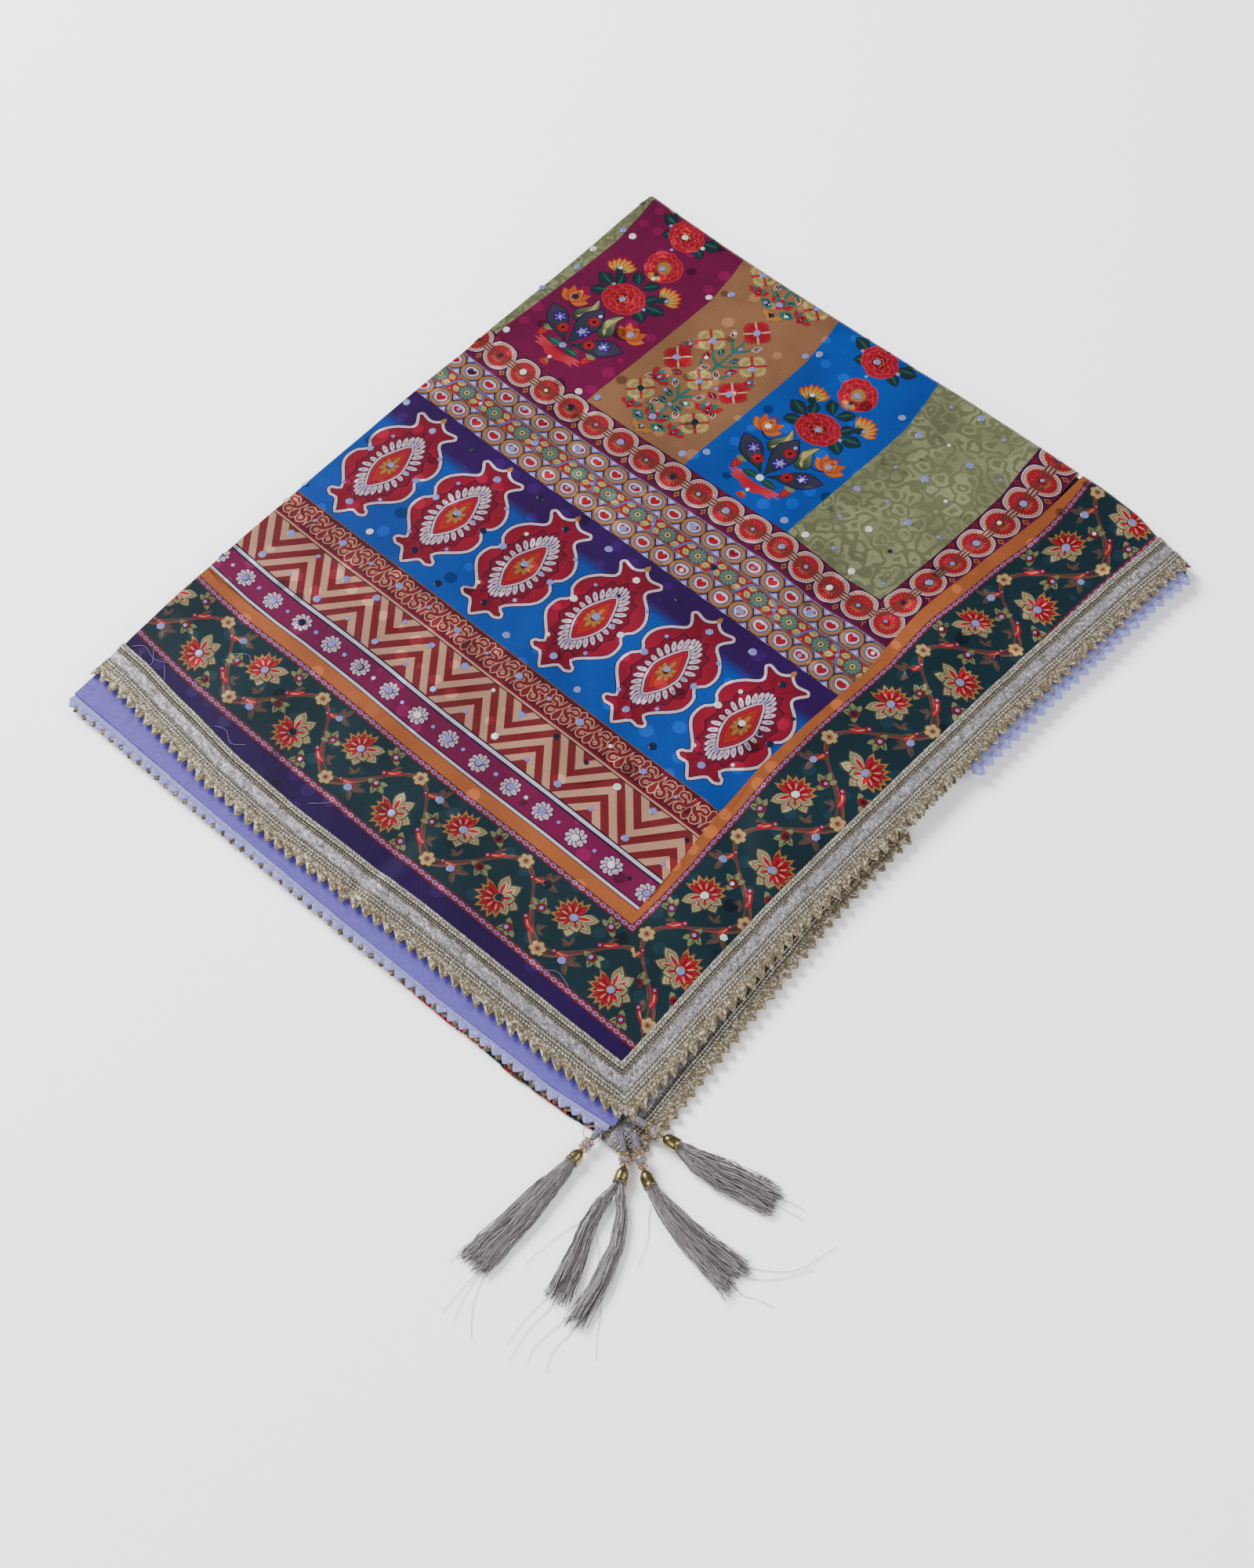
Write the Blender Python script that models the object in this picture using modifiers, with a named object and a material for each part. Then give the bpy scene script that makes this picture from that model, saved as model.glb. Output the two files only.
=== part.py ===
"""A dupatta stole of printed satin, folded in eight and laid flat, with a gota lace border and four tassels.

The cloth was cut 1.0 m wide and 2.4 m long. It is folded once across its width and twice along its
length, so eight layers lie on each other. All four of its corners meet at the +X, -Y corner, and each
holds a tassel. The finished part stands on its origin, the middle of its box's underside, with +Z up.
Lengths in the tables are in millimetres, from a point near the middle of the folded cloth.
"""

import functools
import math

import bmesh
import bpy
from mathutils import Matrix, Vector

MM = 0.001
SEAM_GAP = 0.35
PANEL_GAP = 0.6
MITRE_GAP = 0.025

# The cloth's flat cut and what is left of it once folded
CUT_WIDTH = 1000.0
CUT_LENGTH = 2400.0
FOLDED_X = CUT_WIDTH / 2
FOLDED_Y = CUT_LENGTH / 4

# Walls
CLOTH_WALL = 1.2
LINING_WALL = 1.0
LACE_WALL = 1.1

# The top layer's height above the floor, and how it sinks towards the lace edges
TOP_HEIGHT = 14.0
EDGE_SINK = 2.0
EDGE_SINK_REACH = 75.0
BACK_PUFF = 1.5

# The fold of the top pair of layers on the -X side, and the leg that turns back under
PAIR_FOLD_RADIUS = 1.7
FOLD_LEG = 10.0
UNDER_LEG = 14.0

# Room under the top layer for its deepest creases, over the hidden layers and over the lining
CREASE_ROOM = 2.2
HEM_CREASE_ROOM = 1.3
FOLD_ROOM = 1.0

# The top layer's grid: flat cells, cells round each fold and cells of the legs beyond them
FLAT_COLUMNS, ARC_COLUMNS, LEG_COLUMNS = 26, 4, 1
FLAT_ROWS, ARC_ROWS, LEG_ROWS = 31, 6, 1
PANEL_COLUMNS = FLAT_COLUMNS + ARC_COLUMNS + LEG_COLUMNS
PANEL_ROWS = FLAT_ROWS + ARC_ROWS + LEG_ROWS

# The hidden layers: the depth of what lies over them, and their outline in side view
CLOTH_COVER = CLOTH_WALL + SEAM_GAP
PAIR_COVER = 2 * PAIR_FOLD_RADIUS + SEAM_GAP
STACK_STEP_REACH = 26.0
NOSE_ROUND = 2.4
FOLD_LOBES, FOLD_LOBE_DEPTH = 3, 1.1
EDGE_RIBS, EDGE_RIB_DEPTH = 5, 0.7
# Grid lines of the hidden layers, in x from the -X fold
STACK_COLUMNS = (0.0, 13.5, 17.0, 60.0, 110.0, 170.0, 230.0, 290.0, 350.0, 400.0, 440.0, 470.0)
# Grid lines in y, from the nose on the -Y side, and the last three from the start of the round fold
ROWS_FROM_NOSE = (0.0, 2.5, 18.0, 40.0, 65.0, 130.0, 230.0, 340.0, 450.0, 560.0)
ROWS_FROM_FOLD = (-UNDER_LEG - 6.0, -UNDER_LEG - 2.5, 0.0)

# Gota lace: a woven band and a row of folded points
LACE_BAND = 27.0
POINT_DEPTH = 6.5
POINT_PITCH = 10.0
STEPS_PER_CELL = 4

# Depth of the hidden layers under the end lace and under the side lace
END_COVER = CLOTH_WALL + LINING_WALL + 2 * LACE_WALL + 8 * SEAM_GAP
SIDE_COVER = END_COVER + LACE_WALL

# Outline of the folded cloth: at each y, the -X fold and the inner edge of the +X lace
SIDES = (
    # y, fold_x, lace_x
    (-345.0, -250.0, 232.5),
    (-300.0, -251.0, 232.0),
    (-260.0, -253.5, 230.8),
    (-200.0, -257.5, 228.6),
    (-140.0, -260.5, 226.4),
    (-80.0, -262.5, 226.6),
    (0.0, -264.5, 228.0),
    (80.0, -266.0, 229.8),
    (130.0, -266.8, 231.0),
    (180.0, -267.2, 234.0),
    (230.0, -267.8, 236.4),
    (290.0, -269.0, 241.0),
    (330.0, -270.0, 243.0),
)

# Outline of the folded cloth: at each x, the inner edge of the -Y lace and the +Y fold
ENDS = (
    # x, lace_y, fold_y
    (-275.0, -277.0, 310.0),
    (-230.0, -278.5, 308.0),
    (-180.0, -283.5, 306.5),
    (-120.0, -289.0, 306.0),
    (-60.0, -290.0, 306.5),
    (0.0, -288.0, 307.5),
    (60.0, -285.0, 309.0),
    (120.0, -284.0, 309.0),
    (180.0, -283.5, 308.5),
    (215.0, -282.5, 306.0),
    (245.0, -281.5, 298.5),
    (290.0, -281.0, 290.0),
)

# The largest soft troughs (depth below 0) and ridges of the top layer
CREASES = (
    # x0, y0, x1, y1, spread, depth
    (-250.0, 82.0, 100.0, 78.0, 9.0, -1.6),
    (-200.0, -131.0, 165.0, -143.0, 7.0, -1.3),
    (-150.0, -150.0, 90.0, -160.0, 12.0, 0.8),
    (160.0, -90.0, 228.0, -152.0, 9.0, -2.0),
    (168.0, -175.0, 232.0, -190.0, 10.0, 1.2),
    (176.0, 104.0, 236.0, 128.0, 9.0, -1.9),
    (16.0, -210.0, 16.0, -325.0, 6.0, -1.0),
    (28.0, -230.0, 26.0, -320.0, 7.0, 0.8),
    (-160.0, 300.0, -158.0, 120.0, 14.0, -1.1),
    (-62.0, 300.0, -60.0, 150.0, 16.0, 0.8),
    (40.0, 290.0, 36.0, 130.0, 12.0, -1.0),
    (90.0, 280.0, 95.0, 160.0, 22.0, 1.3),
    (165.0, 300.0, 150.0, 130.0, 10.0, 1.2),
    (-240.0, 10.0, -140.0, -90.0, 26.0, 0.9),
    (-60.0, 0.0, 60.0, -80.0, 24.0, -0.8),
    (-250.0, -240.0, -120.0, -262.0, 16.0, 0.9),
    (60.0, -232.0, 200.0, -245.0, 14.0, -0.8),
)

# The lower layers' edge, a rounded fold that shows past the lining on the -Y side
NOSE = (
    # x, y
    (-262.0, -322.0),
    (-120.0, -326.0),
    (0.0, -331.5),
    (100.0, -334.5),
    (180.0, -333.5),
    (225.0, -330.0),
    (262.0, -324.0),
)

# The lining layer's hem and the outer points of its lace, on the -Y side
LINING_EDGE = (
    # x, hem_y, point_y
    (-262.0, -328.0, -338.5),
    (-100.0, -329.0, -338.0),
    (0.0, -328.5, -337.5),
    (100.0, -327.0, -335.0),
    (200.0, -323.5, -331.5),
    (262.0, -317.0, -326.0),
)

# The outer points of the third layer's lace, on the +X side, and how high that lace lies
THIRD_EDGE = (
    # y, point_x, z
    (-328.0, 283.0, 3.6),
    (-300.0, 283.5, 4.2),
    (-250.0, 279.5, 5.6),
    (-200.0, 275.5, 6.2),
    (-150.0, 271.5, 6.4),
    (-100.0, 267.5, 6.4),
    (-20.0, 267.0, 6.4),
)

# The lilac points of the second layer's lace, on the +X side
SECOND_SIDE_FROM, SECOND_SIDE_TO = 45.0, 285.0
SECOND_SIDE_REACH = 41.5

# Fixings of the four tassels, each a chain that starts at a corner of the cloth
TASSELS = (
    # name, cone start (x, y, z), cone end, cap start, cap end
    ("tassel_1", (251.5, -327.0, 6.0), (251.8, -333.5, 5.8), (251.9, -343.0, 5.4), (252.2, -352.5, 5.2)),
    ("tassel_2", (264.5, -320.0, 8.6), (274.0, -326.0, 7.6), (279.8, -333.0, 6.0), (284.6, -343.0, 5.3)),
    ("tassel_3", (271.5, -314.5, 8.0), (280.0, -319.5, 8.6), (290.6, -326.8, 6.3), (301.0, -331.4, 5.4)),
    ("tassel_4", (266.5, -305.0, 9.6), (273.0, -304.0, 9.4), (285.0, -301.6, 7.2), (295.4, -299.4, 5.6)),
)

# Each lock of a tassel runs through these sections
LOCKS = (
    # tassel, columns, rows, sections of (x, y, width, z, height)
    (
        "tassel_1",
        6,
        4,
        (
            (252.3, -354.5, 6.4, 5.1, 4.4),
            (252.6, -375.0, 13.0, 4.4, 5.4),
            (253.2, -400.0, 17.0, 3.7, 5.0),
            (252.8, -425.0, 20.0, 3.3, 4.6),
            (252.6, -446.0, 22.5, 3.0, 4.2),
        ),
    ),
    (
        "tassel_2_left",
        3,
        4,
        (
            (283.8, -345.6, 3.2, 5.2, 4.4),
            (285.3, -349.2, 4.0, 5.0, 4.8),
            (284.2, -359.0, 7.0, 4.4, 5.2),
            (288.4, -377.0, 9.5, 3.8, 4.8),
            (298.0, -400.0, 13.0, 3.4, 4.6),
            (307.5, -428.0, 16.0, 3.0, 4.2),
        ),
    ),
    (
        "tassel_2_right",
        3,
        4,
        (
            (287.2, -344.0, 3.2, 5.2, 4.4),
            (289.3, -347.6, 4.0, 5.0, 4.8),
            (299.5, -357.5, 6.5, 4.4, 5.2),
            (311.0, -375.0, 8.5, 3.8, 4.8),
            (319.5, -399.0, 10.5, 3.4, 4.6),
            (326.0, -432.0, 12.5, 3.0, 4.2),
        ),
    ),
    (
        "tassel_3",
        6,
        4,
        (
            (303.0, -332.2, 6.4, 5.2, 4.4),
            (318.0, -335.6, 11.5, 4.4, 5.4),
            (340.0, -339.2, 16.5, 3.7, 5.0),
            (362.0, -339.8, 22.0, 3.3, 4.6),
            (384.0, -340.0, 27.0, 3.0, 4.2),
        ),
    ),
    (
        "tassel_4",
        6,
        4,
        (
            (297.4, -299.0, 6.4, 5.3, 4.4),
            (311.0, -298.0, 15.5, 4.4, 5.4),
            (330.0, -294.0, 19.0, 3.7, 5.0),
            (350.0, -288.6, 20.0, 3.3, 4.6),
            (368.0, -285.0, 19.5, 3.0, 4.2),
        ),
    ),
)
LOCK_END_STAGGER = 5.0
LOCK_FILL = 0.82
HEAD_DEPTH = 3.4

# A bead's outline between its two eyes: a ring, the pearl and a second ring
BEAD_PROFILE = (
    # share of the length, share of the radius
    (0.06, 0.8),
    (0.2, 0.86),
    (0.24, 0.66),
    (0.45, 1.0),
    (0.64, 0.66),
    (0.7, 0.84),
    (0.8, 0.5),
)

COLOURS = {
    # name: (red, green, blue, roughness, metallic)
    "printed_satin": (0.22, 0.03, 0.09, 0.45, 0.0),
    "lilac_lining": (0.24, 0.22, 0.52, 0.5, 0.0),
    "gota_lace": (0.52, 0.48, 0.4, 0.4, 0.7),
    "lace_reverse": (0.46, 0.47, 0.62, 0.6, 0.0),
    "grey_satin": (0.2, 0.19, 0.22, 0.45, 0.0),
    "pearl_bead": (0.6, 0.52, 0.42, 0.25, 0.4),
    "cap_metal": (0.5, 0.45, 0.28, 0.25, 1.0),
    "tassel_thread": (0.42, 0.38, 0.4, 0.55, 0.0),
}


def smooth(t):
    """0 below 0, 1 above 1, and an even slope between."""
    t = min(1.0, max(0.0, t))
    return t * t * (3 - 2 * t)


def read_table(table, key, column):
    """The column's value at key, eased between the table's rows."""
    rows = sorted(table)
    if key <= rows[0][0]:
        return rows[0][column]
    for low, high in zip(rows, rows[1:]):
        if key <= high[0]:
            share = (key - low[0]) / (high[0] - low[0])
            return low[column] + (high[column] - low[column]) * (0.5 * share + 0.5 * smooth(share))
    return rows[-1][column]


def fold_x(y):
    return read_table(SIDES, y, 1)


def side_lace_x(y):
    return read_table(SIDES, y, 2)


def end_lace_y(x):
    return read_table(ENDS, x, 1)


def fold_y(x):
    return read_table(ENDS, x, 2)


def crease_height(x, y):
    """Sum of the soft troughs and ridges at a point."""
    height = 0.0
    for x0, y0, x1, y1, spread, depth in CREASES:
        run_x, run_y = x1 - x0, y1 - y0
        length = math.hypot(run_x, run_y)
        along = ((x - x0) * run_x + (y - y0) * run_y) / length
        across = ((x - x0) * run_y - (y - y0) * run_x) / length
        past = max(0.0, -along, along - length)
        height += depth * math.exp(-(across**2 + 0.35 * past**2) / (2 * spread**2))
    return height


def smooth_height(x, y):
    """Height of the top layer's upper face without its creases."""
    to_end = smooth((y - (end_lace_y(x) - LACE_BAND)) / EDGE_SINK_REACH)
    to_side = smooth((side_lace_x(y) + LACE_BAND - x) / EDGE_SINK_REACH)
    sink = EDGE_SINK * (2 - to_end - to_side)
    puff = BACK_PUFF * smooth((y - 190.0) / 90.0) * to_side
    return TOP_HEIGHT - min(sink, EDGE_SINK * 1.3) + puff


def top_height(x, y):
    """Height of the top layer's upper face."""
    return smooth_height(x, y) + crease_height(x, y)


def material(name):
    """The named finish, made once."""
    found = bpy.data.materials.get(name)
    if found:
        return found
    made = bpy.data.materials.new(name)
    made.use_nodes = True
    red, green, blue, roughness, metallic = COLOURS[name]
    shader = made.node_tree.nodes["Principled BSDF"]
    shader.inputs["Base Color"].default_value = (red, green, blue, 1.0)
    shader.inputs["Roughness"].default_value = roughness
    shader.inputs["Metallic"].default_value = metallic
    return made


def add_object(name, mesh_data, finish):
    """Puts a bmesh, in millimetres, into the part's collection as one named object, in metres."""
    mesh = bpy.data.meshes.new(name)
    bmesh.ops.scale(mesh_data, vec=(MM, MM, MM), verts=mesh_data.verts)
    mesh_data.to_mesh(mesh)
    mesh_data.free()
    mesh.shade_smooth()
    mesh.set_sharp_from_angle(angle=math.radians(40))
    made = bpy.data.objects.new(name, mesh)
    made.data.materials.append(material(finish))
    PART.objects.link(made)
    return made


def grid_sheet(name, columns, rows, place, wall, finish):
    """A cloth wall: a flat grid whose point at shares (u, v) goes to place(u, v), thickened downwards."""
    sheet = bmesh.new()
    bmesh.ops.create_grid(sheet, x_segments=columns, y_segments=rows, size=0.5)
    for point in sheet.verts:
        point.co = Vector(place(point.co.x + 0.5, point.co.y + 0.5))
    made = add_object(name, sheet, finish)
    thicken = made.modifiers.new("wall", "SOLIDIFY")
    thicken.thickness = wall * MM
    thicken.offset = -1.0
    return made


@functools.cache
def panel_point(column, row, out=0.0):
    """A grid point of the top layer's outer face, moved out along its normal.

    Columns run from the leg under the -X fold, round the fold, to the outer edge of the +X lace. Rows run
    from the outer edge of the -Y lace, over the top and round the +Y fold, to the leg under it.
    """
    turn = min(1.0, max(0.0, (column - LEG_COLUMNS) / ARC_COLUMNS))
    angle = math.pi * (1 - turn)
    depth = PAIR_FOLD_RADIUS * (1 - math.cos(angle)) - out
    leg = FOLD_LEG if column < LEG_COLUMNS else 0.0
    flat_column = column - LEG_COLUMNS - ARC_COLUMNS
    across = max(0, flat_column) / (FLAT_COLUMNS - 1)
    on_side_lace = flat_column == FLAT_COLUMNS
    forward = min(max(0, row - 1), FLAT_ROWS - 1) / (FLAT_ROWS - 1)
    on_end_lace = row == 0
    bend = math.pi * min(1.0, max(0.0, (row - FLAT_ROWS) / ARC_ROWS))
    under = UNDER_LEG if row > FLAT_ROWS + ARC_ROWS else 0.0

    y = -300.0 + 600.0 * forward
    for _ in range(4):
        low_x = fold_x(y) + PAIR_FOLD_RADIUS
        x = low_x + (side_lace_x(y) - low_x) * min(1.0, across)
        x += LACE_BAND if on_side_lace else 0.0
        radius = smooth_height(x, fold_y(x) - 8.0) / 2
        low_y, high_y = end_lace_y(x), fold_y(x) - radius
        y = low_y + (high_y - low_y) * forward
        y -= LACE_BAND if on_end_lace else 0.0
    height = top_height(x, y) + (2 * radius - top_height(x, y)) * smooth((forward - 0.93) / 0.07)
    x += leg - PAIR_FOLD_RADIUS * math.sin(angle)
    normal_y, normal_z = math.sin(bend), math.cos(bend)
    y += radius * normal_y - under - depth * normal_y
    z = height - radius + radius * normal_z - depth * normal_z
    return Vector((x, y, z))


def on_panel(column, row, out):
    """A point between the panel's grid points, moved out."""
    low_column = min(int(column), PANEL_COLUMNS - 1)
    low_row = min(int(row), PANEL_ROWS - 1)
    share_column, share_row = column - low_column, row - low_row
    near = panel_point(low_column, low_row, out).lerp(panel_point(low_column + 1, low_row, out), share_column)
    far_row = low_row + 1
    far = panel_point(low_column, far_row, out).lerp(panel_point(low_column + 1, far_row, out), share_column)
    return near.lerp(far, share_row)


def build_printed_top():
    """The top layer with its fold on the -X side, and the outer fold on the +Y side that turns under."""

    def place(u, v):
        return panel_point(round(u * PANEL_COLUMNS), round(v * PANEL_ROWS))

    return grid_sheet("printed_top", PANEL_COLUMNS, PANEL_ROWS, place, CLOTH_WALL, "printed_satin")


def stack_cover(x, y, in_fold):
    """Depth from the top layer's upper face to the hidden layers, under the walls that lie over them."""
    cover = PAIR_COVER if in_fold else CLOTH_COVER
    under_end = 1 - smooth((y - end_lace_y(x) - 4.0) / STACK_STEP_REACH)
    under_side = 1 - smooth((side_lace_x(y) - 4.0 - x) / STACK_STEP_REACH)
    return max(cover, END_COVER * under_end, SIDE_COVER * under_side)


def build_folded_stack():
    """The hidden layers as one rounded solid: stacked folds on the -X side, a round fold on each end."""
    cells = 12
    stack = bmesh.new()
    bmesh.ops.create_cube(stack, size=1.0)
    bmesh.ops.subdivide_edges(stack, edges=stack.edges, cuts=cells - 1, use_grid_fill=True)

    for point in stack.verts:
        column, row, level = (round((c + 0.5) * cells) for c in point.co)
        share = level / cells
        in_round_fold = row >= cells - 1
        y = -320.0 + 52.0 * row
        for _ in range(4):
            if column == cells:
                x = side_lace_x(y) + LACE_BAND - 2.0
            else:
                x = fold_x(y) + 0.4 + STACK_COLUMNS[column]
            radius = top_height(x, fold_y(x) - 8.0) / 2
            if row < len(ROWS_FROM_NOSE):
                y = read_table(NOSE, x, 1) + ROWS_FROM_NOSE[row]
            else:
                y = fold_y(x) - radius + ROWS_FROM_FOLD[row - len(ROWS_FROM_NOSE)]
        cover = stack_cover(x, y, column < 2)
        floor = 0.0
        roof = smooth_height(x, y) - cover - CREASE_ROOM
        if in_round_fold:
            cover += FOLD_ROOM
            floor, roof = cover, 2 * radius - cover
        z = floor + (roof - floor) * share
        if row == cells:
            y += math.sqrt(max(0.0, (radius - cover) ** 2 - (z - radius) ** 2))
        if row == 0:
            y += NOSE_ROUND * (1 - math.sqrt(max(0.0, 1 - (2 * share - 1) ** 2)))
        if column == 0:
            x += 0.4 + FOLD_LOBE_DEPTH * (1 - abs(math.sin(math.pi * FOLD_LOBES * share)))
        if column == cells:
            x -= EDGE_RIB_DEPTH * (1 - abs(math.sin(math.pi * EDGE_RIBS * share)))
        point.co = Vector((x, y, z))
    return add_object("folded_stack", stack, "printed_satin")


def lining_height(x, y):
    """Upper face of the second layer, whose lilac reverse shows past the top layer's lace."""
    hem = end_lace_y(x) - LACE_BAND - POINT_DEPTH
    fall = 1.5 * smooth((hem + 4.0 - y) / 20.0)
    return smooth_height(x, y) - CLOTH_WALL - SEAM_GAP - HEM_CREASE_ROOM - fall


def build_lining():
    """The lilac reverse of the second layer: past the top layer's edge it runs out to the -X fold."""
    rows = 3

    def place(u, v):
        row = round(v * rows)
        start = fold_x(-320.0) + 0.6 + (PAIR_FOLD_RADIUS + FOLD_LEG + SEAM_GAP if row >= 2 else 0.0)
        x = start + (side_lace_x(-320.0) + 25.0 - start) * u
        top_edge = end_lace_y(x) - LACE_BAND
        y = (read_table(LINING_EDGE, x, 1), top_edge - 1.4, top_edge - 0.5, end_lace_y(x) + 1.0)[row]
        return x, y, lining_height(x, y)

    return grid_sheet("lining_second", 30, rows, place, LINING_WALL, "lilac_lining")


def lace_strip(name, steps, place, finish):
    """A lace strip with a row of points: place(step, share, out), where share 1 is the valleys' line."""

    def put(u, v):
        step = round(u * steps)
        at_edge = v > 0.5
        return place(step, v, POINT_DEPTH if at_edge and step % 2 else 0.0)

    return grid_sheet(name, steps, 1, put, LACE_WALL, finish)


def loose_lace(name, length, place, finish):
    """A lace strip that follows no panel: place(along, share, out) gives its points."""
    steps = 2 * round(length / POINT_PITCH)
    return lace_strip(name, steps, lambda step, share, out: place(1 - step / steps, share, out), finish)


def mitred(position, mitre, share):
    """A position along the lace, drawn in over the first two cells so that the strip starts on the mitre."""
    start = 1 - share + mitre
    return start + (2 - start) * position / 2 if position < 2 else position


def build_end_lace():
    """The top layer's lace along the -Y side, made from the panel's points and mitred at the corner."""
    cells = FLAT_COLUMNS

    def place(step, share, out):
        from_corner = mitred(step / STEPS_PER_CELL, MITRE_GAP, share)
        point = on_panel(PANEL_COLUMNS - from_corner, 1 - share, PANEL_GAP + LACE_WALL)
        return point - Vector((0, out, 0))

    return lace_strip("gota_end_top", cells * STEPS_PER_CELL, place, "gota_lace")


def build_side_lace():
    """The top layer's lace along the +X side and round the +Y fold, mitred at the corner."""
    flat_steps = FLAT_ROWS * STEPS_PER_CELL
    round_steps = 4

    def place(step, share, out):
        step = flat_steps + round_steps - step
        cell = step / STEPS_PER_CELL if step < flat_steps else FLAT_ROWS + step - flat_steps
        from_corner = mitred(cell, MITRE_GAP, share)
        point = on_panel(PANEL_COLUMNS - 1 + share, from_corner, PANEL_GAP + LACE_WALL)
        return point + Vector((out, 0, 0))

    return lace_strip("gota_side_top", flat_steps + round_steps, place, "gota_lace")


def build_second_end_lace():
    """The second layer's lace on the -Y side, seen from its pale reverse, sewn under the lining's hem."""

    def place(u, v, out):
        low_x = fold_x(-320.0) + 1.0
        x = low_x + (side_lace_x(-320.0) + 22.0 - low_x) * u
        hem = read_table(LINING_EDGE, x, 1)
        tip = read_table(LINING_EDGE, x, 2)
        inner = hem + 8.0
        y = inner + (tip + POINT_DEPTH - inner) * v - out
        return x, y, lining_height(x, y) - LINING_WALL - 3 * SEAM_GAP

    return loose_lace("gota_end_second", FOLDED_X, place, "lace_reverse")


def build_second_side_lace():
    """The second layer's lace on the +X side, whose lilac points show near the +Y fold."""

    def place(u, v, out):
        y = SECOND_SIDE_FROM + (SECOND_SIDE_TO - SECOND_SIDE_FROM) * u
        inner = side_lace_x(y) + 12.0
        x = inner + (side_lace_x(y) + SECOND_SIDE_REACH - POINT_DEPTH - inner) * v + out
        return x, y, smooth_height(x, y) - CLOTH_WALL - SEAM_GAP - HEM_CREASE_ROOM

    length = SECOND_SIDE_TO - SECOND_SIDE_FROM
    return loose_lace("gota_side_second", length, place, "lace_reverse")


def build_third_side_lace():
    """The third layer's lace on the +X side, face up, which widens towards the tassels."""
    low_y, high_y = THIRD_EDGE[0][0], THIRD_EDGE[-1][0]

    def place(u, v, out):
        y = low_y + (high_y - low_y) * u
        inner = side_lace_x(y) + 14.0
        tip = read_table(THIRD_EDGE, y, 1)
        x = inner + (tip - POINT_DEPTH - inner) * v + out
        roof = smooth_height(x, y) - CLOTH_WALL - LACE_WALL - 3 * SEAM_GAP - HEM_CREASE_ROOM
        if y < end_lace_y(x) + 4.0:
            roof = lining_height(x, y) - LINING_WALL - LACE_WALL - 5 * SEAM_GAP
        return x, y, min(roof, read_table(THIRD_EDGE, y, 2))

    return loose_lace("gota_side_third", high_y - low_y, place, "gota_lace")


def turned(name, profile, start, end, finish, steps=14):
    """A turned piece from (distance along, radius) pairs, laid from start towards end."""
    axis = Vector(end) - Vector(start)
    ring = bmesh.new()
    rows = [ring.verts.new((radius, 0.0, along)) for along, radius in profile]
    for low, high in zip(rows, rows[1:]):
        ring.edges.new((low, high))
    bmesh.ops.spin(
        ring,
        geom=ring.verts[:] + ring.edges[:],
        axis=(0, 0, 1),
        cent=(0, 0, 0),
        angle=2 * math.pi,
        steps=steps,
    )
    bmesh.ops.remove_doubles(ring, verts=ring.verts, dist=1e-3)
    bmesh.ops.recalc_face_normals(ring, faces=ring.faces)
    turn = axis.to_track_quat("Z", "Y").to_matrix().to_4x4()
    bmesh.ops.transform(ring, matrix=Matrix.Translation(Vector(start)) @ turn, verts=ring.verts)
    return add_object(name, ring, finish)


def build_cone(name, start, end):
    """The gathered satin tip that joins a corner of the cloth to its bead."""
    length = (Vector(end) - Vector(start)).length
    profile = ((0.0, 0.0), (0.0, 2.1), (0.5 * length, 1.9), (length, 1.0), (length, 0.0))
    return turned(name + "_cone", profile, start, end, "grey_satin", 10)


def build_bead(name, start, end):
    """A pearl between two beaded rings, with the eye that carries the cap."""
    whole = (Vector(end) - Vector(start)).length - 2 * SEAM_GAP
    first = Vector(start) + (Vector(end) - Vector(start)).normalized() * SEAM_GAP
    neck = 0.9
    ring = min(3.9, 0.42 * whole)
    profile = [(0.0, 0.0), (0.0, neck)]
    profile += [(share * whole, radius * ring) for share, radius in BEAD_PROFILE]
    profile += [(0.86 * whole, neck), (whole, neck), (whole, 0.0)]
    return turned(name + "_bead", profile, first, end, "pearl_bead", 12)


def build_cap(name, start, end):
    """The bell cap: an open-mouthed cup that the locks come out of."""
    length = (Vector(end) - Vector(start)).length
    mouth, crown, wall = 5.0, 2.2, 0.6
    profile = (
        (0.0, 0.0),
        (0.0, crown),
        (0.18 * length, 0.74 * mouth),
        (0.45 * length, 0.9 * mouth),
        (0.8 * length, 0.93 * mouth),
        (length, mouth),
        (length, mouth - wall),
        (0.55 * length, mouth - wall - 0.3),
        (0.55 * length, 0.0),
    )
    return turned(name + "_cap", profile, start, end, "cap_metal", 14)


def lock_stagger(column, row):
    """How far short of the longest lock this one ends, from 0 to 1."""
    return (0.37 * column + 0.61 * row + 0.23 * column * row) % 1.0


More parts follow.
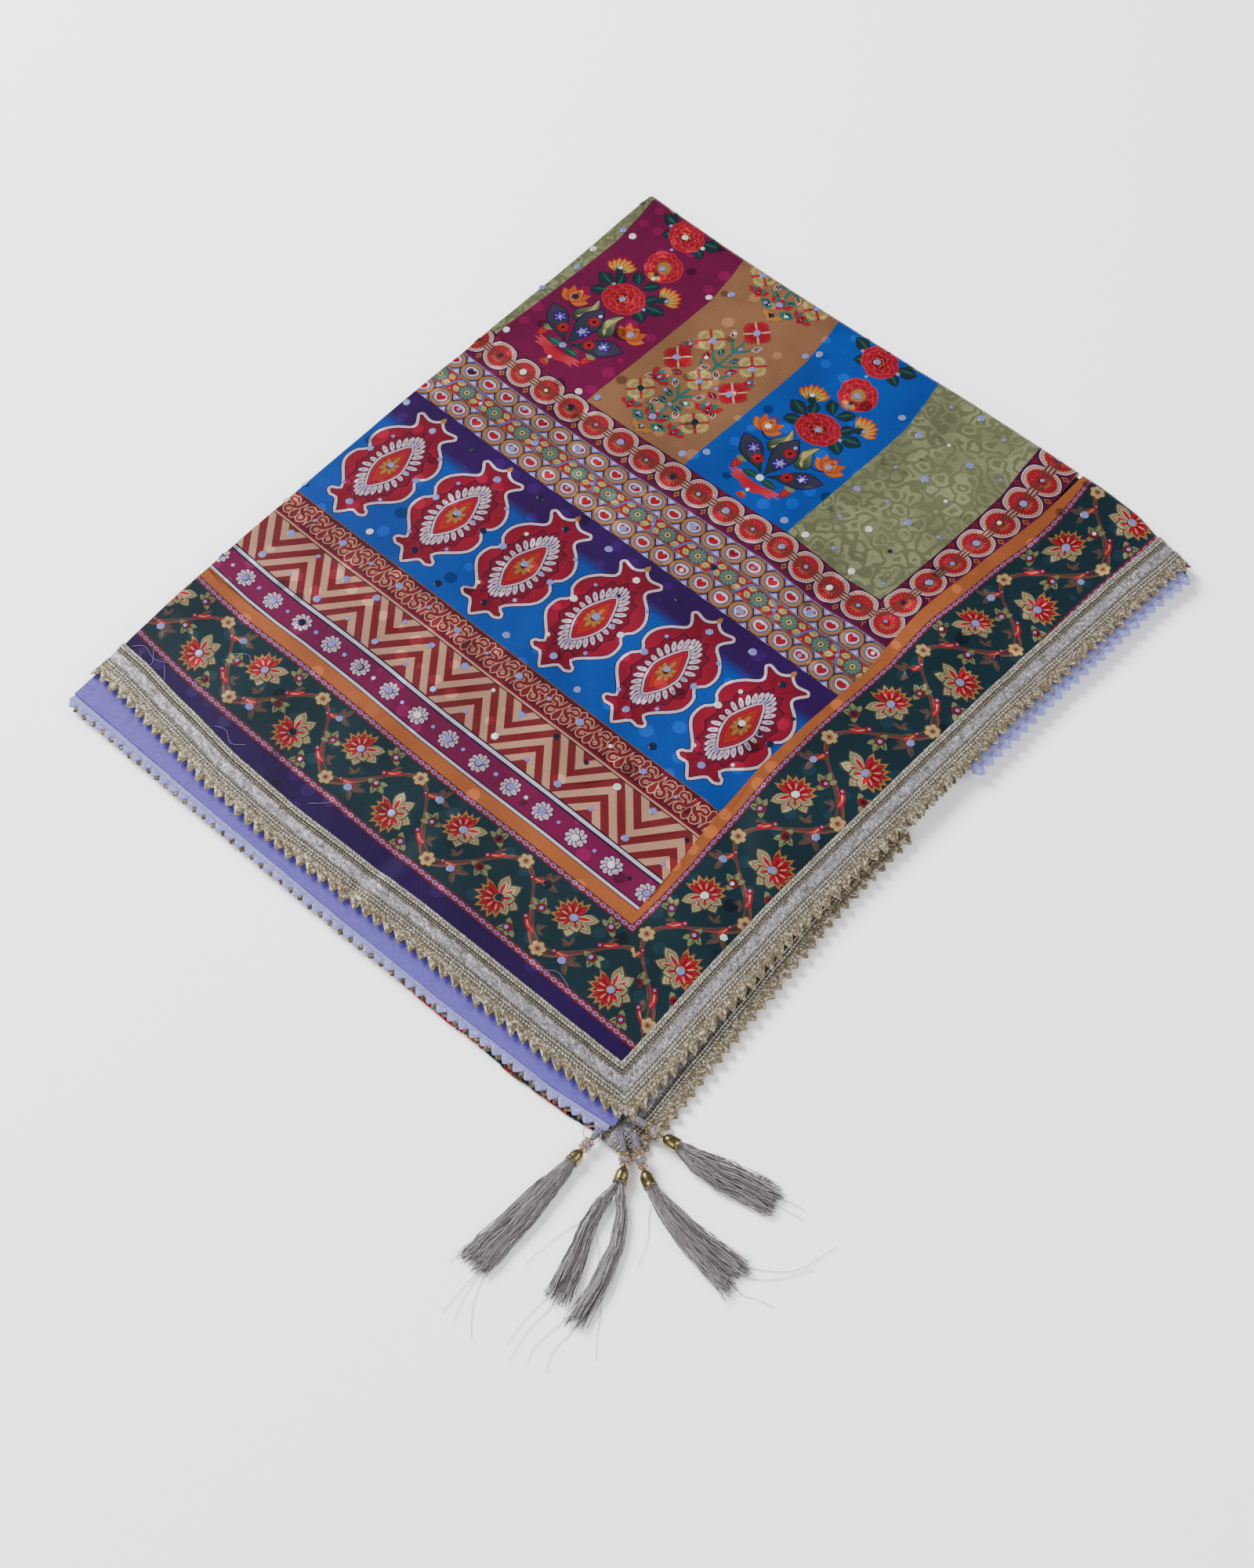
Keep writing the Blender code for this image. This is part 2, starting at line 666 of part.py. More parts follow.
def build_locks(name, columns, rows, sections):
    """A tassel's threads: every cell of a small head's face is inset and drawn out into a lock of its own."""
    path = [Vector((x, y, z)) for x, y, _, z, _ in sections]
    last = len(sections) - 1
    heads = [(path[min(k + 1, last)] - path[max(k - 1, 0)]).normalized() for k in range(last + 1)]
    sides = [Vector((-head.y, head.x, 0.0)).normalized() for head in heads]

    locks = bmesh.new()
    bmesh.ops.create_grid(locks, x_segments=columns, y_segments=rows, size=0.5)
    cells = list(locks.faces)
    places = [(point, 0, point.co.x, point.co.y, 0.0) for point in locks.verts]
    bmesh.ops.inset_individual(locks, faces=cells, thickness=0.0)
    for cell in cells:
        centre = cell.calc_center_median()
        column = int((centre.x + 0.5) * columns)
        row = int((centre.y + 0.5) * rows)
        drawn = cell
        for k in range(last + 1):
            if k:
                drawn = bmesh.ops.extrude_discrete_faces(locks, faces=[drawn])["faces"][0]
            ahead = -LOCK_END_STAGGER * lock_stagger(column, row) if k == last else 0.0
            for point in drawn.verts:
                u = centre.x + (point.co.x - centre.x) * LOCK_FILL
                v = centre.y + (point.co.y - centre.y) * LOCK_FILL
                places.append((point, k, u, v, ahead))
    for point, k, u, v, ahead in places:
        _, _, width, _, height = sections[k]
        point.co = path[k] + sides[k] * (u * width) + Vector((0, 0, v * height)) + heads[k] * ahead
    rim = [edge for edge in locks.edges if edge.is_boundary]
    back = bmesh.ops.extrude_edge_only(locks, edges=rim)["geom"]
    back_points = [item for item in back if isinstance(item, bmesh.types.BMVert)]
    for point in back_points:
        point.co -= heads[0] * HEAD_DEPTH
    back_edges = [item for item in back if isinstance(item, bmesh.types.BMEdge) and item.is_boundary]
    bmesh.ops.contextual_create(locks, geom=back_edges)
    bmesh.ops.recalc_face_normals(locks, faces=locks.faces)
    return add_object(name + "_locks", locks, "tassel_thread")


for old in list(bpy.data.objects):
    bpy.data.objects.remove(old, do_unlink=True)
PART = bpy.data.collections.new("dupatta_stole")
bpy.context.scene.collection.children.link(PART)

build_printed_top()
build_folded_stack()
build_lining()
build_end_lace()
build_side_lace()
build_second_end_lace()
build_second_side_lace()
build_third_side_lace()
for tassel, cone_start, cone_end, cap_start, cap_end in TASSELS:
    build_cone(tassel, cone_start, cone_end)
    build_bead(tassel, cone_end, cap_start)
    build_cap(tassel, cap_start, cap_end)
for tassel, columns, rows, sections in LOCKS:
    build_locks(tassel, columns, rows, sections)

# The part is moved so that its origin is the middle of its box's underside
bpy.context.view_layer.update()
corners = [made.matrix_world @ Vector(corner) for made in PART.objects for corner in made.bound_box]
low = Vector([min(corner[axis] for corner in corners) for axis in range(3)])
high = Vector([max(corner[axis] for corner in corners) for axis in range(3)])
to_origin = Matrix.Translation((-(low.x + high.x) / 2, -(low.y + high.y) / 2, -low.z))
for made in PART.objects:
    made.data.transform(to_origin)
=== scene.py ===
"""The looks of a folded dupatta stole of printed satin, with a gota lace border and four corner tassels.

Lengths are in millimetres from the cloth's own zero, near the middle of the folded cloth, until
to_frame() turns them into the frame's metres.
"""

import functools
import math
import random

import bmesh
import bpy
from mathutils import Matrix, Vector, noise
from mathutils.geometry import delaunay_2d_cdt


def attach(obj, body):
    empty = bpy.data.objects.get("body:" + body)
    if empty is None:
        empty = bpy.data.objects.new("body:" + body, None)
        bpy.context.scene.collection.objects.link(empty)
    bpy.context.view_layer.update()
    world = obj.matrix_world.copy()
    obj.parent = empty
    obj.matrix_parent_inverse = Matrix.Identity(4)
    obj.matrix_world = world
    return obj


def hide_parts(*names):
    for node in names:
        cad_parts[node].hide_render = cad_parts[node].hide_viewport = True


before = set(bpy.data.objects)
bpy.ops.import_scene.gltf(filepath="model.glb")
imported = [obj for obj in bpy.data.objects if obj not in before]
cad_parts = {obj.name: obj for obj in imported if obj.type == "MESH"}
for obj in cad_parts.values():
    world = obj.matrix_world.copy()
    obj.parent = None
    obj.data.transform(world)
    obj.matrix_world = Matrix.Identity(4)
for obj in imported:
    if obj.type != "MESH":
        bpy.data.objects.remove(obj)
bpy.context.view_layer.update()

# Where the frame's origin lies on the cloth
ORIGIN_X, ORIGIN_Y = 57.385, -68.128

# The walls, the folds' radii and legs, and the lace
CLOTH_WALL = 1.2
LAYER_GAP = 0.35
LACE_WALL = 1.3
TOP_HEIGHT = 14.0
EDGE_SINK = 2.0
EDGE_SINK_REACH = 75.0
BACK_PUFF = 1.5
PAIR_FOLD_RADIUS = 1.7
FOLD_LEG = 10.0
UNDER_LEG = 14.0
LACE_BAND = 27.0
POINT_DEPTH = 6.5

# Past this y the edges' tables aren't read
LAST_Y = 330.0

# Outline of the folded cloth: at each y, the -X fold and the inner edge of the +X lace
SIDES = (
    # y, fold_x, lace_x
    (-345.0, -250.0, 232.5),
    (-300.0, -251.0, 232.0),
    (-260.0, -253.5, 230.8),
    (-200.0, -257.5, 228.6),
    (-140.0, -260.5, 226.4),
    (-80.0, -262.5, 226.6),
    (0.0, -264.5, 228.0),
    (80.0, -266.0, 229.8),
    (130.0, -266.8, 231.0),
    (180.0, -267.2, 234.0),
    (230.0, -267.8, 236.4),
    (290.0, -269.0, 241.0),
    (330.0, -270.0, 243.0),
)

# Outline of the folded cloth: at each x, the inner edge of the -Y lace and the +Y fold
ENDS = (
    # x, lace_y, fold_y
    (-275.0, -277.0, 310.0),
    (-230.0, -278.5, 308.0),
    (-180.0, -283.5, 306.5),
    (-120.0, -289.0, 306.0),
    (-60.0, -290.0, 306.5),
    (0.0, -288.0, 307.5),
    (60.0, -285.0, 309.0),
    (120.0, -284.0, 309.0),
    (180.0, -283.5, 308.5),
    (215.0, -282.5, 306.0),
    (245.0, -281.5, 298.5),
    (290.0, -281.0, 290.0),
)

# The soft troughs (depth below 0) and ridges of the top layer, the larger ones first
CREASES = (
    # x0, y0, x1, y1, spread, depth
    (-250.0, 82.0, 100.0, 78.0, 9.0, -1.6),
    (-200.0, -131.0, 165.0, -143.0, 7.0, -1.3),
    (-150.0, -150.0, 90.0, -160.0, 12.0, 0.8),
    (160.0, -90.0, 228.0, -152.0, 9.0, -2.0),
    (168.0, -175.0, 232.0, -190.0, 10.0, 1.2),
    (176.0, 104.0, 236.0, 128.0, 9.0, -1.9),
    (16.0, -210.0, 16.0, -325.0, 6.0, -1.0),
    (28.0, -230.0, 26.0, -320.0, 7.0, 0.8),
    (-160.0, 300.0, -158.0, 120.0, 14.0, -1.1),
    (-62.0, 300.0, -60.0, 150.0, 16.0, 0.8),
    (40.0, 290.0, 36.0, 130.0, 12.0, -1.0),
    (90.0, 280.0, 95.0, 160.0, 22.0, 1.3),
    (165.0, 300.0, 150.0, 130.0, 10.0, 1.2),
    (-240.0, 10.0, -140.0, -90.0, 26.0, 0.9),
    (-60.0, 0.0, 60.0, -80.0, 24.0, -0.8),
    (-250.0, -240.0, -120.0, -262.0, 16.0, 0.9),
    (60.0, -232.0, 200.0, -245.0, 14.0, -0.8),
)

# The lilac hem of the second layer and the outer points of its lace
LINING_EDGE = (
    # x, hem_y, point_y
    (-262.0, -328.0, -338.5),
    (-100.0, -329.0, -338.0),
    (0.0, -328.5, -337.5),
    (100.0, -327.0, -335.0),
    (200.0, -323.5, -331.5),
    (262.0, -317.0, -326.0),
)

# How the print has drawn in along the length: at each y, its shift in x on the left and on the right
PRINT_SHIFTS = (
    # y, left, right
    (-204.0, 0.0, 5.0),
    (-175.0, 0.0, 8.0),
    (-100.0, 0.0, 2.0),
    (0.0, 0.0, 0.0),
    (100.0, -1.5, -2.0),
    (125.0, -2.0, -2.0),
    (150.0, -1.0, 0.0),
    (175.0, 0.0, 3.0),
    (200.0, 0.5, 5.0),
    (225.0, 1.5, 8.0),
    (250.0, 2.0, 11.0),
    (275.0, -1.5, 9.0),
    (305.0, -7.0, 5.0),
)


def smooth(t):
    """0 below 0, 1 above 1, and an even slope between."""
    t = min(1.0, max(0.0, t))
    return t * t * (3 - 2 * t)


@functools.cache
def read_table(table, key, column):
    """The column's value at key, eased between the table's rows."""
    if key <= table[0][0]:
        return table[0][column]
    for low, high in zip(table, table[1:]):
        if key <= high[0]:
            share = (key - low[0]) / (high[0] - low[0])
            return low[column] + (high[column] - low[column]) * (0.5 * share + 0.5 * smooth(share))
    return table[-1][column]


def fold_x(y):
    return read_table(SIDES, y, 1)


def side_lace_x(y):
    return read_table(SIDES, y, 2)


def end_lace_y(x):
    return read_table(ENDS, x, 1)


def fold_y(x):
    return read_table(ENDS, x, 2)


def crease_height(x, y):
    """Sum of the soft troughs and ridges at a point."""
    height = 0.0
    for x0, y0, x1, y1, spread, depth in CREASES:
        if min(abs(x - x0), abs(x - x1)) > 400:
            continue
        run_x, run_y = x1 - x0, y1 - y0
        length = math.hypot(run_x, run_y)
        along = ((x - x0) * run_x + (y - y0) * run_y) / length
        across = ((x - x0) * run_y - (y - y0) * run_x) / length
        if abs(across) > 4 * spread:
            continue
        past = max(0.0, -along, along - length)
        height += depth * math.exp(-(across**2 + 0.35 * past**2) / (2 * spread**2))
    return height


def pucker(x, y):
    """Small uneven waves of the satin."""
    broad = noise.noise(Vector((x / 34.0, y / 52.0, 0.3)))
    fine = noise.noise(Vector((x / 9.0, y / 15.0, 4.7)))
    return 0.55 * broad + 0.16 * fine


def smooth_height(x, y):
    """Height of the top layer's upper face without its creases."""
    to_end = smooth((y - (end_lace_y(x) - LACE_BAND)) / EDGE_SINK_REACH)
    to_side = smooth((side_lace_x(y) + LACE_BAND - x) / EDGE_SINK_REACH)
    sink = EDGE_SINK * (2 - to_end - to_side)
    puff = BACK_PUFF * smooth((y - 190.0) / 90.0) * to_side
    return TOP_HEIGHT - min(sink, EDGE_SINK * 1.3) + puff


# The top layer's height is worked out once at points this far apart, and read between them
RELIEF_STEP = 2.0
RELIEF_X, RELIEF_Y = (-290.0, 290.0), (-330.0, 340.0)
RELIEF_COLUMNS = round((RELIEF_X[1] - RELIEF_X[0]) / RELIEF_STEP) + 1
RELIEF_ROWS = round((RELIEF_Y[1] - RELIEF_Y[0]) / RELIEF_STEP) + 1


def relief_table():
    """Rows of (height, slope in x, slope in y)."""
    rows = []
    for row in range(RELIEF_ROWS):
        y = RELIEF_Y[0] + row * RELIEF_STEP
        xs = [RELIEF_X[0] + column * RELIEF_STEP for column in range(RELIEF_COLUMNS)]
        rows.append([smooth_height(x, y) + crease_height(x, y) + pucker(x, y) for x in xs])
    table = []
    for row in range(RELIEF_ROWS):
        below, above = rows[max(0, row - 1)], rows[min(RELIEF_ROWS - 1, row + 1)]
        line = rows[row]
        table.append(
            [
                (
                    line[k],
                    (line[min(RELIEF_COLUMNS - 1, k + 1)] - line[max(0, k - 1)]) / (2 * RELIEF_STEP),
                    (above[k] - below[k]) / (2 * RELIEF_STEP),
                )
                for k in range(RELIEF_COLUMNS)
            ]
        )
    return table


RELIEF = relief_table()


def relief(x, y):
    """Height and slopes of the top layer's upper face."""
    across = min(RELIEF_COLUMNS - 1.001, max(0.0, (x - RELIEF_X[0]) / RELIEF_STEP))
    upward = min(RELIEF_ROWS - 1.001, max(0.0, (y - RELIEF_Y[0]) / RELIEF_STEP))
    column, row = int(across), int(upward)
    s, t = across - column, upward - row
    low, high = RELIEF[row], RELIEF[row + 1]
    a, b, c, d = low[column], low[column + 1], high[column], high[column + 1]
    p, q, r, u = (1 - s) * (1 - t), s * (1 - t), (1 - s) * t, s * t
    return tuple(a[k] * p + b[k] * q + c[k] * r + d[k] * u for k in range(3))


def top_height(x, y):
    """Height of the top layer's upper face."""
    return relief(x, y)[0]


def to_frame(x, y, z):
    """A point in the frame's metres."""
    return Vector((x - ORIGIN_X, y - ORIGIN_Y, z)) / 1000


def drape_top(x, y, out=0.0):
    """Where a flat point of the top layer lies: over the top, round the -X fold and round the +Y fold."""
    turn_x = fold_x(min(y, LAST_Y)) + PAIR_FOLD_RADIUS
    depth, lay_x = -out, x
    if x < turn_x:
        arc = turn_x - x
        angle = min(math.pi, arc / PAIR_FOLD_RADIUS)
        leg = max(0.0, arc - math.pi * PAIR_FOLD_RADIUS)
        lay_x = turn_x - PAIR_FOLD_RADIUS * math.sin(angle) + leg
        depth = PAIR_FOLD_RADIUS * (1 - math.cos(angle)) - out * math.cos(angle)
        lay_x -= out * math.sin(angle)
    radius = smooth_height(lay_x, fold_y(lay_x) - 8.0) / 2
    turn_y = fold_y(lay_x) - radius
    if y <= turn_y:
        height = top_height(lay_x, y)
        height += (2 * radius - height) * smooth((y - turn_y + 40.0) / 40.0)
        return Vector((lay_x, y, height - depth))
    arc = y - turn_y
    angle = min(math.pi, arc / radius)
    leg = max(0.0, arc - math.pi * radius)
    wave = 0.25 * pucker(lay_x, y)
    reach = radius - depth + wave
    height = max(0.3 - 0.15 * out, radius + reach * math.cos(angle))
    return Vector((lay_x, turn_y - leg + reach * math.sin(angle), height))


# The print's colours, sRGB from 0 to 255
INKS = {
    "navy": (27, 10, 55),
    "black": (27, 10, 20),
    "white": (222, 192, 208),
    "paper": (218, 206, 222),
    "lavender": (150, 132, 206),
    "grey_lilac": (128, 114, 144),
    "cream": (200, 152, 126),
    "pale_yellow": (190, 172, 104),
    "ochre": (170, 118, 58),
    "yellow": (206, 148, 46),
    "brown_ink": (117, 79, 52),
    "vine": (111, 75, 64),
    "dry_leaf": (83, 68, 61),
    "brick": (124, 34, 42),
    "red": (170, 22, 42),
    "rose_light": (208, 62, 80),
    "rose_dark": (128, 10, 21),
    "orange_red": (178, 44, 34),
    "orange": (200, 104, 42),
    "tulip": (186, 84, 40),
    "crimson": (166, 22, 52),
    "crimson_dark": (124, 14, 40),
    "maroon": (88, 16, 36),
    "plum": (79, 10, 52),
    "magenta": (111, 10, 64),
    "magenta_band": (118, 14, 70),
    "brown": (144, 100, 70),
    "blue": (10, 72, 168),
    "purple": (40, 10, 75),
    "deep_purple": (49, 10, 83),
    "olive": (122, 125, 92),
    "khaki": (168, 158, 116),
    "apricot": (176, 98, 54),
    "bottle": (22, 48, 57),
    "leaf_green": (35, 64, 55),
    "leaf_light": (124, 128, 88),
    "dark_leaf": (27, 40, 52),
    "slate": (61, 52, 79),
    "teal": (28, 112, 102),
    "rosette": (66, 104, 108),
    "violet": (58, 10, 141),
}


def polar(radius, turn, x=0.0, y=0.0):
    """The point at a radius and a turn in degrees from (x, y)."""
    angle = math.radians(turn)
    return x + radius * math.cos(angle), y + radius * math.sin(angle)


def linear(channel):
    """An sRGB channel, 0 to 255, as linear light."""
    c = channel / 255
    return c / 12.92 if c <= 0.04045 else ((c + 0.055) / 1.055) ** 2.4


LINEAR_INKS = {name: tuple(linear(c) for c in rgb) for name, rgb in INKS.items()}


def blend_inks(first, second, share):
    a, b = LINEAR_INKS[first], LINEAR_INKS[second]
    return tuple(p + (q - p) * share for p, q in zip(a, b))


class Art:
    """Flat shapes, later ones over earlier ones.

    An ink is a name, or (name, name, start, end) for a blend between two points or over a radius.
    """

    def __init__(self):
        self.shapes = []

    def add(self, points, ink):
        self.shapes.append((points, ink))
        return self

    def lined(self, points, ink, line, width):
        """A shape with a line round it."""
        self.add(grow(points, width), line)
        return self.add(points, ink)

    def put(self, other, dx=0.0, dy=0.0, turn=0.0, size=1.0, mirror=False):
        """Another drawing, mirrored in x, turned, sized and moved."""
        cosine, sine = polar(1.0, turn)
        side = -1 if mirror else 1

        def move(point):
            x, y = point[0] * side * size, point[1] * size
            return (x * cosine - y * sine + dx, x * sine + y * cosine + dy)

        for points, ink in other.shapes:
            moved = [move(point) for point in points]
            if mirror:
                moved.reverse()
            if isinstance(ink, tuple):
                to = ink[3] * size if isinstance(ink[3], float) else move(ink[3])
                ink = (ink[0], ink[1], move(ink[2]), to)
            self.shapes.append((moved, ink))
        return self


def ink_at(ink, x, y):
    """The ink's colour at a point."""
    if isinstance(ink, str):
        return LINEAR_INKS[ink]
    first, second, start, end = ink
    if isinstance(end, float):
        share = math.hypot(x - start[0], y - start[1]) / end
    else:
        run_x, run_y = end[0] - start[0], end[1] - start[1]
        share = ((x - start[0]) * run_x + (y - start[1]) * run_y) / (run_x**2 + run_y**2)
    return blend_inks(first, second, smooth(share))


def oval(x, y, rx, ry, turn=0.0, n=14):
    cosine, sine = polar(1.0, turn)
    points = []
    for k in range(n):
        angle = 2 * math.pi * k / n
        px, py = rx * math.cos(angle), ry * math.sin(angle)
        points.append((x + px * cosine - py * sine, y + px * sine + py * cosine))
    return points


def disc(x, y, radius, n=14):
    return oval(x, y, radius, radius, 0.0, n)


def lobed(x, y, petals, outer, inner, turn=0.0, steps=4, squash=1.0):
    """A flower's outline with round petals."""
    points = []
    for k in range(petals * steps):
        angle = 2 * math.pi * k / (petals * steps)
        swell = abs(math.sin(angle * petals / 2)) ** 0.6
        radius = inner + (outer - inner) * swell
        angle += math.radians(turn)
        points.append((x + radius * math.cos(angle), y + squash * radius * math.sin(angle)))
    return points


def spiky(x, y, tips, outer, inner, turn=0.0, squash=1.0):
    """An outline with sharp tips."""
    points = []
    for k in range(2 * tips):
        radius = inner if k % 2 else outer
        angle = math.pi * k / tips + math.radians(turn)
        points.append((x + radius * math.cos(angle), y + squash * radius * math.sin(angle)))
    return points


def leaf(x, y, length, width, turn, bend=0.0, n=6, full=0.5):
    """A leaf from its base at (x, y), pointed at its tip; full is where it is widest."""
    cosine, sine = polar(1.0, turn)
    sides = ([], [])
    for k in range(n + 1):
        t = k / n
        half = width / 2 * math.sin(math.pi * t ** (math.log(0.5) / math.log(full)))
        along, across = t * length, bend * math.sin(math.pi * t / 2) ** 2
        for side, points in zip((-1, 1), sides):
            if side == 1 or 0 < k < n:
                px, py = along, across + side * half
                points.append((x + px * cosine - py * sine, y + px * sine + py * cosine))
    return sides[0] + sides[1][::-1]


def rounded(points, steps=3, closed=True):
    """A smooth line through the points: a Catmull-Rom spline."""
    count = len(points)
    curve = []
    for k in range(count if closed else count - 1):
        if closed:
            ends = [points[(k + j - 1) % count] for j in range(4)]
        else:
            ends = [points[min(count - 1, max(0, k + j - 1))] for j in range(4)]
        for step in range(steps):
            t = step / steps
            spot = []
            for p, q, r, s in zip(*ends):
                square, cube = 2 * p - 5 * q + 4 * r - s, 3 * q - p - 3 * r + s
                spot.append(0.5 * (2 * q + (r - p) * t + square * t**2 + cube * t**3))
            curve.append(tuple(spot))
    if not closed:
        curve.append(points[-1])
    return curve


def stroke(points, width, taper=1.0, steps=3):
    """A brush stroke along a smooth line, its end as wide as taper says."""
    line = rounded(points, steps, closed=False)
    left, right = [], []
    last = len(line) - 1
    for k, (x, y) in enumerate(line):
        x0, y0 = line[max(0, k - 1)]
        x1, y1 = line[min(last, k + 1)]
        length = math.hypot(x1 - x0, y1 - y0) or 1.0
        half = width / 2 * (1 + (taper - 1) * k / last)
        nx, ny = -(y1 - y0) / length * half, (x1 - x0) / length * half
        left.append((x + nx, y + ny))
        right.append((x - nx, y - ny))
    return right + left[::-1]


def area_of(points):
    return sum(a[0] * b[1] - b[0] * a[1] for a, b in zip(points, points[1:] + points[:1])) / 2


def grow(points, by):
    """The outline moved out."""
    sign = 1 if area_of(points) > 0 else -1
    count = len(points)
    grown = []
    for k, (x, y) in enumerate(points):
        x0, y0 = points[k - 1]
        x1, y1 = points[(k + 1) % count]
        length = math.hypot(x1 - x0, y1 - y0) or 1.0
        grown.append((x + sign * by * (y1 - y0) / length, y - sign * by * (x1 - x0) / length))
    return grown


def mirrored_outline(half):
    """A closed outline from its right half, top to bottom, with the first and last points on the axis."""
    return half + [(-x, y) for x, y in half[-2:0:-1]]


def scallop_disc():
    art = Art()
    body = [(0, 12.6), (8.6, 10.6), (12.6, 3.5), (12.4, -4), (8.8, -10), (0, -13.2)]
    edge = rounded(mirrored_outline(body), 3)
    art.add(grow(edge, 0.7), "navy").add(edge, "white")
    art.add(grow(edge, -0.9), "brick")
    art.add(grow(edge, -1.3), "cream")
    art.add(spiky(0, -0.3, 28, 10.9, 9.4), "brick")
    art.add(disc(0, -0.3, 9.3, 20), "red")
    for k in range(13):
        turn = 360 * k / 13 + 8
        petal = leaf(*polar(2.6, turn, 0, -0.3), 6.4, 1.9, turn, n=3, full=0.62)
        art.add(petal, "rose_dark" if k % 2 else "brick")
        art.add(leaf(*polar(3.8, turn, 0, -0.3), 4.4, 0.8, turn, n=3, full=0.6), "rose_light")
    for k in range(7):
        turn = 204 + 22 * k
        art.add(leaf(*polar(3.4, turn), 3.0, 1.1, turn, n=3), "ochre")
    art.add(disc(0, -0.3, 2.6, 10), "rose_dark")
    return art


def lozenge(x, y, rx, ry):
    return [(x - rx, y), (x, y - ry), (x + rx, y), (x, y + ry)]


def scallop_tile(pitch):
    """One pitch of the scallop band, centred on y = 0, with the disc at the middle."""
    art = Art()
    art.put(scallop_disc(), 0, 0)
    for side in (-0.5, 0.5):
        x = side * pitch
        art.add(lozenge(x, -11, 2.2, 3), "ochre").add(lozenge(x, -11, 1.4, 1.9), "brick")
        for dx, dy in ((-1.6, 11.5), (1.6, 11.5), (0, 13.2), (0, 9.8)):
            art.add(lozenge(x + dx, dy, 1.2, 1.2), "brick")
    for y in (-2.6, 0.0, 2.6):
        art.add(box(-pitch, y - 0.75, pitch, y + 0.75), "maroon")
        art.add(box(-pitch, y - 0.35, pitch, y + 0.35), "brown_ink")
    return art


def heart(size):
    half = [(0, 0.42), (0.45, 0.8), (0.95, 0.55), (0.95, 0.0), (0.5, -0.55), (0, -0.95)]
    return [(x * size, y * size) for x, y in rounded(mirrored_outline(half), 2)]


def ring_motif(shape):
    """An oval ring with a heart or a lozenge in it."""
    art = Art()
    for rx, ry, ink in (
        (9.9, 9.1, "navy"),
        (9.3, 8.5, "ochre"),
        (8.4, 7.6, "brown_ink"),
        (7.9, 7.1, "cream"),
        (7.3, 6.5, "brown_ink"),
        (6.7, 5.9, "grey_lilac"),
    ):
        art.add(oval(0, 0, rx, ry, 0, 20), ink)
    inner = rounded([(5.6, 1), (3, 4.4), (-3, 4.4), (-5.6, 1), (-3.4, -3.6), (0, -4.8), (3.4, -3.6)], 2)
    art.lined(inner, "paper", "navy", 0.45)
    if shape == "heart":
        art.lined(heart(3.7), "red", "maroon", 0.3)
    else:
        lips = rounded([(4.0, 0.6), (1.6, 2.3), (0, 1.7), (-1.6, 2.3), (-4.0, 0.6), (-2, -2.4), (2, -2.4)], 2)
        art.lined(lips, "red", "maroon", 0.3)
    return art


def hearts_tile(pitch):
    """Two rings of the hearts row, centred on y = 0."""
    wedges = ((5.5, 9.6, 3.2, "navy"), (4.4, 9.4, 4.4, "lavender"), (1.8, 9.2, 6.6, "paper"))
    art = Art()
    for flip in (-1, 1):
        for k in range(-1, 2):
            for wide, foot, tip, ink in wedges:
                x = k * pitch
                art.add([(x - wide, flip * foot), (x, flip * tip), (x + wide, flip * foot)], ink)
    art.put(ring_motif("heart"), -pitch / 2)
    art.put(ring_motif("lozenge"), pitch / 2)
    return art


def rosette_tile(pitch):
    """The rosette strip, centred on y = 0: three rosettes, and a ribbon over every other one."""
    art = Art()
    for x in (-pitch, 0.0, pitch):
        for dx in (-0.25, 0.25):
            for dy, size in ((-6.6, 1.5), (6.6, 1.2), (-1.5, 1.0)):
                art.add(disc(x + pitch * dx * 1.5 + 0.4 * dy, dy, size, 6), "orange")
        for side, dy, turn in ((-1, -4.6, 155), (1, -4.6, 25), (-1, 4.8, 200), (1, 4.8, -20)):
            art.lined(leaf(x + side * 6.0, dy, 7.4, 5.0, turn, n=4), "pale_yellow", "brown_ink", 0.5)
            art.add(leaf(x + side * 7.0, dy, 4.6, 1.2, turn, n=3), "leaf_light")
    arch = [(-pitch * 0.98, -9.0), (-pitch * 0.62, -6.5), (-pitch * 0.5, 2.0), (-pitch * 0.34, 6.6), (0, 7.4)]
    arch = arch + [(-x, y) for x, y in arch[-2::-1]]
    for width, ink in ((2.5, "navy"), (1.6, "lavender"), (0.7, "blue")):
        art.add(stroke(arch, width), ink)
    for x in (-pitch, 0.0, pitch):
        art.lined(lobed(x, -0.4, 12, 7.4, 6.2, 15, 2), "rosette", "navy", 0.4)
        for turn in range(0, 360, 30):
            art.add(leaf(*polar(2.2, turn, x, -0.4), 4.5, 1.3, turn, n=3), "leaf_light")
        art.lined(disc(x, -0.4, 2.5, 8), "pale_yellow", "navy", 0.4)
        art.add(disc(x, -0.4, 1.1, 6), "navy")
    return art


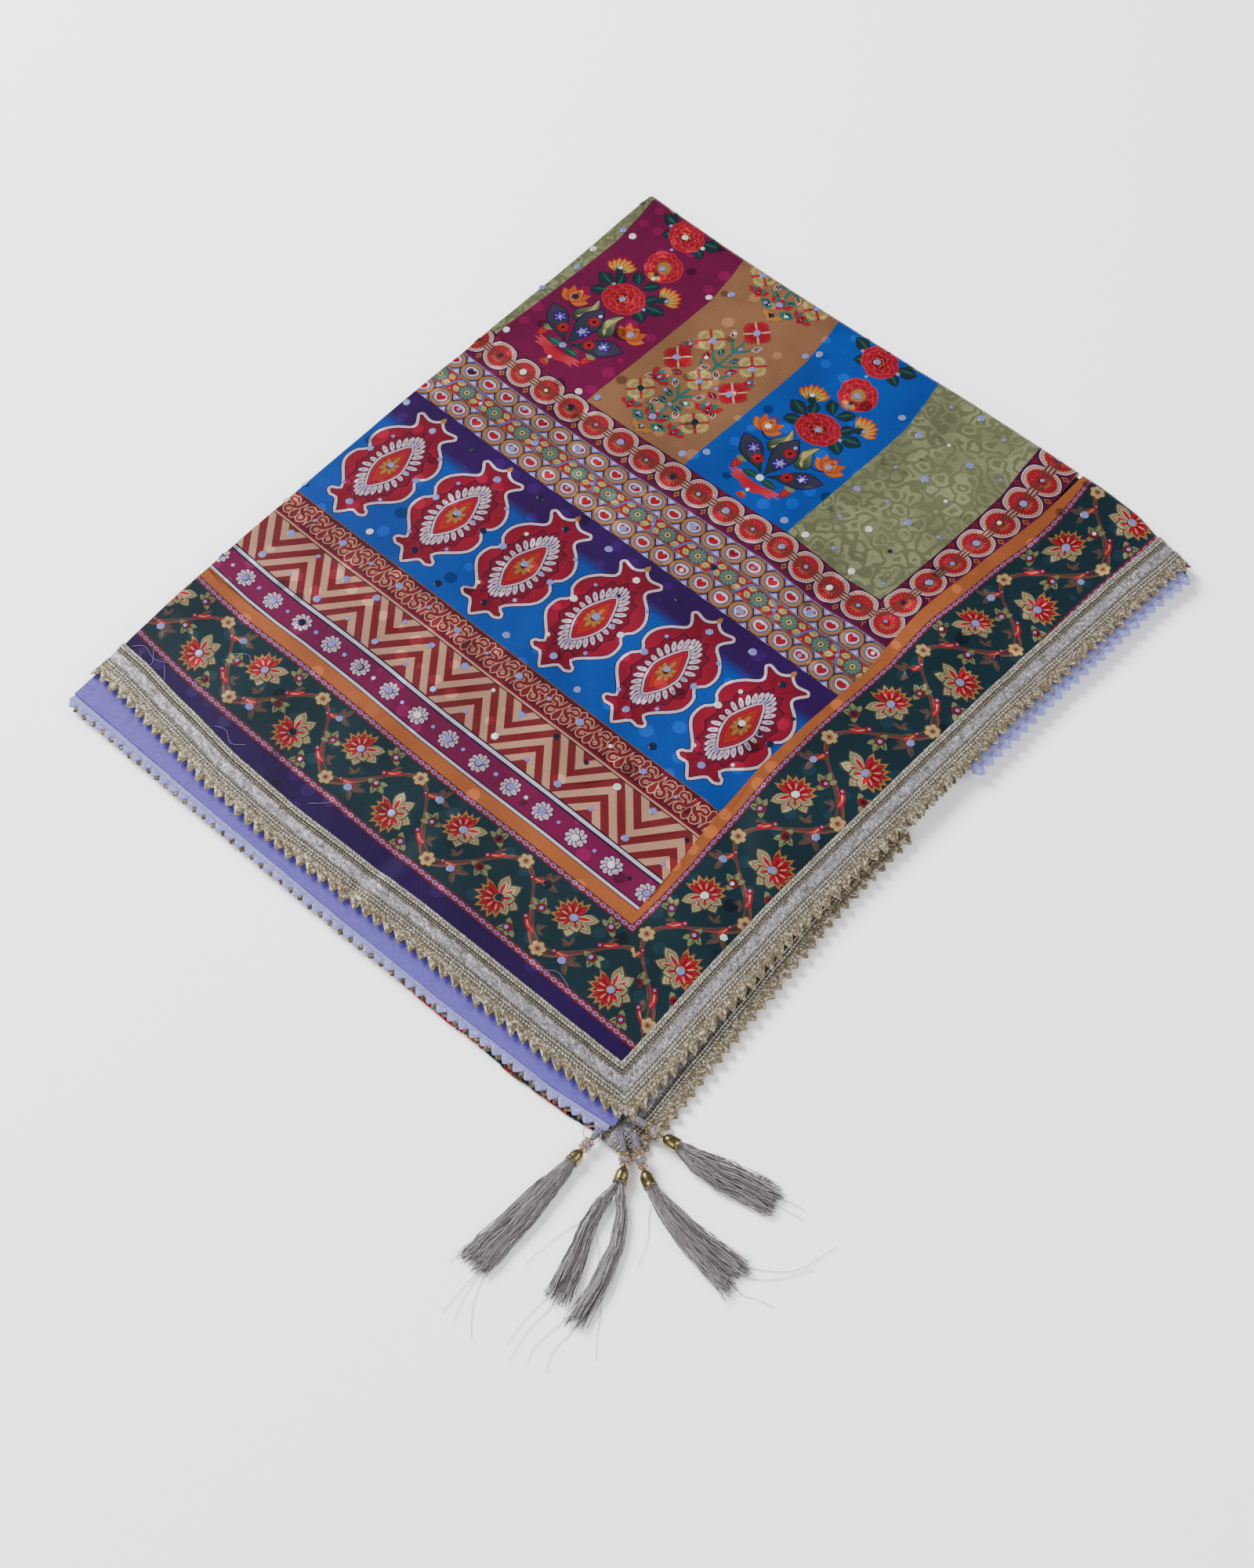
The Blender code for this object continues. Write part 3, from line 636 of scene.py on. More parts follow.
def medallion():
    """The ogee medallion, with its tip at the top of y = 0 and 118 mm high."""
    half = [
        (0, 46.5), (4, 43), (8.5, 41), (13.5, 42), (17.8, 42.6), (20.5, 38.8), (17, 34), (14.5, 29.5),
        (16.5, 25.8), (23.5, 20.6), (30, 12.5), (32.3, 4), (30.5, -4), (25.6, -9.5), (30.5, -15), (32.3, -22),
        (31.3, -30), (26, -37), (18.5, -44), (13.8, -50.4), (18.6, -53), (20.2, -57.6), (15, -61.2),
        (9.5, -60.4), (5.5, -65), (0, -70.6),
    ]  # fmt: skip
    edge = rounded(mirrored_outline(half), 2)
    art = Art()
    art.add(grow(edge, 0.7), "navy").add(edge, "white")
    art.add(grow(edge, -2.3), "navy").add(grow(edge, -2.9), ("crimson", "crimson_dark", (0, -12), 60.0))
    art.add(rounded([(-2.2, 46), (0, 49.8), (2.2, 46), (0, 43.6)], 2), "ochre")
    shadow = []
    for k in range(28):
        angle = 2 * math.pi * (k + 0.5) / 28
        reach = 1.0 if k % 2 else 0.86
        shadow.append((23.5 * reach * math.cos(angle), -12 + 40.5 * reach * math.sin(angle)))
    art.add(shadow, "navy").add([(x * 0.965, -12 + (y + 12) * 0.972) for x, y in shadow], "crimson_dark")
    for side in (-1, 1):
        art.add(leaf(side * 3, 26, 13, 3.4, 90 - side * 34, n=4), "crimson_dark")
        art.add(leaf(side * 3, -49, 11, 3.2, -90 + side * 34, n=4), "crimson_dark")
    count = 30
    for k in range(count):
        angle = 2 * math.pi * (k + 0.5) / count
        x, y = 10.2 * math.cos(angle), 23.5 * math.sin(angle)
        x *= 1 - 0.25 * abs(math.sin(angle)) ** 3
        lean = math.degrees(math.atan2(y * 0.62, x))
        length = 9.4 + 3.0 * abs(math.sin(angle)) ** 6 - 2.4 * (abs(y) < 2.6)
        finger = oval(*polar(length / 2, lean, x, -12 + y), length / 2, 1.9, lean, 10)
        art.lined(finger, "white", "navy", 0.55)
        art.add(leaf(*polar(3.2, lean, x, -12 + y), length * 0.42, 0.8, lean, n=2), "navy")
    eye_half = [(0, 24.5), (6.2, 14.5), (10.2, 4), (10.8, -2), (8.6, -11.5), (4.2, -19.5), (0, -24.5)]
    eye = [(x, y - 12) for x, y in rounded(mirrored_outline(eye_half), 2)]
    art.add(grow(eye, 1.7), "navy").add(grow(eye, 1.1), "white").add(grow(eye, -0.4), "navy")
    art.add(grow(eye, -0.9), ("orange_red", "crimson", (0, -12), 19.0))
    art.lined(grow(eye, -3.6), ("red", "orange_red", (0, -12), 14.0), "crimson_dark", 0.5)
    for k in range(8):
        angle = 45 * k + 90
        length = (12.0, 8.2, 6.6, 7.6, 9.6, 7.6, 6.6, 8.2)[k]
        art.lined(leaf(0, -12.5, length, 3.2, angle, n=5, full=0.62), "ochre", "brown_ink", 0.35)
    art.add(disc(0, -12.5, 2.2, 8), "maroon")
    return art


def scroll_tile(pitch):
    """One palmette of the scroll band and half of each inverted neighbour, centred on y = 0."""
    unit = Art()
    curl = [(0, -8.5), (1.4, -3), (4.5, 0.5), (8.2, 1.6), (9.2, 5.2), (6.2, 7.2), (4.2, 4.9)]
    hook = [(4.6, 0.2), (6.4, -3.2), (10.6, -3.2), (11.6, -6.6), (8.4, -7.6)]
    for side in (-1, 1):
        for path, width, taper, ink in (
            (hook, 3.9, 0.75, "cream"),
            (curl, 4.4, 0.8, "cream"),
            (hook, 2.5, 0.6, "brick"),
            (curl, 3.0, 0.65, "brick"),
        ):
            unit.add(stroke([(side * x, y) for x, y in path], width, taper), ink)
    bud = rounded([(0, 9.4), (2.6, 6.2), (1.7, 2.4), (0, -1.5), (-1.7, 2.4), (-2.6, 6.2)], 2)
    unit.lined(bud, "brick", "cream", 0.8)
    art = Art()
    for k in (-1, 0, 1):
        art.put(unit, k * pitch, 0.4)
    for k in (-0.5, 0.5):
        art.put(unit, k * pitch, -0.4, turn=180)
    return art


def daisy():
    art = Art()
    for turn in range(18, 360, 36):
        base = polar(4.4, turn)
        art.lined(oval(*base, 3.2, 1.9, turn, 10), "white", "navy", 0.6)
        art.add(leaf(*base, 2.0, 0.7, turn, n=2), "magenta_band")
    art.lined(disc(0, 0, 2.7, 12), "lavender", "navy", 0.6)
    return art


def braid_tile(pitch):
    """One bead of the narrow braid, 4.6 mm wide, centred on y = 0."""
    art = Art()
    art.lined(oval(0, 0, 2.35, 1.55, 0, 10), "lavender", "navy", 0.35)
    art.add(oval(0, 0, 1.35, 0.85, 0, 8), "red")
    for side in (-1, 1):
        art.add(disc(side * pitch / 2, 0, 0.7, 6), "ochre")
    return art


def vine_flower():
    """The large border flower: long pale petals on one side, a ragged red fan on the other."""
    art = Art()
    for turn, length in ((70, 17), (108, 18), (8, 15), (-24, 13.5), (40, 11)):
        for longer, width, n, ink in (
            (1.2, 9.2, 6, "dry_leaf"),
            (0, 7.8, 6, "khaki"),
            (-1.4, 6.4, 5, "leaf_light"),
            (-3.4, 4.2, 5, "cream"),
        ):
            art.add(leaf(0, 0, length + longer, width, turn, n=n, full=0.6), ink)
        art.add(leaf(*polar(2.5, turn), length * 0.55, 2.5, turn, n=4), "red")
    for ring, ink in ((17.2, "vine"), (16.0, "ochre"), (13.6, "brick"), (11.6, "red")):
        for k in range(8):
            art.add(leaf(0, 0, ring - 1.4 * (k % 2), 5.0, 158 + 21 * k, n=4, full=0.55), ink)
    for turn in (168, 206, 244, 282):
        art.add(leaf(*polar(2.5, turn), 8.0, 1.7, turn, n=3), "rose_dark")
        art.add(leaf(*polar(4, turn + 19), 6.0, 1.3, turn + 19, n=3), "cream")
    art.lined(disc(0, 0, 3.3, 12), "ochre", "maroon", 0.7)
    return art


def small_six():
    """The small yellow border flower."""
    art = Art()
    art.lined(lobed(0, 0, 6, 5.4, 3.9, 0, 4), "pale_yellow", "brown_ink", 0.7)
    art.add(lobed(0, 0, 6, 4.0, 2.8, 0, 3), "cream")
    art.lined(disc(0, 0, 1.7, 8), "ochre", "brown_ink", 0.5)
    art.add(spiky(0, 0, 5, 1.4, 0.6), "navy")
    return art


def bud_spray(ink="red"):
    """A red bud on a small branch."""
    art = Art()
    art.add(leaf(0, 0, 13.5, 4.4, 0, 1.0, 5, 0.45), ink)
    art.add(leaf(1.5, 0, 7.5, 1.3, 4, n=3), "cream")
    art.add(leaf(7, 0.8, 5.5, 2.2, 24, n=3), "rose_light")
    art.add(disc(0, 0, 2.3, 8), "rose_dark")
    art.add(disc(-0.3, 0, 1.1, 6), "lavender")
    return art


def green_spray():
    """Three small serrated leaves round a berry."""
    art = Art()
    for turn, length in ((100, 9.5), (145, 8.5), (40, 8.0), (-70, 7.0)):
        art.add(leaf(0, 0, length, 4.6, turn, 1.2, 5), "leaf_light")
        art.add(leaf(1, 1, length * 0.7, 1.0, turn, 1.0, 3), "leaf_green")
    art.lined(disc(0, 0, 3.0, 10), "rose_dark", "dry_leaf", 0.6)
    art.add(disc(0.3, 0.3, 1.5, 8), "navy")
    return art


def curled_leaf():
    art = Art()
    for turn, length, bend in ((28, 12.5, 3.4), (-10, 10.5, -2.2), (62, 8.5, 2.0)):
        art.add(leaf(0, 0, length, 4.6, turn, bend, 6), "dry_leaf")
        art.add(leaf(1.5, 0.5, length * 0.75, 1.1, turn, bend * 0.8, 4), "vine")
    return art


def vine_tile(pitch):
    """One wave of the border's vine. x runs along the border and y from -31 to 31 across it."""
    art = Art()

    def wave(x, lift):
        return x, 21.0 * math.cos(2 * math.pi * x / pitch) * (1 - lift * 0.09) + lift * 0.8

    steps = [0.1 * k * pitch for k in range(-12, 13)]
    for lift, ink, width in ((-1, "vine", 2.0), (1, "dry_leaf", 1.9), (0, "brick", 0.7)):
        art.add(stroke([wave(x, lift) for x in steps], width, 1.0, 2), ink)
    unit = Art()
    for x, y, turn, size, mirror in (
        (-36.0, -6.0, 130.0, 0.62, False),
        (-20.0, 15.0, 200.0, 0.62, True),
        (14.0, 18.0, -50.0, 0.62, False),
        (31.0, 2.0, -110.0, 0.62, True),
        (38.0, -12.0, 20.0, 0.62, False),
        (20.0, 18.0, 24.0, 1.0, False),
        (-32.0, -17.0, -20.0, 1.0, False),
    ):
        unit.put(curled_leaf(), x, y, turn, size, mirror)
    for x, y, turn, ink, size in (
        (-22.0, 8.0, 32.0, "red", 1.0),
        (27.0, -9.0, -40.0, "red", 1.0),
        (11.0, 15.5, 8.0, "orange_red", 0.8),
        (-41.0, -15.5, 8.0, "orange_red", 0.8),
    ):
        unit.put(bud_spray(ink), x, y, turn, size)
    for x, y, turn in ((-25.0, 22.0, 20.0), (-20.0, -2.5, -120.0), (24.0, -23.0, 180.0), (30.0, 2.5, 60.0)):
        unit.put(green_spray(), x, y, turn)
    unit.put(vine_flower(), 5.0, -11.5)
    unit.put(vine_flower(), 50.0, 11.0, -75, 0.94)
    unit.put(small_six(), 0.0, 21.5)
    unit.put(small_six(), 48.0, -21.5)
    for k in (-1, 0, 1):
        art.put(unit, k * pitch)
    return art


def both_sides(art, make, x, y, turn=0.0, size=1.0):
    """The same drawing on both sides of the axis."""
    art.put(make(), x, y, turn, size)
    art.put(make(), -x, y, -turn, size, True)


def rose(rx, ry, light):
    """A full-blown rose seen from the front: three rounds of overlapping petals, each a little different."""
    art = Art()
    dice = random.Random(rx * ry)
    rounds = ((9, 0.66, 0.40, "red"), (7, 0.44, 0.34, "red"), (5, 0.22, 0.26, "rose_dark"))
    for count, reach, size, tone in rounds:
        for k in range(count):
            turn = 360 / count * (k + dice.uniform(-0.18, 0.18)) + 20 * reach
            angle = math.radians(turn)
            x, y = rx * reach * math.cos(angle), ry * reach * math.sin(angle)
            wide, deep = rx * size * dice.uniform(0.95, 1.2), ry * size * dice.uniform(0.8, 0.95)
            cosine, sine = math.cos(angle), math.sin(angle)
            petal = []
            for px, py in lobed(0, 0, 3, 1.0, 0.86, dice.uniform(0, 120), 5):
                along, across = px * deep, py * wide
                petal.append((x + along * cosine - across * sine, y + along * sine + across * cosine))
            far = (x + deep * cosine, y + deep * sine)
            near = (x - deep * cosine, y - deep * sine)
            art.add(grow(petal, 0.45), light)
            art.add(petal, (tone, "rose_dark", far, near))
            for lean in (-14, 6, 20):
                start = polar(-0.2 * deep, turn + lean, x, y)
                art.add(leaf(*start, deep * 0.9, 0.5, turn + lean, n=2), "rose_light")
    art.add(oval(0, 0, rx * 0.2, ry * 0.2, 0, 10), "rose_dark")
    for k in range(8):
        angle = math.radians(45 * k)
        art.add(disc(rx * 0.2 * math.cos(angle), ry * 0.2 * math.sin(angle), 0.7, 5), "yellow")
    return art


def broad_leaf():
    art = Art()
    art.add(leaf(-0.5, 0, 19.5, 12.5, 0, 1.2, 7, 0.55), "navy")
    art.add(leaf(0, 0, 18.5, 11.0, 0, 1.2, 7, 0.55), "bottle")
    art.add(leaf(1, 0.2, 16.0, 4.2, 2, 1.6, 5), "leaf_green")
    art.add(leaf(1, 0.2, 16.0, 0.8, 2, 1.4, 4), "teal")
    return art


def plume_leaf():
    """The long slate leaf of the bouquet, striped along its length."""
    art = Art()
    art.add(leaf(-0.5, 0, 43, 18.5, 0, 3.0, 9, 0.62), "navy")
    art.add(leaf(0, 0, 41.5, 16.6, 0, 3.0, 9, 0.62), ("dark_leaf", "slate", (0.0, 0.0), (38.0, 0.0)))
    for side in (-5.2, -2.2, 0.8, 3.8, 6.6):
        art.add(leaf(3, side * 0.2, 33, 1.0, side * 1.1, 2.4 + side * 0.3, 5), "leaf_green")
    return art


def striped_leaf():
    """A pale leaf that curls over at its tip."""
    art = Art()
    body = [(0, 0), (5.5, 2.5), (7.5, 8.5), (4.0, 15), (2.5, 21), (4.5, 27), (0.5, 25), (-4.5, 18), (-6.0, 9)]
    body = rounded(body + [(-3.5, 2.5)], 2)
    art.add(grow(body, 0.6), "navy").add(body, ("leaf_light", "leaf_green", (0.0, 22.0), (0.0, 0.0)))
    lip = [(-4.8, 17), (-1.0, 19.5), (1.5, 24), (4.2, 26.6), (1.0, 17), (0.4, 9.5), (3.0, 3.0), (-0.8, 5.5)]
    art.add(rounded(lip + [(-2.8, 11)], 2), "pale_yellow")
    for k in range(4):
        art.add(leaf(-3.8 + 1.9 * k, 4 + k, 9 - k, 0.8, 92 - 4 * k, n=3), "leaf_green")
    return art


def violet_flower():
    art = Art()
    art.lined(lobed(0, 0, 6, 5.2, 3.4, 10, 3), "violet", "navy", 0.5)
    for turn in range(40, 400, 60):
        art.add(leaf(*polar(1.4, turn), 3.4, 1.2, turn, n=2), "lavender")
    art.add(disc(0, 0, 1.5, 8), "paper")
    return art


def red_rosette():
    art = Art()
    art.lined(lobed(0, 0, 7, 4.8, 3.6, 0, 3), "red", "rose_dark", 0.5)
    art.lined(disc(0, 0, 1.6, 8), "black", "orange_red", 0.5)
    return art


def tulip():
    art = Art()
    for turn, length, width, ink in (
        (150, 15, 8.5, "orange"),
        (30, 15, 8.5, "orange"),
        (120, 17.5, 8, "tulip"),
        (60, 17.5, 8, "tulip"),
        (90, 15.5, 11, "orange"),
    ):
        art.lined(leaf(0, -6, length, width, turn, 0, 6, 0.45), ink, "brick", 0.45)
    for turn in (75, 90, 105):
        art.add(leaf(0, 0.5, 7.5, 0.8, turn, n=2), "brick")
    for x in (-2.4, 0, 2.4):
        art.add(oval(x, 10.4, 0.8, 1.5, 0, 6), "rose_dark")
    return art


def strawberry():
    art = Art()
    body = rounded([(0, 3.2), (3.1, 1.2), (2.4, -3.6), (0, -6.8), (-2.4, -3.6), (-3.1, 1.2)], 2)
    art.lined(body, "red", "rose_dark", 0.4)
    for turn in (38, 64, 90, 116, 142):
        art.add(leaf(0, 1.4, 6.4, 2.1, turn, n=3), "leaf_light")
    for x, y in ((-1.2, -0.6), (1.0, -1.4), (-0.3, -3.4)):
        art.add(disc(x, y, 0.45, 5), "yellow")
    return art


def shell_flower():
    """A fan of orange, yellow and green stripes."""
    art = Art()
    for k in range(7):
        turn, shorter = 42 + 16 * k, abs(k - 3)
        outer = "orange_red" if k % 2 else "tulip"
        art.add(leaf(0, -7.5, 18.5 - shorter * 0.7, 6.2, turn, 0, 5, 0.66), outer)
        art.add(leaf(0, -7.5, 16.6 - shorter * 0.7, 4.6, turn, 0, 5, 0.66), "yellow")
        art.add(leaf(0, -7.5, 13.2 - shorter * 0.5, 2.4, turn, 0, 4, 0.7), "pale_yellow")
        art.add(leaf(0, -7.5, 8.6, 1.3, turn, 0, 3, 0.7), "bottle")
    art.add(leaf(0, -9.5, 9.0, 7.0, 90, 0, 4, 0.45), "bottle")
    return art


def bouquet_of_roses():
    """The tall bouquet of the magenta and the blue block, with its foot at y = 0."""
    art = Art()
    for turn in (58, 74, 90, 106, 122):
        art.add(leaf(0, -1, 7.4, 3.0, turn + 180, n=4), "orange_red" if turn % 4 else "yellow")
        art.add(leaf(0, -1, 4.6, 1.6, turn + 180, n=3), "leaf_light")
    splash = [(0, 10.5), (7, 11), (16, 13), (24, 12.5), (18, 10.4), (25, 9), (17, 7.4), (20, 4.6), (11, 4.6)]
    splash = mirrored_outline(splash + [(5, 1.5), (0, 2.4)])
    art.add(rounded(splash, 2), ("red", "rose_light", (0.0, 8.0), 26.0))
    for side in (-1, 1):
        art.add(leaf(0, 16, 16.5, 7.0, 90 - side * 88, side * -1.4, 6), "leaf_green")
        art.add(leaf(0, 16, 16.5, 1.0, 90 - side * 88, side * -1.0, 4), "teal")
        stem = [(side * 3, 20), (side * 16, 26), (side * 23.5, 23)]
        art.add(stroke(stem, 0.9), "navy")
        stem = [(side * 12, 62), (side * 21, 50), (side * 30, 53)]
        art.add(stroke(stem, 1.1), "navy")
    both_sides(art, strawberry, 23.0, 18.0, 0)
    both_sides(art, plume_leaf, 2.0, 21.0, 27)
    both_sides(art, striped_leaf, 13.0, 42.0, 8)
    art.put(plume_leaf(), 0, 18, 90, 1.12)
    both_sides(art, tulip, 30.0, 59.5, 0)
    both_sides(art, violet_flower, 23.5, 36.5)
    both_sides(art, red_rosette, 14.0, 30.0)
    art.put(violet_flower(), 1.0, 37.0, 0, 1.15)
    art.put(red_rosette(), 0.0, 50.0, 0, 1.0)
    both_sides(art, broad_leaf, 16.0, 88.0, 8)
    both_sides(art, broad_leaf, 12.0, 90.0, 52, 0.8)
    both_sides(art, broad_leaf, 14.0, 84.0, -42, 0.9)
    both_sides(art, broad_leaf, 1.0, 101.0, 42, 0.85)
    both_sides(art, shell_flower, 25.0, 107.0, -22)
    art.put(rose(19.2, 15.4, "rose_light"), 0, 83.0)
    art.put(rose(17.0, 15.6, "rose_light"), 1, 129.0)
    art.lined(disc(1, 129, 6.2, 14), "ochre", "brick", 0.5)
    art.put(shell_flower(), 1, 117.0, 180, 0.55)
    both_sides(art, broad_leaf, 12.0, 169.0, 10)
    both_sides(art, broad_leaf, 8.0, 164.0, -40, 0.85)
    both_sides(art, shell_flower, 22.0, 184.0, -10, 0.9)
    art.put(rose(16.4, 15.4, "rose_light"), -2, 166.0)
    art.put(broad_leaf(), -2, 184.0, 60, 0.8)
    art.put(broad_leaf(), -2, 184.0, 120, 0.8)
    art.put(rose(17.0, 15.0, "rose_light"), 0, 206.0)
    return art


def fringed_flower(yellow):
    """A flower of four serrated fans with a narrow cross between them."""
    art = Art()
    ground, cross = ("pale_yellow", "red") if yellow else ("red", "cream")
    line, vein = ("brown_ink", "brown_ink") if yellow else ("maroon", "rose_dark")
    for turn in range(0, 360, 90):
        fan = [polar(1.5, turn)]
        for step in range(13):
            reach = (13.0 if step % 2 else 10.8) - 2.6 * (abs(step - 6) / 6) ** 2
            fan.append(polar(reach, turn - 37 + 37 / 6 * step))
        art.add(grow(fan, 0.45), line).add(fan, ground)
        for lean in (-28, -14, 0, 14, 28):
            art.add(leaf(*polar(3.4, turn + lean), 7.2, 0.9, turn + lean, n=2), vein)
    for k in range(4):
        art.lined(leaf(0, 0, 12.2, 2.0, 45 + 90 * k, 0, 5, 0.6), cross, line, 0.25)
    art.lined(disc(0, 0, 2.6, 10), cross, line, 0.3)
    return art


def eyed_leaf(ink="teal"):
    """A leaf with a dark heart and pale dots."""
    art = Art()
    art.add(leaf(-0.4, 0, 12.6, 8.4, 0, 1.4, 6, 0.5), "brown_ink")
    art.add(leaf(0, 0, 11.8, 7.2, 0, 1.4, 6, 0.5), ink)
    art.add(leaf(2.2, 0.4, 7.8, 4.2, 2, 0.8, 5, 0.5), "black")
    for x in (4.0, 6.0, 8.0):
        art.add(disc(x, 0.8, 0.62, 5), "paper")
    return art


def winged_bud():
    """A red bud with teal wings."""
    art = Art()
    petals = ((150, 11, "red"), (96, 9.5, "cream"), (30, 11, "red"), (62, 9.5, "teal"), (124, 9, "teal"))
    for turn, length, ink in petals:
        art.lined(leaf(0, -3.4, length, 5.2, turn, 0, 5, 0.6), ink, "brown_ink", 0.35)
    art.lined(leaf(0, -6.5, 11.5, 6.4, 90, 0, 5, 0.45), "red", "maroon", 0.35)
    art.add(leaf(0, -4.6, 6.0, 2.6, 90, 0, 4, 0.5), "black")
    art.add(disc(0, -1.5, 0.7, 5), "paper")
    return art


def bouquet_on_stem():
    """The spreading plant of the brown block, with its foot at y = 0."""
    art = Art()
    half = [(0, 4), (4.5, 2.6), (10, 3.6), (7.5, -1.6), (2.4, -3.6), (0, -7)]
    art.add(grow(rounded(mirrored_outline(half), 2), 0.6), "brown_ink")
    art.add(rounded(mirrored_outline(half), 2), "ochre")
    art.add([(-3.4, 1.2), (0, -2.6), (3.4, 1.2), (0, 2.4)], "black")
    art.add(disc(0, 0.5, 0.7, 5), "paper")
    art.add(stroke([(0, 14), (0.6, 60), (0, 116)], 3.4, 0.7), "brown_ink")
    for side in (-1, 1):
        for x0, y0, x1, y1, x2, y2 in (
            (0, 16, 8, 22, 14, 21),
            (0, 40, 9, 50, 17, 52),
            (0, 66, 9, 74, 14, 84),
            (0, 84, 10, 90, 16, 102),
            (0, 102, 6, 108, 11, 117),
        ):
            branch = [(side * x0, y0), (side * x1, y1), (side * x2, y2)]
            art.add(stroke(branch, 3.0, 0.7), "brown_ink").add(stroke(branch, 2.1, 0.7), "teal")
    art.add(stroke([(0, 14), (0.6, 60), (0, 116)], 2.4, 0.7), "teal")
    both_sides(art, eyed_leaf, 3.5, 7.0, 2, 1.1)
    both_sides(art, eyed_leaf, 4.0, 13.0, 52, 0.95)
    both_sides(art, winged_bud, 22.0, 13.5, -12, 0.95)
    for x, y, turn, ink in (
        (3.0, 38.0, 8.0, "teal"),
        (8.0, 47.0, 34.0, "cream"),
        (12.0, 22.0, 100.0, "cream"),
        (34.0, 40.0, 118.0, "cream"),
        (2.0, 30.0, 8.0, "teal"),
        (9.0, 72.0, 118.0, "cream"),
        (4.0, 92.0, 46.0, "teal"),
        (9.0, 112.0, 48.0, "cream"),
        (13.0, 60.0, -20.0, "red"),
        (9.0, 82.0, 40.0, "red"),
    ):
        both_sides(art, lambda ink=ink: eyed_leaf(ink), x, y, turn, 0.85)
    art.put(winged_bud(), 0, 15.0, 0, 1.05)
    both_sides(art, winged_bud, 24.5, 47.0, 24, 1.15)
    both_sides(art, winged_bud, 31.0, 86.0, -58, 0.8)
    both_sides(art, lambda: fringed_flower(True), 27.0, 29.0)
    both_sides(art, lambda: fringed_flower(False), 28.0, 70.5)
    both_sides(art, lambda: fringed_flower(True), 21.0, 100.5)
    art.put(fringed_flower(True), 0, 64.0, 0, 0.92)
    art.put(fringed_flower(False), 1, 129.0)
    return art


# How the rows of the print sag: at each x, their shift in y at y = -270, -190 and 100
PRINT_DROPS = (
    # x, low row, middle row, high row
    (-270.0, 6.0, 3.5, 1.0),
    (-225.0, 2.5, 0.2, -0.6),
    (-200.0, 0.5, -0.8, -1.2),
    (-150.0, -1.0, 0.5, -2.0),
    (-100.0, -1.5, 0.5, -1.6),
    (-50.0, -1.0, -1.0, 0.2),
    (0.0, -1.5, -1.0, 1.6),
    (42.0, -0.5, -0.4, 3.6),
    (69.0, 0.0, 0.0, 1.0),
    (95.0, 0.0, 0.0, -1.0),
    (130.0, 0.0, 0.0, 1.0),
    (230.0, 0.0, 0.0, 0.0),
)

# The side border: at each y, the left edges of its orange strip, inner braid, green ground and outer braid
SIDE_PRINT = (
    # y, orange, braid, green, outer braid
    (-204.0, 166.0, 170.2, 175.0, 233.0),
    (-175.0, 165.0, 171.0, 175.4, 232.0),
    (-150.0, 162.0, 169.0, 173.2, 231.0),
    (-100.0, 156.0, 165.0, 169.8, 229.5),
    (-50.0, 153.0, 161.5, 166.0, 228.5),
    (0.0, 154.0, 161.0, 165.2, 229.0),
    (50.0, 157.0, 164.0, 168.2, 230.0),
    (75.0, 158.0, 165.0, 169.0, 230.0),
    (100.0, 153.5, 163.0, 167.6, 229.5),
    (125.0, 153.0, 163.0, 167.4, 229.5),
    (150.0, 155.0, 166.0, 170.6, 231.0),
    (175.0, 158.0, 168.0, 172.2, 231.0),
    (200.0, 160.0, 170.0, 174.6, 231.5),
    (225.0, 163.0, 174.0, 178.2, 232.5),
    (250.0, 166.0, 175.0, 180.0, 234.5),
    (275.0, 165.0, 174.0, 178.6, 236.0),
    (305.0, 161.0, 171.0, 175.4, 237.5),
)

# The left edge of the scallop band that runs up beside the olive block
SCALLOP_EDGE = (
    # y, x
    (113.0, 125.5),
    (125.0, 127.0),
    (150.0, 128.5),
    (175.0, 130.0),
    (200.0, 131.0),
    (225.0, 132.0),
    (250.0, 132.5),
    (275.0, 129.0),
    (305.0, 126.0),
)

# Where each repeat of the vine starts along the side border
VINE_REPEATS = (
    # repeat, y
    (-1.0, -303.0),
    (0.0, -203.0),
    (1.0, -104.5),
    (2.0, -2.0),
    (3.0, 101.0),
    (4.0, 188.0),
    (5.0, 299.0),
    (6.0, 397.0),
)

# The line between the end border and the side border
BORDER_JOIN = (
    # x, y
    (166.0, -194.0),
    (170.0, -204.0),
    (240.0, -269.0),
    (300.0, -325.0),
)

ORANGE_LEFT, SCALLOP_LEFT, FIELD_FOOT, BANDS_FOOT = 155.0, 127.0, 113.0, -194.0
VINE_PITCH = 98.0
VINE_START = -210.0


def between(table, key, column=1):
    """The column's value at key on straight lines between the table's rows, going on past its ends."""
    for low, high in zip(table, table[1:]):
        if key <= high[0] or high is table[-1]:
            share = (key - low[0]) / (high[0] - low[0])
            return low[column] + (high[column] - low[column]) * share


def sag(x, y):
    """How far the print's rows have sunk at a point."""
    low, middle, high = (read_table(PRINT_DROPS, x, column) for column in (1, 2, 3))
    if y < -190:
        return middle + (low - middle) * min(1.0, (-190 - y) / 80)
    if y < -100:
        return middle * (-100 - y) / 90
    return high * smooth((y - 20) / 80) * smooth((220 - y) / 90)


def row_shift(x, y):
    """How far the print has been drawn sideways at a point."""
    left, right = read_table(PRINT_SHIFTS, y, 1), read_table(PRINT_SHIFTS, y, 2)
    return left + (right - left) * smooth((x - 60) / 110)


def place_rows(x, y):
    """From the print's rows to the cloth."""
    return x + row_shift(x, y), y + sag(x, y)


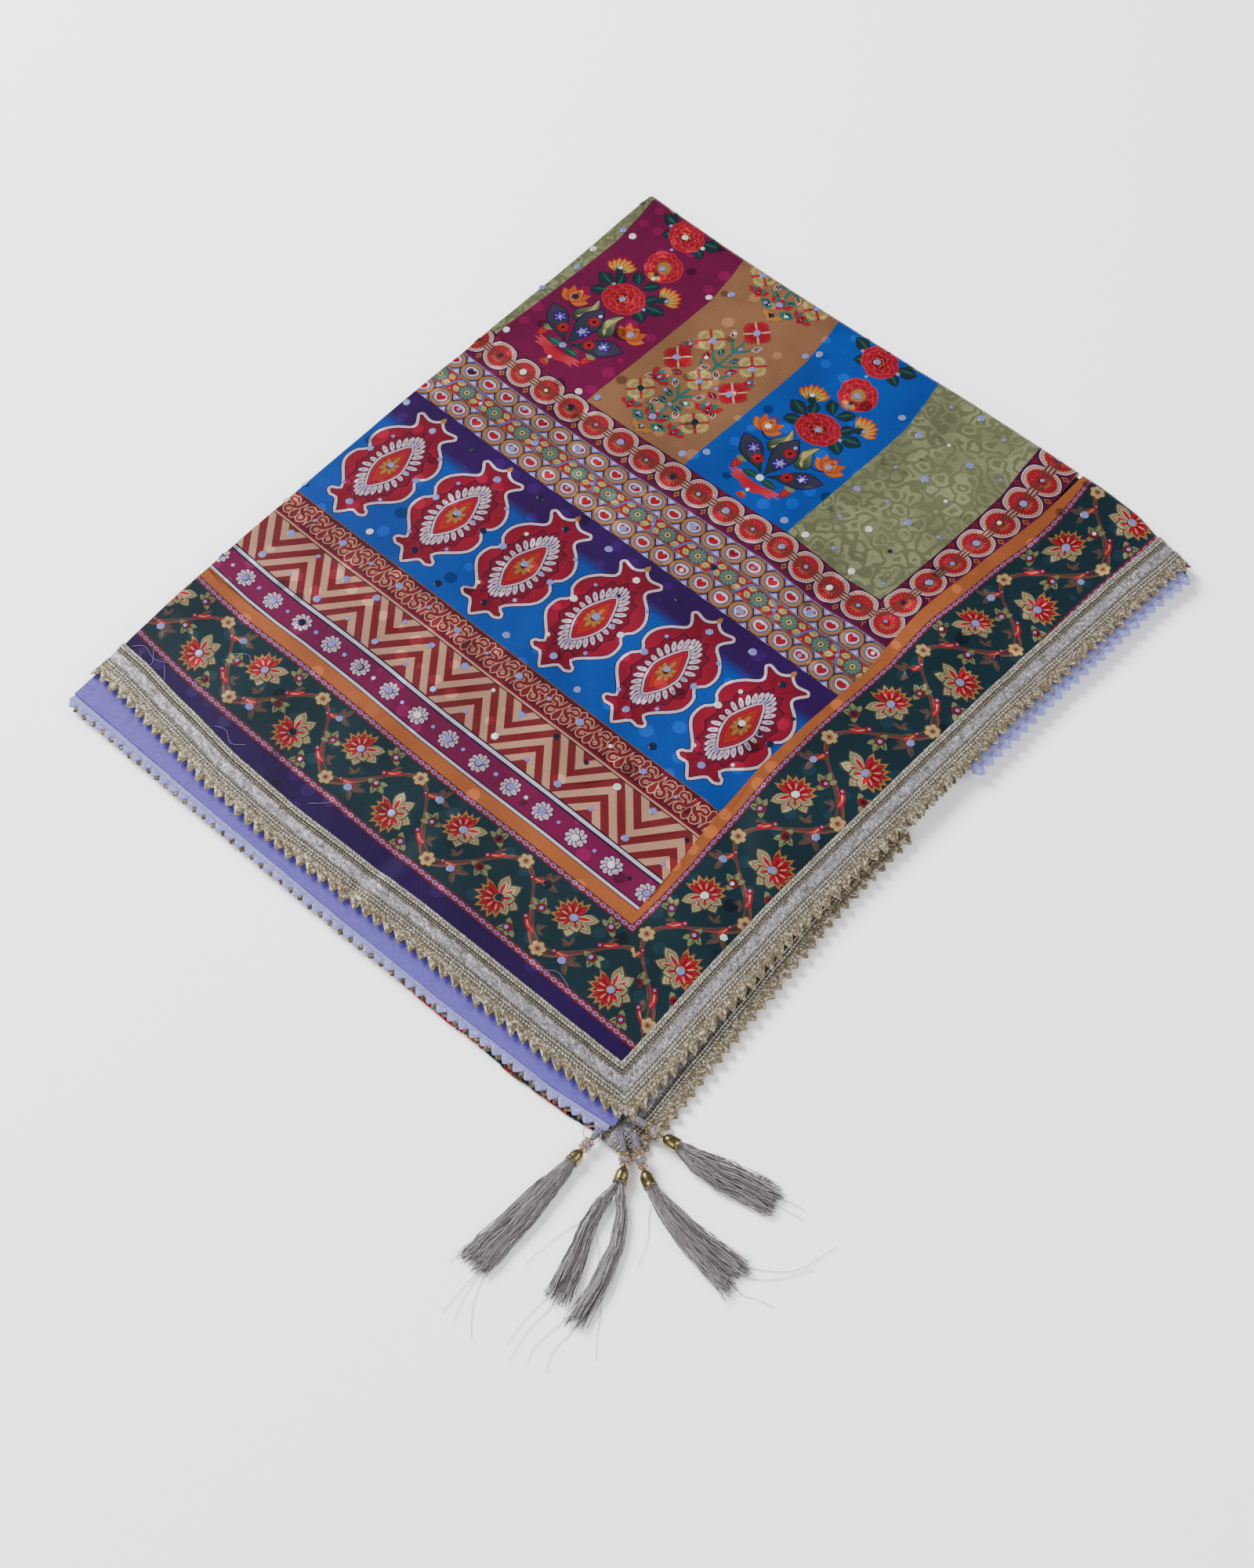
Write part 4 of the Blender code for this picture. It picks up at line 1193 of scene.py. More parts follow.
def place_field(x, y):
    """From the print's upper field, with the scallop band beside it, to the cloth."""
    if x <= 40:
        return place_rows(x, y)
    edge = between(SCALLOP_EDGE, min(y, LAST_Y))
    blend = smooth((y - FIELD_FOOT) / 10)
    if x <= SCALLOP_LEFT:
        start = 40 + row_shift(40, y)
        lay = start + (edge - start) * (x - 40) / (SCALLOP_LEFT - 40)
    else:
        far = between(SIDE_PRINT, min(y, LAST_Y))
        lay = edge + (far - edge) * (x - SCALLOP_LEFT) / (ORANGE_LEFT - SCALLOP_LEFT)
    rows_x, rows_y = place_rows(x, y)
    return rows_x + (lay - rows_x) * blend, rows_y


def place_end_border(x, y):
    """From the border's tile, with its inner edge at y = 0, to the end border."""
    return place_rows(x + VINE_START, BANDS_FOOT + y)


def place_side_border(x, y):
    """From the border's tile to the side border, its mirror image about the corner."""
    up = between(VINE_REPEATS, -x / VINE_PITCH)
    marks = (0.0, 10.0, 15.0, 71.0)
    row = [between(SIDE_PRINT, min(LAST_Y, max(SIDE_PRINT[0][0], up)), column) for column in (1, 2, 3, 4)]
    return between(list(zip(marks, row)), -y), up


def trim(flat, keep):
    """Cuts the flat mesh where keep(x, y) is below 0."""
    for point in flat.verts:
        point.co.z = keep(point.co.x, point.co.y)
    geometry = flat.verts[:] + flat.edges[:] + flat.faces[:]
    bmesh.ops.bisect_plane(
        flat, geom=geometry, dist=1e-4, plane_co=(0, 0, 0), plane_no=(0, 0, 1), clear_inner=True
    )


def score(flat, line, near, steps, gap):
    """Adds edges along line(x, y) = 0, gap, 2 gap and so on, between the points with near(x, y)."""
    faces = [face for face in flat.faces if all(near(point.co.x, point.co.y) for point in face.verts)]
    edges = {edge for face in faces for edge in face.edges}
    points = {point for face in faces for point in face.verts}
    geometry = list(points) + list(edges) + faces
    for point in points:
        point.co.z = line(point.co.x, point.co.y)
    for _ in range(steps):
        cut = bmesh.ops.bisect_plane(flat, geom=geometry, dist=1e-4, plane_co=(0, 0, 0), plane_no=(0, 0, 1))
        geometry = cut["geom"]
        for item in geometry:
            if isinstance(item, bmesh.types.BMVert):
                item.co.z -= gap


def cut_out(art, x0, y0, x1, y1, cell=6.0):
    """The rectangle as flat faces, cut along every outline: points and (corners, ink) of each face."""
    columns = max(1, round((x1 - x0) / cell))
    rows = max(1, round((y1 - y0) / cell))
    across = [x0 + (x1 - x0) * k / columns for k in range(columns + 1)]
    upward = [y0 + (y1 - y0) * k / rows for k in range(rows + 1)]
    rim = [(x, y0) for x in across] + [(x1, y) for y in upward[1:]]
    rim += [(x, y1) for x in across[-2::-1]] + [(x0, y) for y in upward[-2:0:-1]]
    points = [Vector(p) for p in rim]
    faces = [list(range(len(rim)))]
    inks = [art.shapes[0][1]]
    for outline, ink in art.shapes[1:]:
        xs = [p[0] for p in outline]
        ys = [p[1] for p in outline]
        if max(xs) < x0 or min(xs) > x1 or max(ys) < y0 or min(ys) > y1:
            continue
        if area_of(outline) < 0:
            outline = outline[::-1]
        faces.append(list(range(len(points), len(points) + len(outline))))
        points += [Vector(p) for p in outline]
        inks.append(ink)
    for row, y in enumerate(upward[1:-1]):
        for x in across[1:-1]:
            points.append(Vector((x + (0.25 if row % 2 else -0.25) * (x1 - x0) / columns, y)))
    made, _, corners, _, _, sources = delaunay_2d_cdt(points, [], faces, 1, 1e-3, True)
    result = []
    for face, source in zip(corners, sources):
        if 0 in source:
            result.append((face, inks[max(source)]))
    return made, result


class FlatPrint:
    """A flat printed mesh that grows by tiles."""

    def __init__(self):
        self.mesh = bmesh.new()
        self.colour = self.mesh.loops.layers.float_color.new("ink")

    def tile(self, ground, art, box, place, repeats=((0.0, 0.0),), weave=0, cell=6.0):
        whole = Art()
        whole.add([], ground)
        whole.shapes += art.shapes
        points, faces = cut_out(whole, *box, cell=cell)
        for dx, dy in repeats:
            spots = [place(p.x + dx, p.y + dy) for p in points]
            made = [self.mesh.verts.new((x, y, 0.0)) for x, y in spots]
            for corners, ink in faces:
                face = self.mesh.faces.new([made[c] for c in corners])
                face.material_index = weave
                for loop, c in zip(face.loops, corners):
                    loop[self.colour] = (*ink_at(ink, points[c].x, points[c].y), 1.0)
                face.normal_update()
                if face.normal.z < 0:
                    face.normal_flip()


def drape_normal(drape, x, y, spot):
    """The outward normal of a draped sheet."""
    if drape is drape_top and x > -258.0 and y < 240.0:
        _, slope_x, slope_y = relief(x, y)
        return Vector((-slope_x, -slope_y, 1.0)).normalized()
    ahead_x, ahead_y = drape(x + 0.4, y), drape(x, y + 0.4)
    return (ahead_x - spot).cross(ahead_y - spot).normalized()


def drape_mesh(name, flat, drape, materials, with_normals=True):
    """Lays a flat mesh as a cloth: its flat layout goes to the UV maps."""
    bmesh.ops.remove_doubles(flat, verts=flat.verts, dist=0.004)
    loose = [face for face in flat.faces if face.calc_area() < 1e-7]
    bmesh.ops.delete(flat, geom=loose, context="FACES")
    alone = [point for point in flat.verts if not point.link_faces]
    bmesh.ops.delete(flat, geom=alone, context="VERTS")
    layout = flat.loops.layers.uv.new("flat")
    baked = flat.loops.layers.uv.new("OFBake")
    xs = [point.co.x for point in flat.verts]
    ys = [point.co.y for point in flat.verts]
    low_x, low_y = min(xs), min(ys)
    span = max(max(xs) - low_x, max(ys) - low_y)
    for face in flat.faces:
        face.smooth = True
        for loop in face.loops:
            x, y = loop.vert.co.x, loop.vert.co.y
            loop[layout].uv = (x / 1000, y / 1000)
            loop[baked].uv = ((x - low_x) / span, (y - low_y) / span)
    normals = []
    for point in flat.verts:
        x, y = point.co.x, point.co.y
        spot = drape(x, y)
        if with_normals:
            normals.append(drape_normal(drape, x, y, spot))
        point.co = to_frame(*spot)
    mesh = bpy.data.meshes.new(name)
    flat.to_mesh(mesh)
    flat.free()
    if with_normals:
        mesh.normals_split_custom_set_from_vertices(normals)
    for finish in materials:
        mesh.materials.append(finish)
    return new_object(name, mesh)


def turn_x(y):
    return fold_x(min(y, LAST_Y)) + PAIR_FOLD_RADIUS


def turn_y(x):
    return fold_y(x) - smooth_height(x, fold_y(x) - 8.0) / 2


FOLD_ARC_X = math.pi * PAIR_FOLD_RADIUS
FOLD_ARC_Y = math.pi * TOP_HEIGHT / 2


def finish_top(name, flat, materials):
    """Trims a part of the top layer to the cloth's edges, scores its folds and drapes it."""
    far_leg = FOLD_ARC_X + FOLD_LEG
    trim(flat, lambda x, y: x - turn_x(y) + far_leg if x < -240 else 1.0)
    trim(flat, lambda x, y: side_lace_x(min(y, LAST_Y)) + 3.0 - x if x > 200 else 1.0)
    trim(flat, lambda x, y: y - end_lace_y(x) + 3.0 if y < -240 else 1.0)
    trim(flat, lambda x, y: turn_y(x) + FOLD_ARC_Y + UNDER_LEG - y if y > 280 else 1.0)
    score(flat, lambda x, y: x - turn_x(y) + FOLD_ARC_X, lambda x, y: x < -240, 9, FOLD_ARC_X / 8)
    score(flat, lambda x, y: y - turn_y(x), lambda x, y: y > 280, 13, FOLD_ARC_Y / 12)
    return drape_mesh(name, flat, drape_top, materials)


def box(x0, y0, x1, y1):
    return [(x0, y0), (x1, y0), (x1, y1), (x0, y1)]


def field_tiles(flat):
    """The five blocks with their bouquets."""
    roses, stems = bouquet_of_roses(), bouquet_on_stem()
    blocks = (
        # left, right, ground, bouquet, its middle, foot and repeat
        (-296.0, -257.0, "olive", None, 0.0, 0.0, 0.0),
        (-257.0, -159.0, "magenta", roses, -210.0, 124.0, 300.0),
        (-159.0, -61.0, "brown", stems, -110.0, 120.5, 150.0),
        (-61.0, 37.0, "blue", roses, -11.0, 124.0, 300.0),
        (37.0, 127.0, "olive", None, 0.0, 0.0, 0.0),
    )
    for left, right, ground, bouquet, middle, foot, rise in blocks:
        art = Art()
        if bouquet:
            art.put(bouquet, middle, foot)
            art.put(bouquet, middle, foot + rise)
        weave = 1 if ground == "olive" else 0
        flat.tile(ground, art, (left, FIELD_FOOT, right, 345.0), place_field, weave=weave, cell=5.5)


def scallop_lines(path):
    """The three thin lines along a path."""
    art = Art()
    for off in (-2.6, 0.0, 2.6):
        line = []
        for k, (x, y) in enumerate(path):
            x0, y0 = path[max(0, k - 1)]
            x1, y1 = path[min(len(path) - 1, k + 1)]
            length = math.hypot(x1 - x0, y1 - y0)
            line.append((x - (y1 - y0) / length * off, y + (x1 - x0) / length * off))
        art.add(stroke(line, 1.5), "maroon").add(stroke(line, 0.7), "brown_ink")
    return art


def scallop_tiles(flat):
    """The scallop band across the cloth and up beside the olive block."""
    pitch, level, middle = 25.64, 99.5, 141.0
    half = pitch / 2
    repeats = [(-240.0 + pitch * k, 0.0) for k in range(-2, 15)]
    art = Art().put(scallop_tile(pitch), 0, level)
    art.shapes.insert(0, (box(-20, 80, 20, 87.0), ("magenta", "plum", (0, 82), (0, 87))))
    flat.tile("plum", art, (-half, 83.0, half, FIELD_FOOT), place_field, repeats)
    corner = Art()
    corner.add(box(120, 80, 170, 87.0), ("magenta", "plum", (0, 82), (0, 87)))
    corner.put(scallop_disc(), 143.5, 100.5, 40)
    corner.put(scallop_disc(), middle - 0.5, 122.0, 90)
    corner.put(scallop_disc(), 119.0, level)
    bend = [(112.0, level), (124.0, level + 0.6), (134.0, 104.0), (139.5, 112.0), (141.0, 136.0)]
    corner.put(scallop_lines(bend))
    start = -240.0 + pitch * 14 + half
    flat.tile("plum", corner, (start, 83.0, 176.0, FIELD_FOOT), place_field)
    flat.tile("plum", corner, (SCALLOP_LEFT, FIELD_FOOT, ORANGE_LEFT, 135.0), place_field)
    column = Art().put(scallop_tile(26.2), middle, 0, 90)
    column.shapes.insert(0, (box(149.5, -20, 156, 20), ("magenta", "plum", (155, 0), (149.5, 0))))
    rises = [(0.0, 135.0 + 13.1 + 26.2 * k) for k in range(8)]
    flat.tile("plum", column, (SCALLOP_LEFT, -13.1, ORANGE_LEFT, 13.1), place_field, rises)


def band_tiles(flat):
    """The bands below the field, down to the white line."""
    pitch = 18.9
    hearts = hearts_tile(pitch)
    repeats = [(-235.5 + 2 * pitch * k, 0.0) for k in range(-2, 11)]
    for low, high, middle in ((63.0, 83.0, 73.0), (29.0, 47.0, 37.8)):
        art = Art().put(hearts, 0, middle)
        flat.tile("grey_lilac", art, (-pitch, low, pitch, high), place_rows, repeats)
    pitch = 29.3
    art = Art().put(rosette_tile(pitch), 0, 55)
    art.add(box(-40, 61.8, 40, 63.2), "brown_ink").add(box(-40, 46.8, 40, 48.0), "brown_ink")
    repeats = [(-232.4 + 2 * pitch * k, 0.0) for k in range(-2, 8)]
    flat.tile("red", art, (-pitch, 47.0, pitch, 63.0), place_rows, repeats)
    pitch = 69.4
    art = Art()
    art.add(box(-50, 3, 50, 40), "deep_purple")
    art.add(box(-50, -9, 50, 3), ("deep_purple", "blue", (0.0, 3.0), (0.0, -9.0)))
    art.put(medallion(), 0, -24.5)
    repeats = [(-226.0 + pitch * k, 0.0) for k in range(-1, 7)]
    flat.tile("blue", art, (-pitch / 2, -98.5, pitch / 2, 29.0), place_rows, repeats)
    pitch = 29.6
    art = Art().put(scroll_tile(pitch), 0, -110.5)
    art.add(box(-30, -122.6, 30, -120.8), "crimson_dark").add(box(-30, -124.2, 30, -122.6), "cream")
    art.add(box(-30, -126, 30, -124.2), "black").add(box(-30, -99.4, 30, -98), "brown_ink")
    repeats = [(-262.0 + pitch * k, 0.0) for k in range(-1, 16)]
    flat.tile("maroon", art, (-pitch / 2, -125.0, pitch / 2, -98.5), place_rows, repeats)
    pitch = 59.2
    art = Art()
    rise, step = 1.2, 17.2
    for k in range(-4, 8):
        top = -122.0 - step * (k - 2)
        left, right = -pitch / 2, pitch / 2
        sunk = rise * pitch / 2
        stripe = [(left, top - sunk), (0, top), (right, top - sunk)]
        art.add(stripe + [(x, y - 8.6) for x, y in stripe[::-1]], "brick")
    repeats = [(-207.0 + pitch * k, 0.0) for k in range(-2, 8)]
    flat.tile("cream", art, (-pitch / 2, -165.0, pitch / 2, -125.0), place_rows, repeats)
    pitch = 29.6
    art = Art().put(daisy(), 0, -180.3)
    for high, low, ink in (
        (-165.0, -166.2, "navy"),
        (-166.2, -168.8, "paper"),
        (-168.8, -170.2, "navy"),
        (-190.4, -191.4, "navy"),
        (-191.4, -193.4, "paper"),
        (-193.4, -194.0, "navy"),
    ):
        art.add(box(-20, low, 20, high), ink)
    repeats = [(-230.0 + pitch * k, 0.0) for k in range(-2, 15)]
    flat.tile("magenta_band", art, (-pitch / 2, -194.0, pitch / 2, -165.0), place_rows, repeats)


def border_tiles(flat, place, repeats):
    """The border: an orange strip, a braid, the vine on its green ground, a braid and the purple edge."""
    half = VINE_PITCH / 2
    edge = Art().add(box(-80, -1.0, 80, 0.0), "apricot")
    flat.tile("apricot", edge, (-half, -10.0, half, 0.0), place, repeats)
    pitch = VINE_PITCH / 16
    beads = [(dx - half + pitch * (k + 0.5), 0.0) for dx, _ in repeats for k in range(16)]
    for middle in (-12.3, -74.6):
        art = Art().put(braid_tile(pitch), 0, middle)
        for low in (middle - 3.4, middle + 2.5):
            art.add(box(-9, low, 9, low + 0.9), "navy")
        low, high = (-15.0, -10.0) if middle > -20 else (-77.5, -72.0)
        flat.tile("brick", art, (-pitch / 2, low, pitch / 2, high), place, beads)
    vine = Art().put(vine_tile(VINE_PITCH), 0, -43.5)
    flat.tile("bottle", vine, (-half, -72.0, half, -15.0), place, repeats, cell=5.5)
    flat.tile("purple", Art(), (-half, -110.0, half, -77.5), place, repeats)


def new_object(name, data):
    made = bpy.data.objects.new(name, data)
    bpy.context.scene.collection.objects.link(made)
    return made


def new_material(name, **sockets):
    """A material with fixed values on its shader, with its node tree and the shader."""
    made = bpy.data.materials.new(name)
    made.use_nodes = True
    shader = made.node_tree.nodes["Principled BSDF"]
    for socket, value in sockets.items():
        shader.inputs[socket.replace("_", " ")].default_value = value
    return made, made.node_tree, shader


def node(tree, kind, **values):
    """A node with its properties and its sockets' values. A socket's value may be another node's output."""
    made = tree.nodes.new(kind)
    for name, value in values.items():
        if hasattr(made, name):
            setattr(made, name, value)
        elif isinstance(value, bpy.types.NodeSocket):
            tree.links.new(value, made.inputs[name.replace("_", " ")])
        else:
            made.inputs[name.replace("_", " ")].default_value = value
    return made


def math_node(tree, operation, *values):
    """A math node whose inputs are sockets or numbers."""
    made = node(tree, "ShaderNodeMath", operation=operation)
    for slot, value in enumerate(values):
        if isinstance(value, bpy.types.NodeSocket):
            tree.links.new(value, made.inputs[slot])
        else:
            made.inputs[slot].default_value = value
    return made.outputs[0]


def vector_node(tree, operation, start, *values):
    """A vector math node on a socket, with vectors or sockets for its other inputs."""
    made = node(tree, "ShaderNodeVectorMath", operation=operation)
    tree.links.new(start, made.inputs[0])
    for slot, value in enumerate(values, 1):
        if isinstance(value, bpy.types.NodeSocket):
            tree.links.new(value, made.inputs[slot])
        else:
            made.inputs[slot].default_value = value
    return made.outputs[0]


def range_node(tree, value, from_low, from_high, to_low, to_high):
    """A smooth step from one range to another."""
    made = node(tree, "ShaderNodeMapRange", interpolation_type="SMOOTHSTEP", Value=value)
    ends = {"From Min": from_low, "From Max": from_high, "To Min": to_low, "To Max": to_high}
    for socket, number in ends.items():
        made.inputs[socket].default_value = number
    return made.outputs["Result"]


def split_colour(tree, colour):
    """The three channels of a colour."""
    made = node(tree, "ShaderNodeSeparateColor")
    tree.links.new(colour, made.inputs[0])
    return made.outputs


def show_colour(tree, shader, tone=None, colour=None):
    """The base colour: the ink attribute or a fixed colour, made lighter or darker by the tone."""
    if colour is None:
        colour = node(tree, "ShaderNodeAttribute", attribute_name="ink").outputs["Color"]
    if tone:
        shaded = node(tree, "ShaderNodeVectorMath", operation="SCALE", Scale=tone)
        if isinstance(colour, bpy.types.NodeSocket):
            tree.links.new(colour, shaded.inputs[0])
        else:
            shaded.inputs[0].default_value = colour
        colour = shaded.outputs[0]
    tree.links.new(colour, shader.inputs["Base Color"])


def show_bump(tree, shader, height, strength, distance):
    bump = node(tree, "ShaderNodeBump", Strength=strength, Distance=distance, Height=height)
    tree.links.new(bump.outputs[0], shader.inputs["Normal"])


def satin_material(name, swirls):
    """Printed satin: the ink attribute under a woven spot, a fine weave and uneven dye. The woven spots and
    swirls are painted lighter or darker as painted sheen.
    """
    made, tree, shader = new_material(name, Specular_IOR_Level=0.14)
    flat = node(tree, "ShaderNodeUVMap", uv_map="flat").outputs["UV"]

    def noise_at(scale, detail=2.0, roughness=0.5):
        values = {"Scale": scale, "Detail": detail, "Roughness": roughness}
        return node(tree, "ShaderNodeTexNoise", Vector=flat, **values).outputs[0]

    def cells_at(place, scale, randomness):
        return node(tree, "ShaderNodeTexVoronoi", Vector=place, Scale=scale, Randomness=randomness).outputs

    if swirls:
        # The olive's woven swirls are painted lighter and some of its woven spots darker: painted sheen.
        curl = node(tree, "ShaderNodeTexNoise", Vector=flat, Scale=95.0, Detail=1.0)
        centred = vector_node(tree, "SUBTRACT", curl.outputs[1], (0.5, 0.5, 0.5))
        bent = vector_node(tree, "MULTIPLY_ADD", centred, (0.011, 0.011, 0.0), flat)
        rings = cells_at(bent, 72.0, 0.8)
        curls = math_node(tree, "SINE", math_node(tree, "MULTIPLY", rings["Distance"], 19.0))
        spot = range_node(tree, curls, -0.5, 0.5, 0.0, 1.0)
        swirl_sheen = range_node(tree, noise_at(34.0, 1.0), 0.42, 0.58, 0.55, 1.3)
        lift = math_node(tree, "MULTIPLY", math_node(tree, "MULTIPLY", spot, 0.42), swirl_sheen)
        tone = math_node(tree, "ADD", lift, 0.7)
        blob = cells_at(flat, 52.0, 0.5)
        dark = range_node(tree, blob["Distance"], 0.17, 0.24, 1.0, 0.0)
        chance = split_colour(tree, blob["Color"])
        darker = math_node(tree, "MULTIPLY", dark, math_node(tree, "GREATER_THAN", chance[0], 0.6))
        tone = math_node(tree, "SUBTRACT", tone, math_node(tree, "MULTIPLY", darker, 0.22))
    else:
        cells = cells_at(flat, 58.0, 0.42)
        # Some woven spots are painted lighter and some darker: painted sheen.
        spot = range_node(tree, cells["Distance"], 0.27, 0.33, 1.0, 0.0)
        chance = split_colour(tree, cells["Color"])
        light = math_node(tree, "MULTIPLY", math_node(tree, "GREATER_THAN", chance[0], 0.38), 0.5)
        dark = math_node(tree, "MULTIPLY", math_node(tree, "GREATER_THAN", chance[1], 0.78), 0.42)
        spot_sheen = math_node(tree, "SUBTRACT", light, dark)
        tone = math_node(tree, "ADD", math_node(tree, "MULTIPLY", spot, spot_sheen), 0.84)

    broad = range_node(tree, noise_at(14.0), 0.3, 0.7, 0.8, 1.14)
    fine = range_node(tree, noise_at(900.0, 2.0, 0.7), 0.3, 0.7, 0.86, 1.14)
    show_colour(tree, shader, math_node(tree, "MULTIPLY", math_node(tree, "MULTIPLY", tone, broad), fine))
    weave = node(tree, "ShaderNodeTexWave", wave_type="BANDS", bands_direction="DIAGONAL", Vector=flat)
    for socket, value in (("Scale", 420.0), ("Distortion", 2.5), ("Detail Scale", 3.0)):
        weave.inputs[socket].default_value = value
    grain = math_node(tree, "ADD", math_node(tree, "MULTIPLY", weave.outputs[0], 0.6), noise_at(650.0))
    raised = math_node(tree, "ADD", math_node(tree, "MULTIPLY", spot, 0.35), grain)
    show_bump(tree, shader, raised, 0.34, 0.00022)
    rough = math_node(tree, "SUBTRACT", 0.5, math_node(tree, "MULTIPLY", spot, 0.08))
    tree.links.new(rough, shader.inputs["Roughness"])
    return made


satin = satin_material("satin_print", False)
olive_satin = satin_material("satin_olive", True)

printed = []
field = FlatPrint()
field_tiles(field)
scallop_tiles(field)
trim(field.mesh, lambda x, y: between(SIDE_PRINT, min(y, LAST_Y)) - x if x > 140 else 1.0)
printed.append(finish_top("print_field", field.mesh, [satin, olive_satin]))

bands = FlatPrint()
band_tiles(bands)
trim(bands.mesh, lambda x, y: between(SIDE_PRINT, y) - x)
printed.append(finish_top("print_bands", bands.mesh, [satin]))


def join_line(x, y):
    """Above 0 on the side border's side of its join with the end border."""
    return y - between(BORDER_JOIN, max(x, 162.0)) if x > 160 else y - BANDS_FOOT


end_border = FlatPrint()
border_tiles(end_border, place_end_border, [(VINE_PITCH * k, 0.0) for k in range(-1, 6)])
trim(end_border.mesh, lambda x, y: -join_line(x, y) if x > 166 else 1.0)
printed.append(finish_top("print_border_end", end_border.mesh, [satin]))

side_border = FlatPrint()
border_tiles(side_border, place_side_border, [(-VINE_PITCH * k, 0.0) for k in range(-1, 7)])
trim(side_border.mesh, join_line)
printed.append(finish_top("print_border_side", side_border.mesh, [satin]))

flat = FlatPrint()
flat.tile("apricot", Art(), (112.0, -207.0, 174.0, -184.0), lambda x, y: (x, y))
seam = drape_mesh("corner_seam", flat.mesh, lambda x, y: drape_top(x, y, -0.3), [satin], False)
printed.append(seam)
for made in printed:
    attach(made, "root")
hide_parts("printed_top")


def add_mesh(name, points, faces, finish, inks, layout=None, smooth=True, baked=None):
    """A piece from points in the frame's metres, with its colours per point and its layouts per corner."""
    mesh = bpy.data.meshes.new(name)
    mesh.from_pydata(points, [], faces)
    colours = mesh.attributes.new("ink", "FLOAT_COLOR", "POINT")
    colours.data.foreach_set("color", [channel for ink in inks for channel in (*ink, 1.0)])
    if layout:
        uv = mesh.uv_layers.new(name="flat")
        uv.data.foreach_set("uv", [value for face in faces for k in face for value in layout[k]])
    if baked:
        uv = mesh.uv_layers.new(name="OFBake")
        uv.data.foreach_set("uv", baked)
    mesh.materials.append(finish)
    mesh.polygons.foreach_set("use_smooth", [smooth] * len(faces))
    mesh.update()
    made = new_object(name, mesh)
    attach(made, "root")
    return made


def ink_mix(first, second, share):
    return tuple(p + (q - p) * share for p, q in zip(first, second))


def display(*rgb):
    return tuple(linear(c) for c in rgb)


# The lace across its width: cords, thin threads, a sheer middle and a glittering net
# The lace's colours: its lightest tone and its white are painted highlights and glints.
LACE_HIGHLIGHT = display(225, 216, 196)
LACE_MID = display(126, 119, 106)
LACE_DARK = display(60, 52, 42)
LACE_SILVER = display(176, 172, 180)
LACE_GOLD = display(166, 152, 124)
LACE_BROWN = display(92, 78, 56)
GLINT_WHITE = display(243, 241, 240)
LACE_CORDS = (
    # from, to, slant of its twist, glitter: the share of painted glints on its crest
    (0.0, 2.3, 1.0, 0.45),
    (2.4, 4.7, -1.0, 0.3),
    (5.3, 6.3, 1.0, 0.05),
    (6.8, 7.8, -1.0, 0.05),
    (15.6, 16.6, 1.0, 0.05),
    (17.0, 19.2, 1.0, 0.3),
    (19.4, 21.6, -1.0, 0.3),
)
LACE_NET = 21.9
LACE_STEP = 0.75
LACE_ROWS = (
    -0.35, 0.0, 0.4, 0.9, 1.4, 1.9, 2.35, 2.8, 3.3, 3.8, 4.3, 4.75, 5.0, 5.3, 5.8, 6.3, 6.55, 6.8, 7.3, 7.8,
    8.3, 9.5, 10.8, 12.1, 13.4, 14.5, 15.2, 15.6, 16.1, 16.6, 17.0, 17.5, 18.1, 18.7, 19.3, 19.9, 20.5, 21.1,
    21.7, 22.3, 23.0, 23.7, 24.4, 25.1, 25.8, 26.5, 27.1,
)  # fmt: skip


def lace_surface(s, v, chance):
    """Height above the cloth and colour of the lace at s along and v across. The colour holds painted shade
    on the cords' flanks and between the net's knots, painted highlights on the cords' twists and the sheer
    middle's crumples, and painted glints.
    """
    if v < -0.2:
        return 0.15, LACE_DARK
    for low, high, slant, glitter in LACE_CORDS:
        if low <= v <= high + 0.06:
            middle = (v - low) / (high - low) * 2 - 1
            ridge = math.sqrt(max(0.0, 1 - middle**2))
            twist = 0.5 + 0.5 * math.sin(2 * math.pi * (s / 2.5 + slant * middle * 0.3))
            size = (high - low) / 2.3
            # The cord is painted darker on its flanks, painted shade, and lighter on its twists, painted
            # highlight; its white specks are painted glints.
            ink = ink_mix(LACE_DARK, LACE_MID, 0.25 + 0.75 * ridge)
            ink = ink_mix(ink, LACE_HIGHLIGHT, smooth(twist * 1.6 - 0.6) * 0.85 * ridge)
            if chance < glitter * ridge * twist:
                ink = GLINT_WHITE
            return 0.85 + size * (0.3 + 0.5 * ridge) + 0.22 * size * twist * ridge, ink
    if v >= LACE_NET:
        across = math.sin(2 * math.pi * (s / 3.4 + v / 3.4)) * math.sin(2 * math.pi * (s / 3.4 - v / 3.4))
        rise = smooth(across + 0.5)
        # The net is painted darker between its raised knots, painted shade; its light and white specks are
        # painted glints.
        ink = ink_mix(LACE_BROWN, LACE_GOLD, rise)
        if chance < 0.2:
            ink = LACE_HIGHLIGHT if chance < 0.13 else GLINT_WHITE
        return 0.95 + 0.4 * rise - 0.5 * smooth((v - 26.3) / 0.8), ink
    if 8.0 < v < 15.5:
        crumple = noise.noise(Vector((s / 7.0, v / 1.7, 2.0)))
        fine = noise.noise(Vector((s / 2.2, v / 1.1, 8.0)))
        # The sheer middle is painted silver on its crumples' crests, painted sheen; its white specks are
        # painted glints.
        ink = ink_mix(LACE_MID, LACE_SILVER, smooth(0.75 + 1.3 * crumple + 0.5 * fine))
        if chance < 0.035 + 0.1 * (noise.noise(Vector((s / 26.0, 0.0, 5.0))) > 0.12):
            ink = GLINT_WHITE
        return 0.8 + 0.5 * crumple + 0.2 * fine, ink
    return 0.72, LACE_DARK


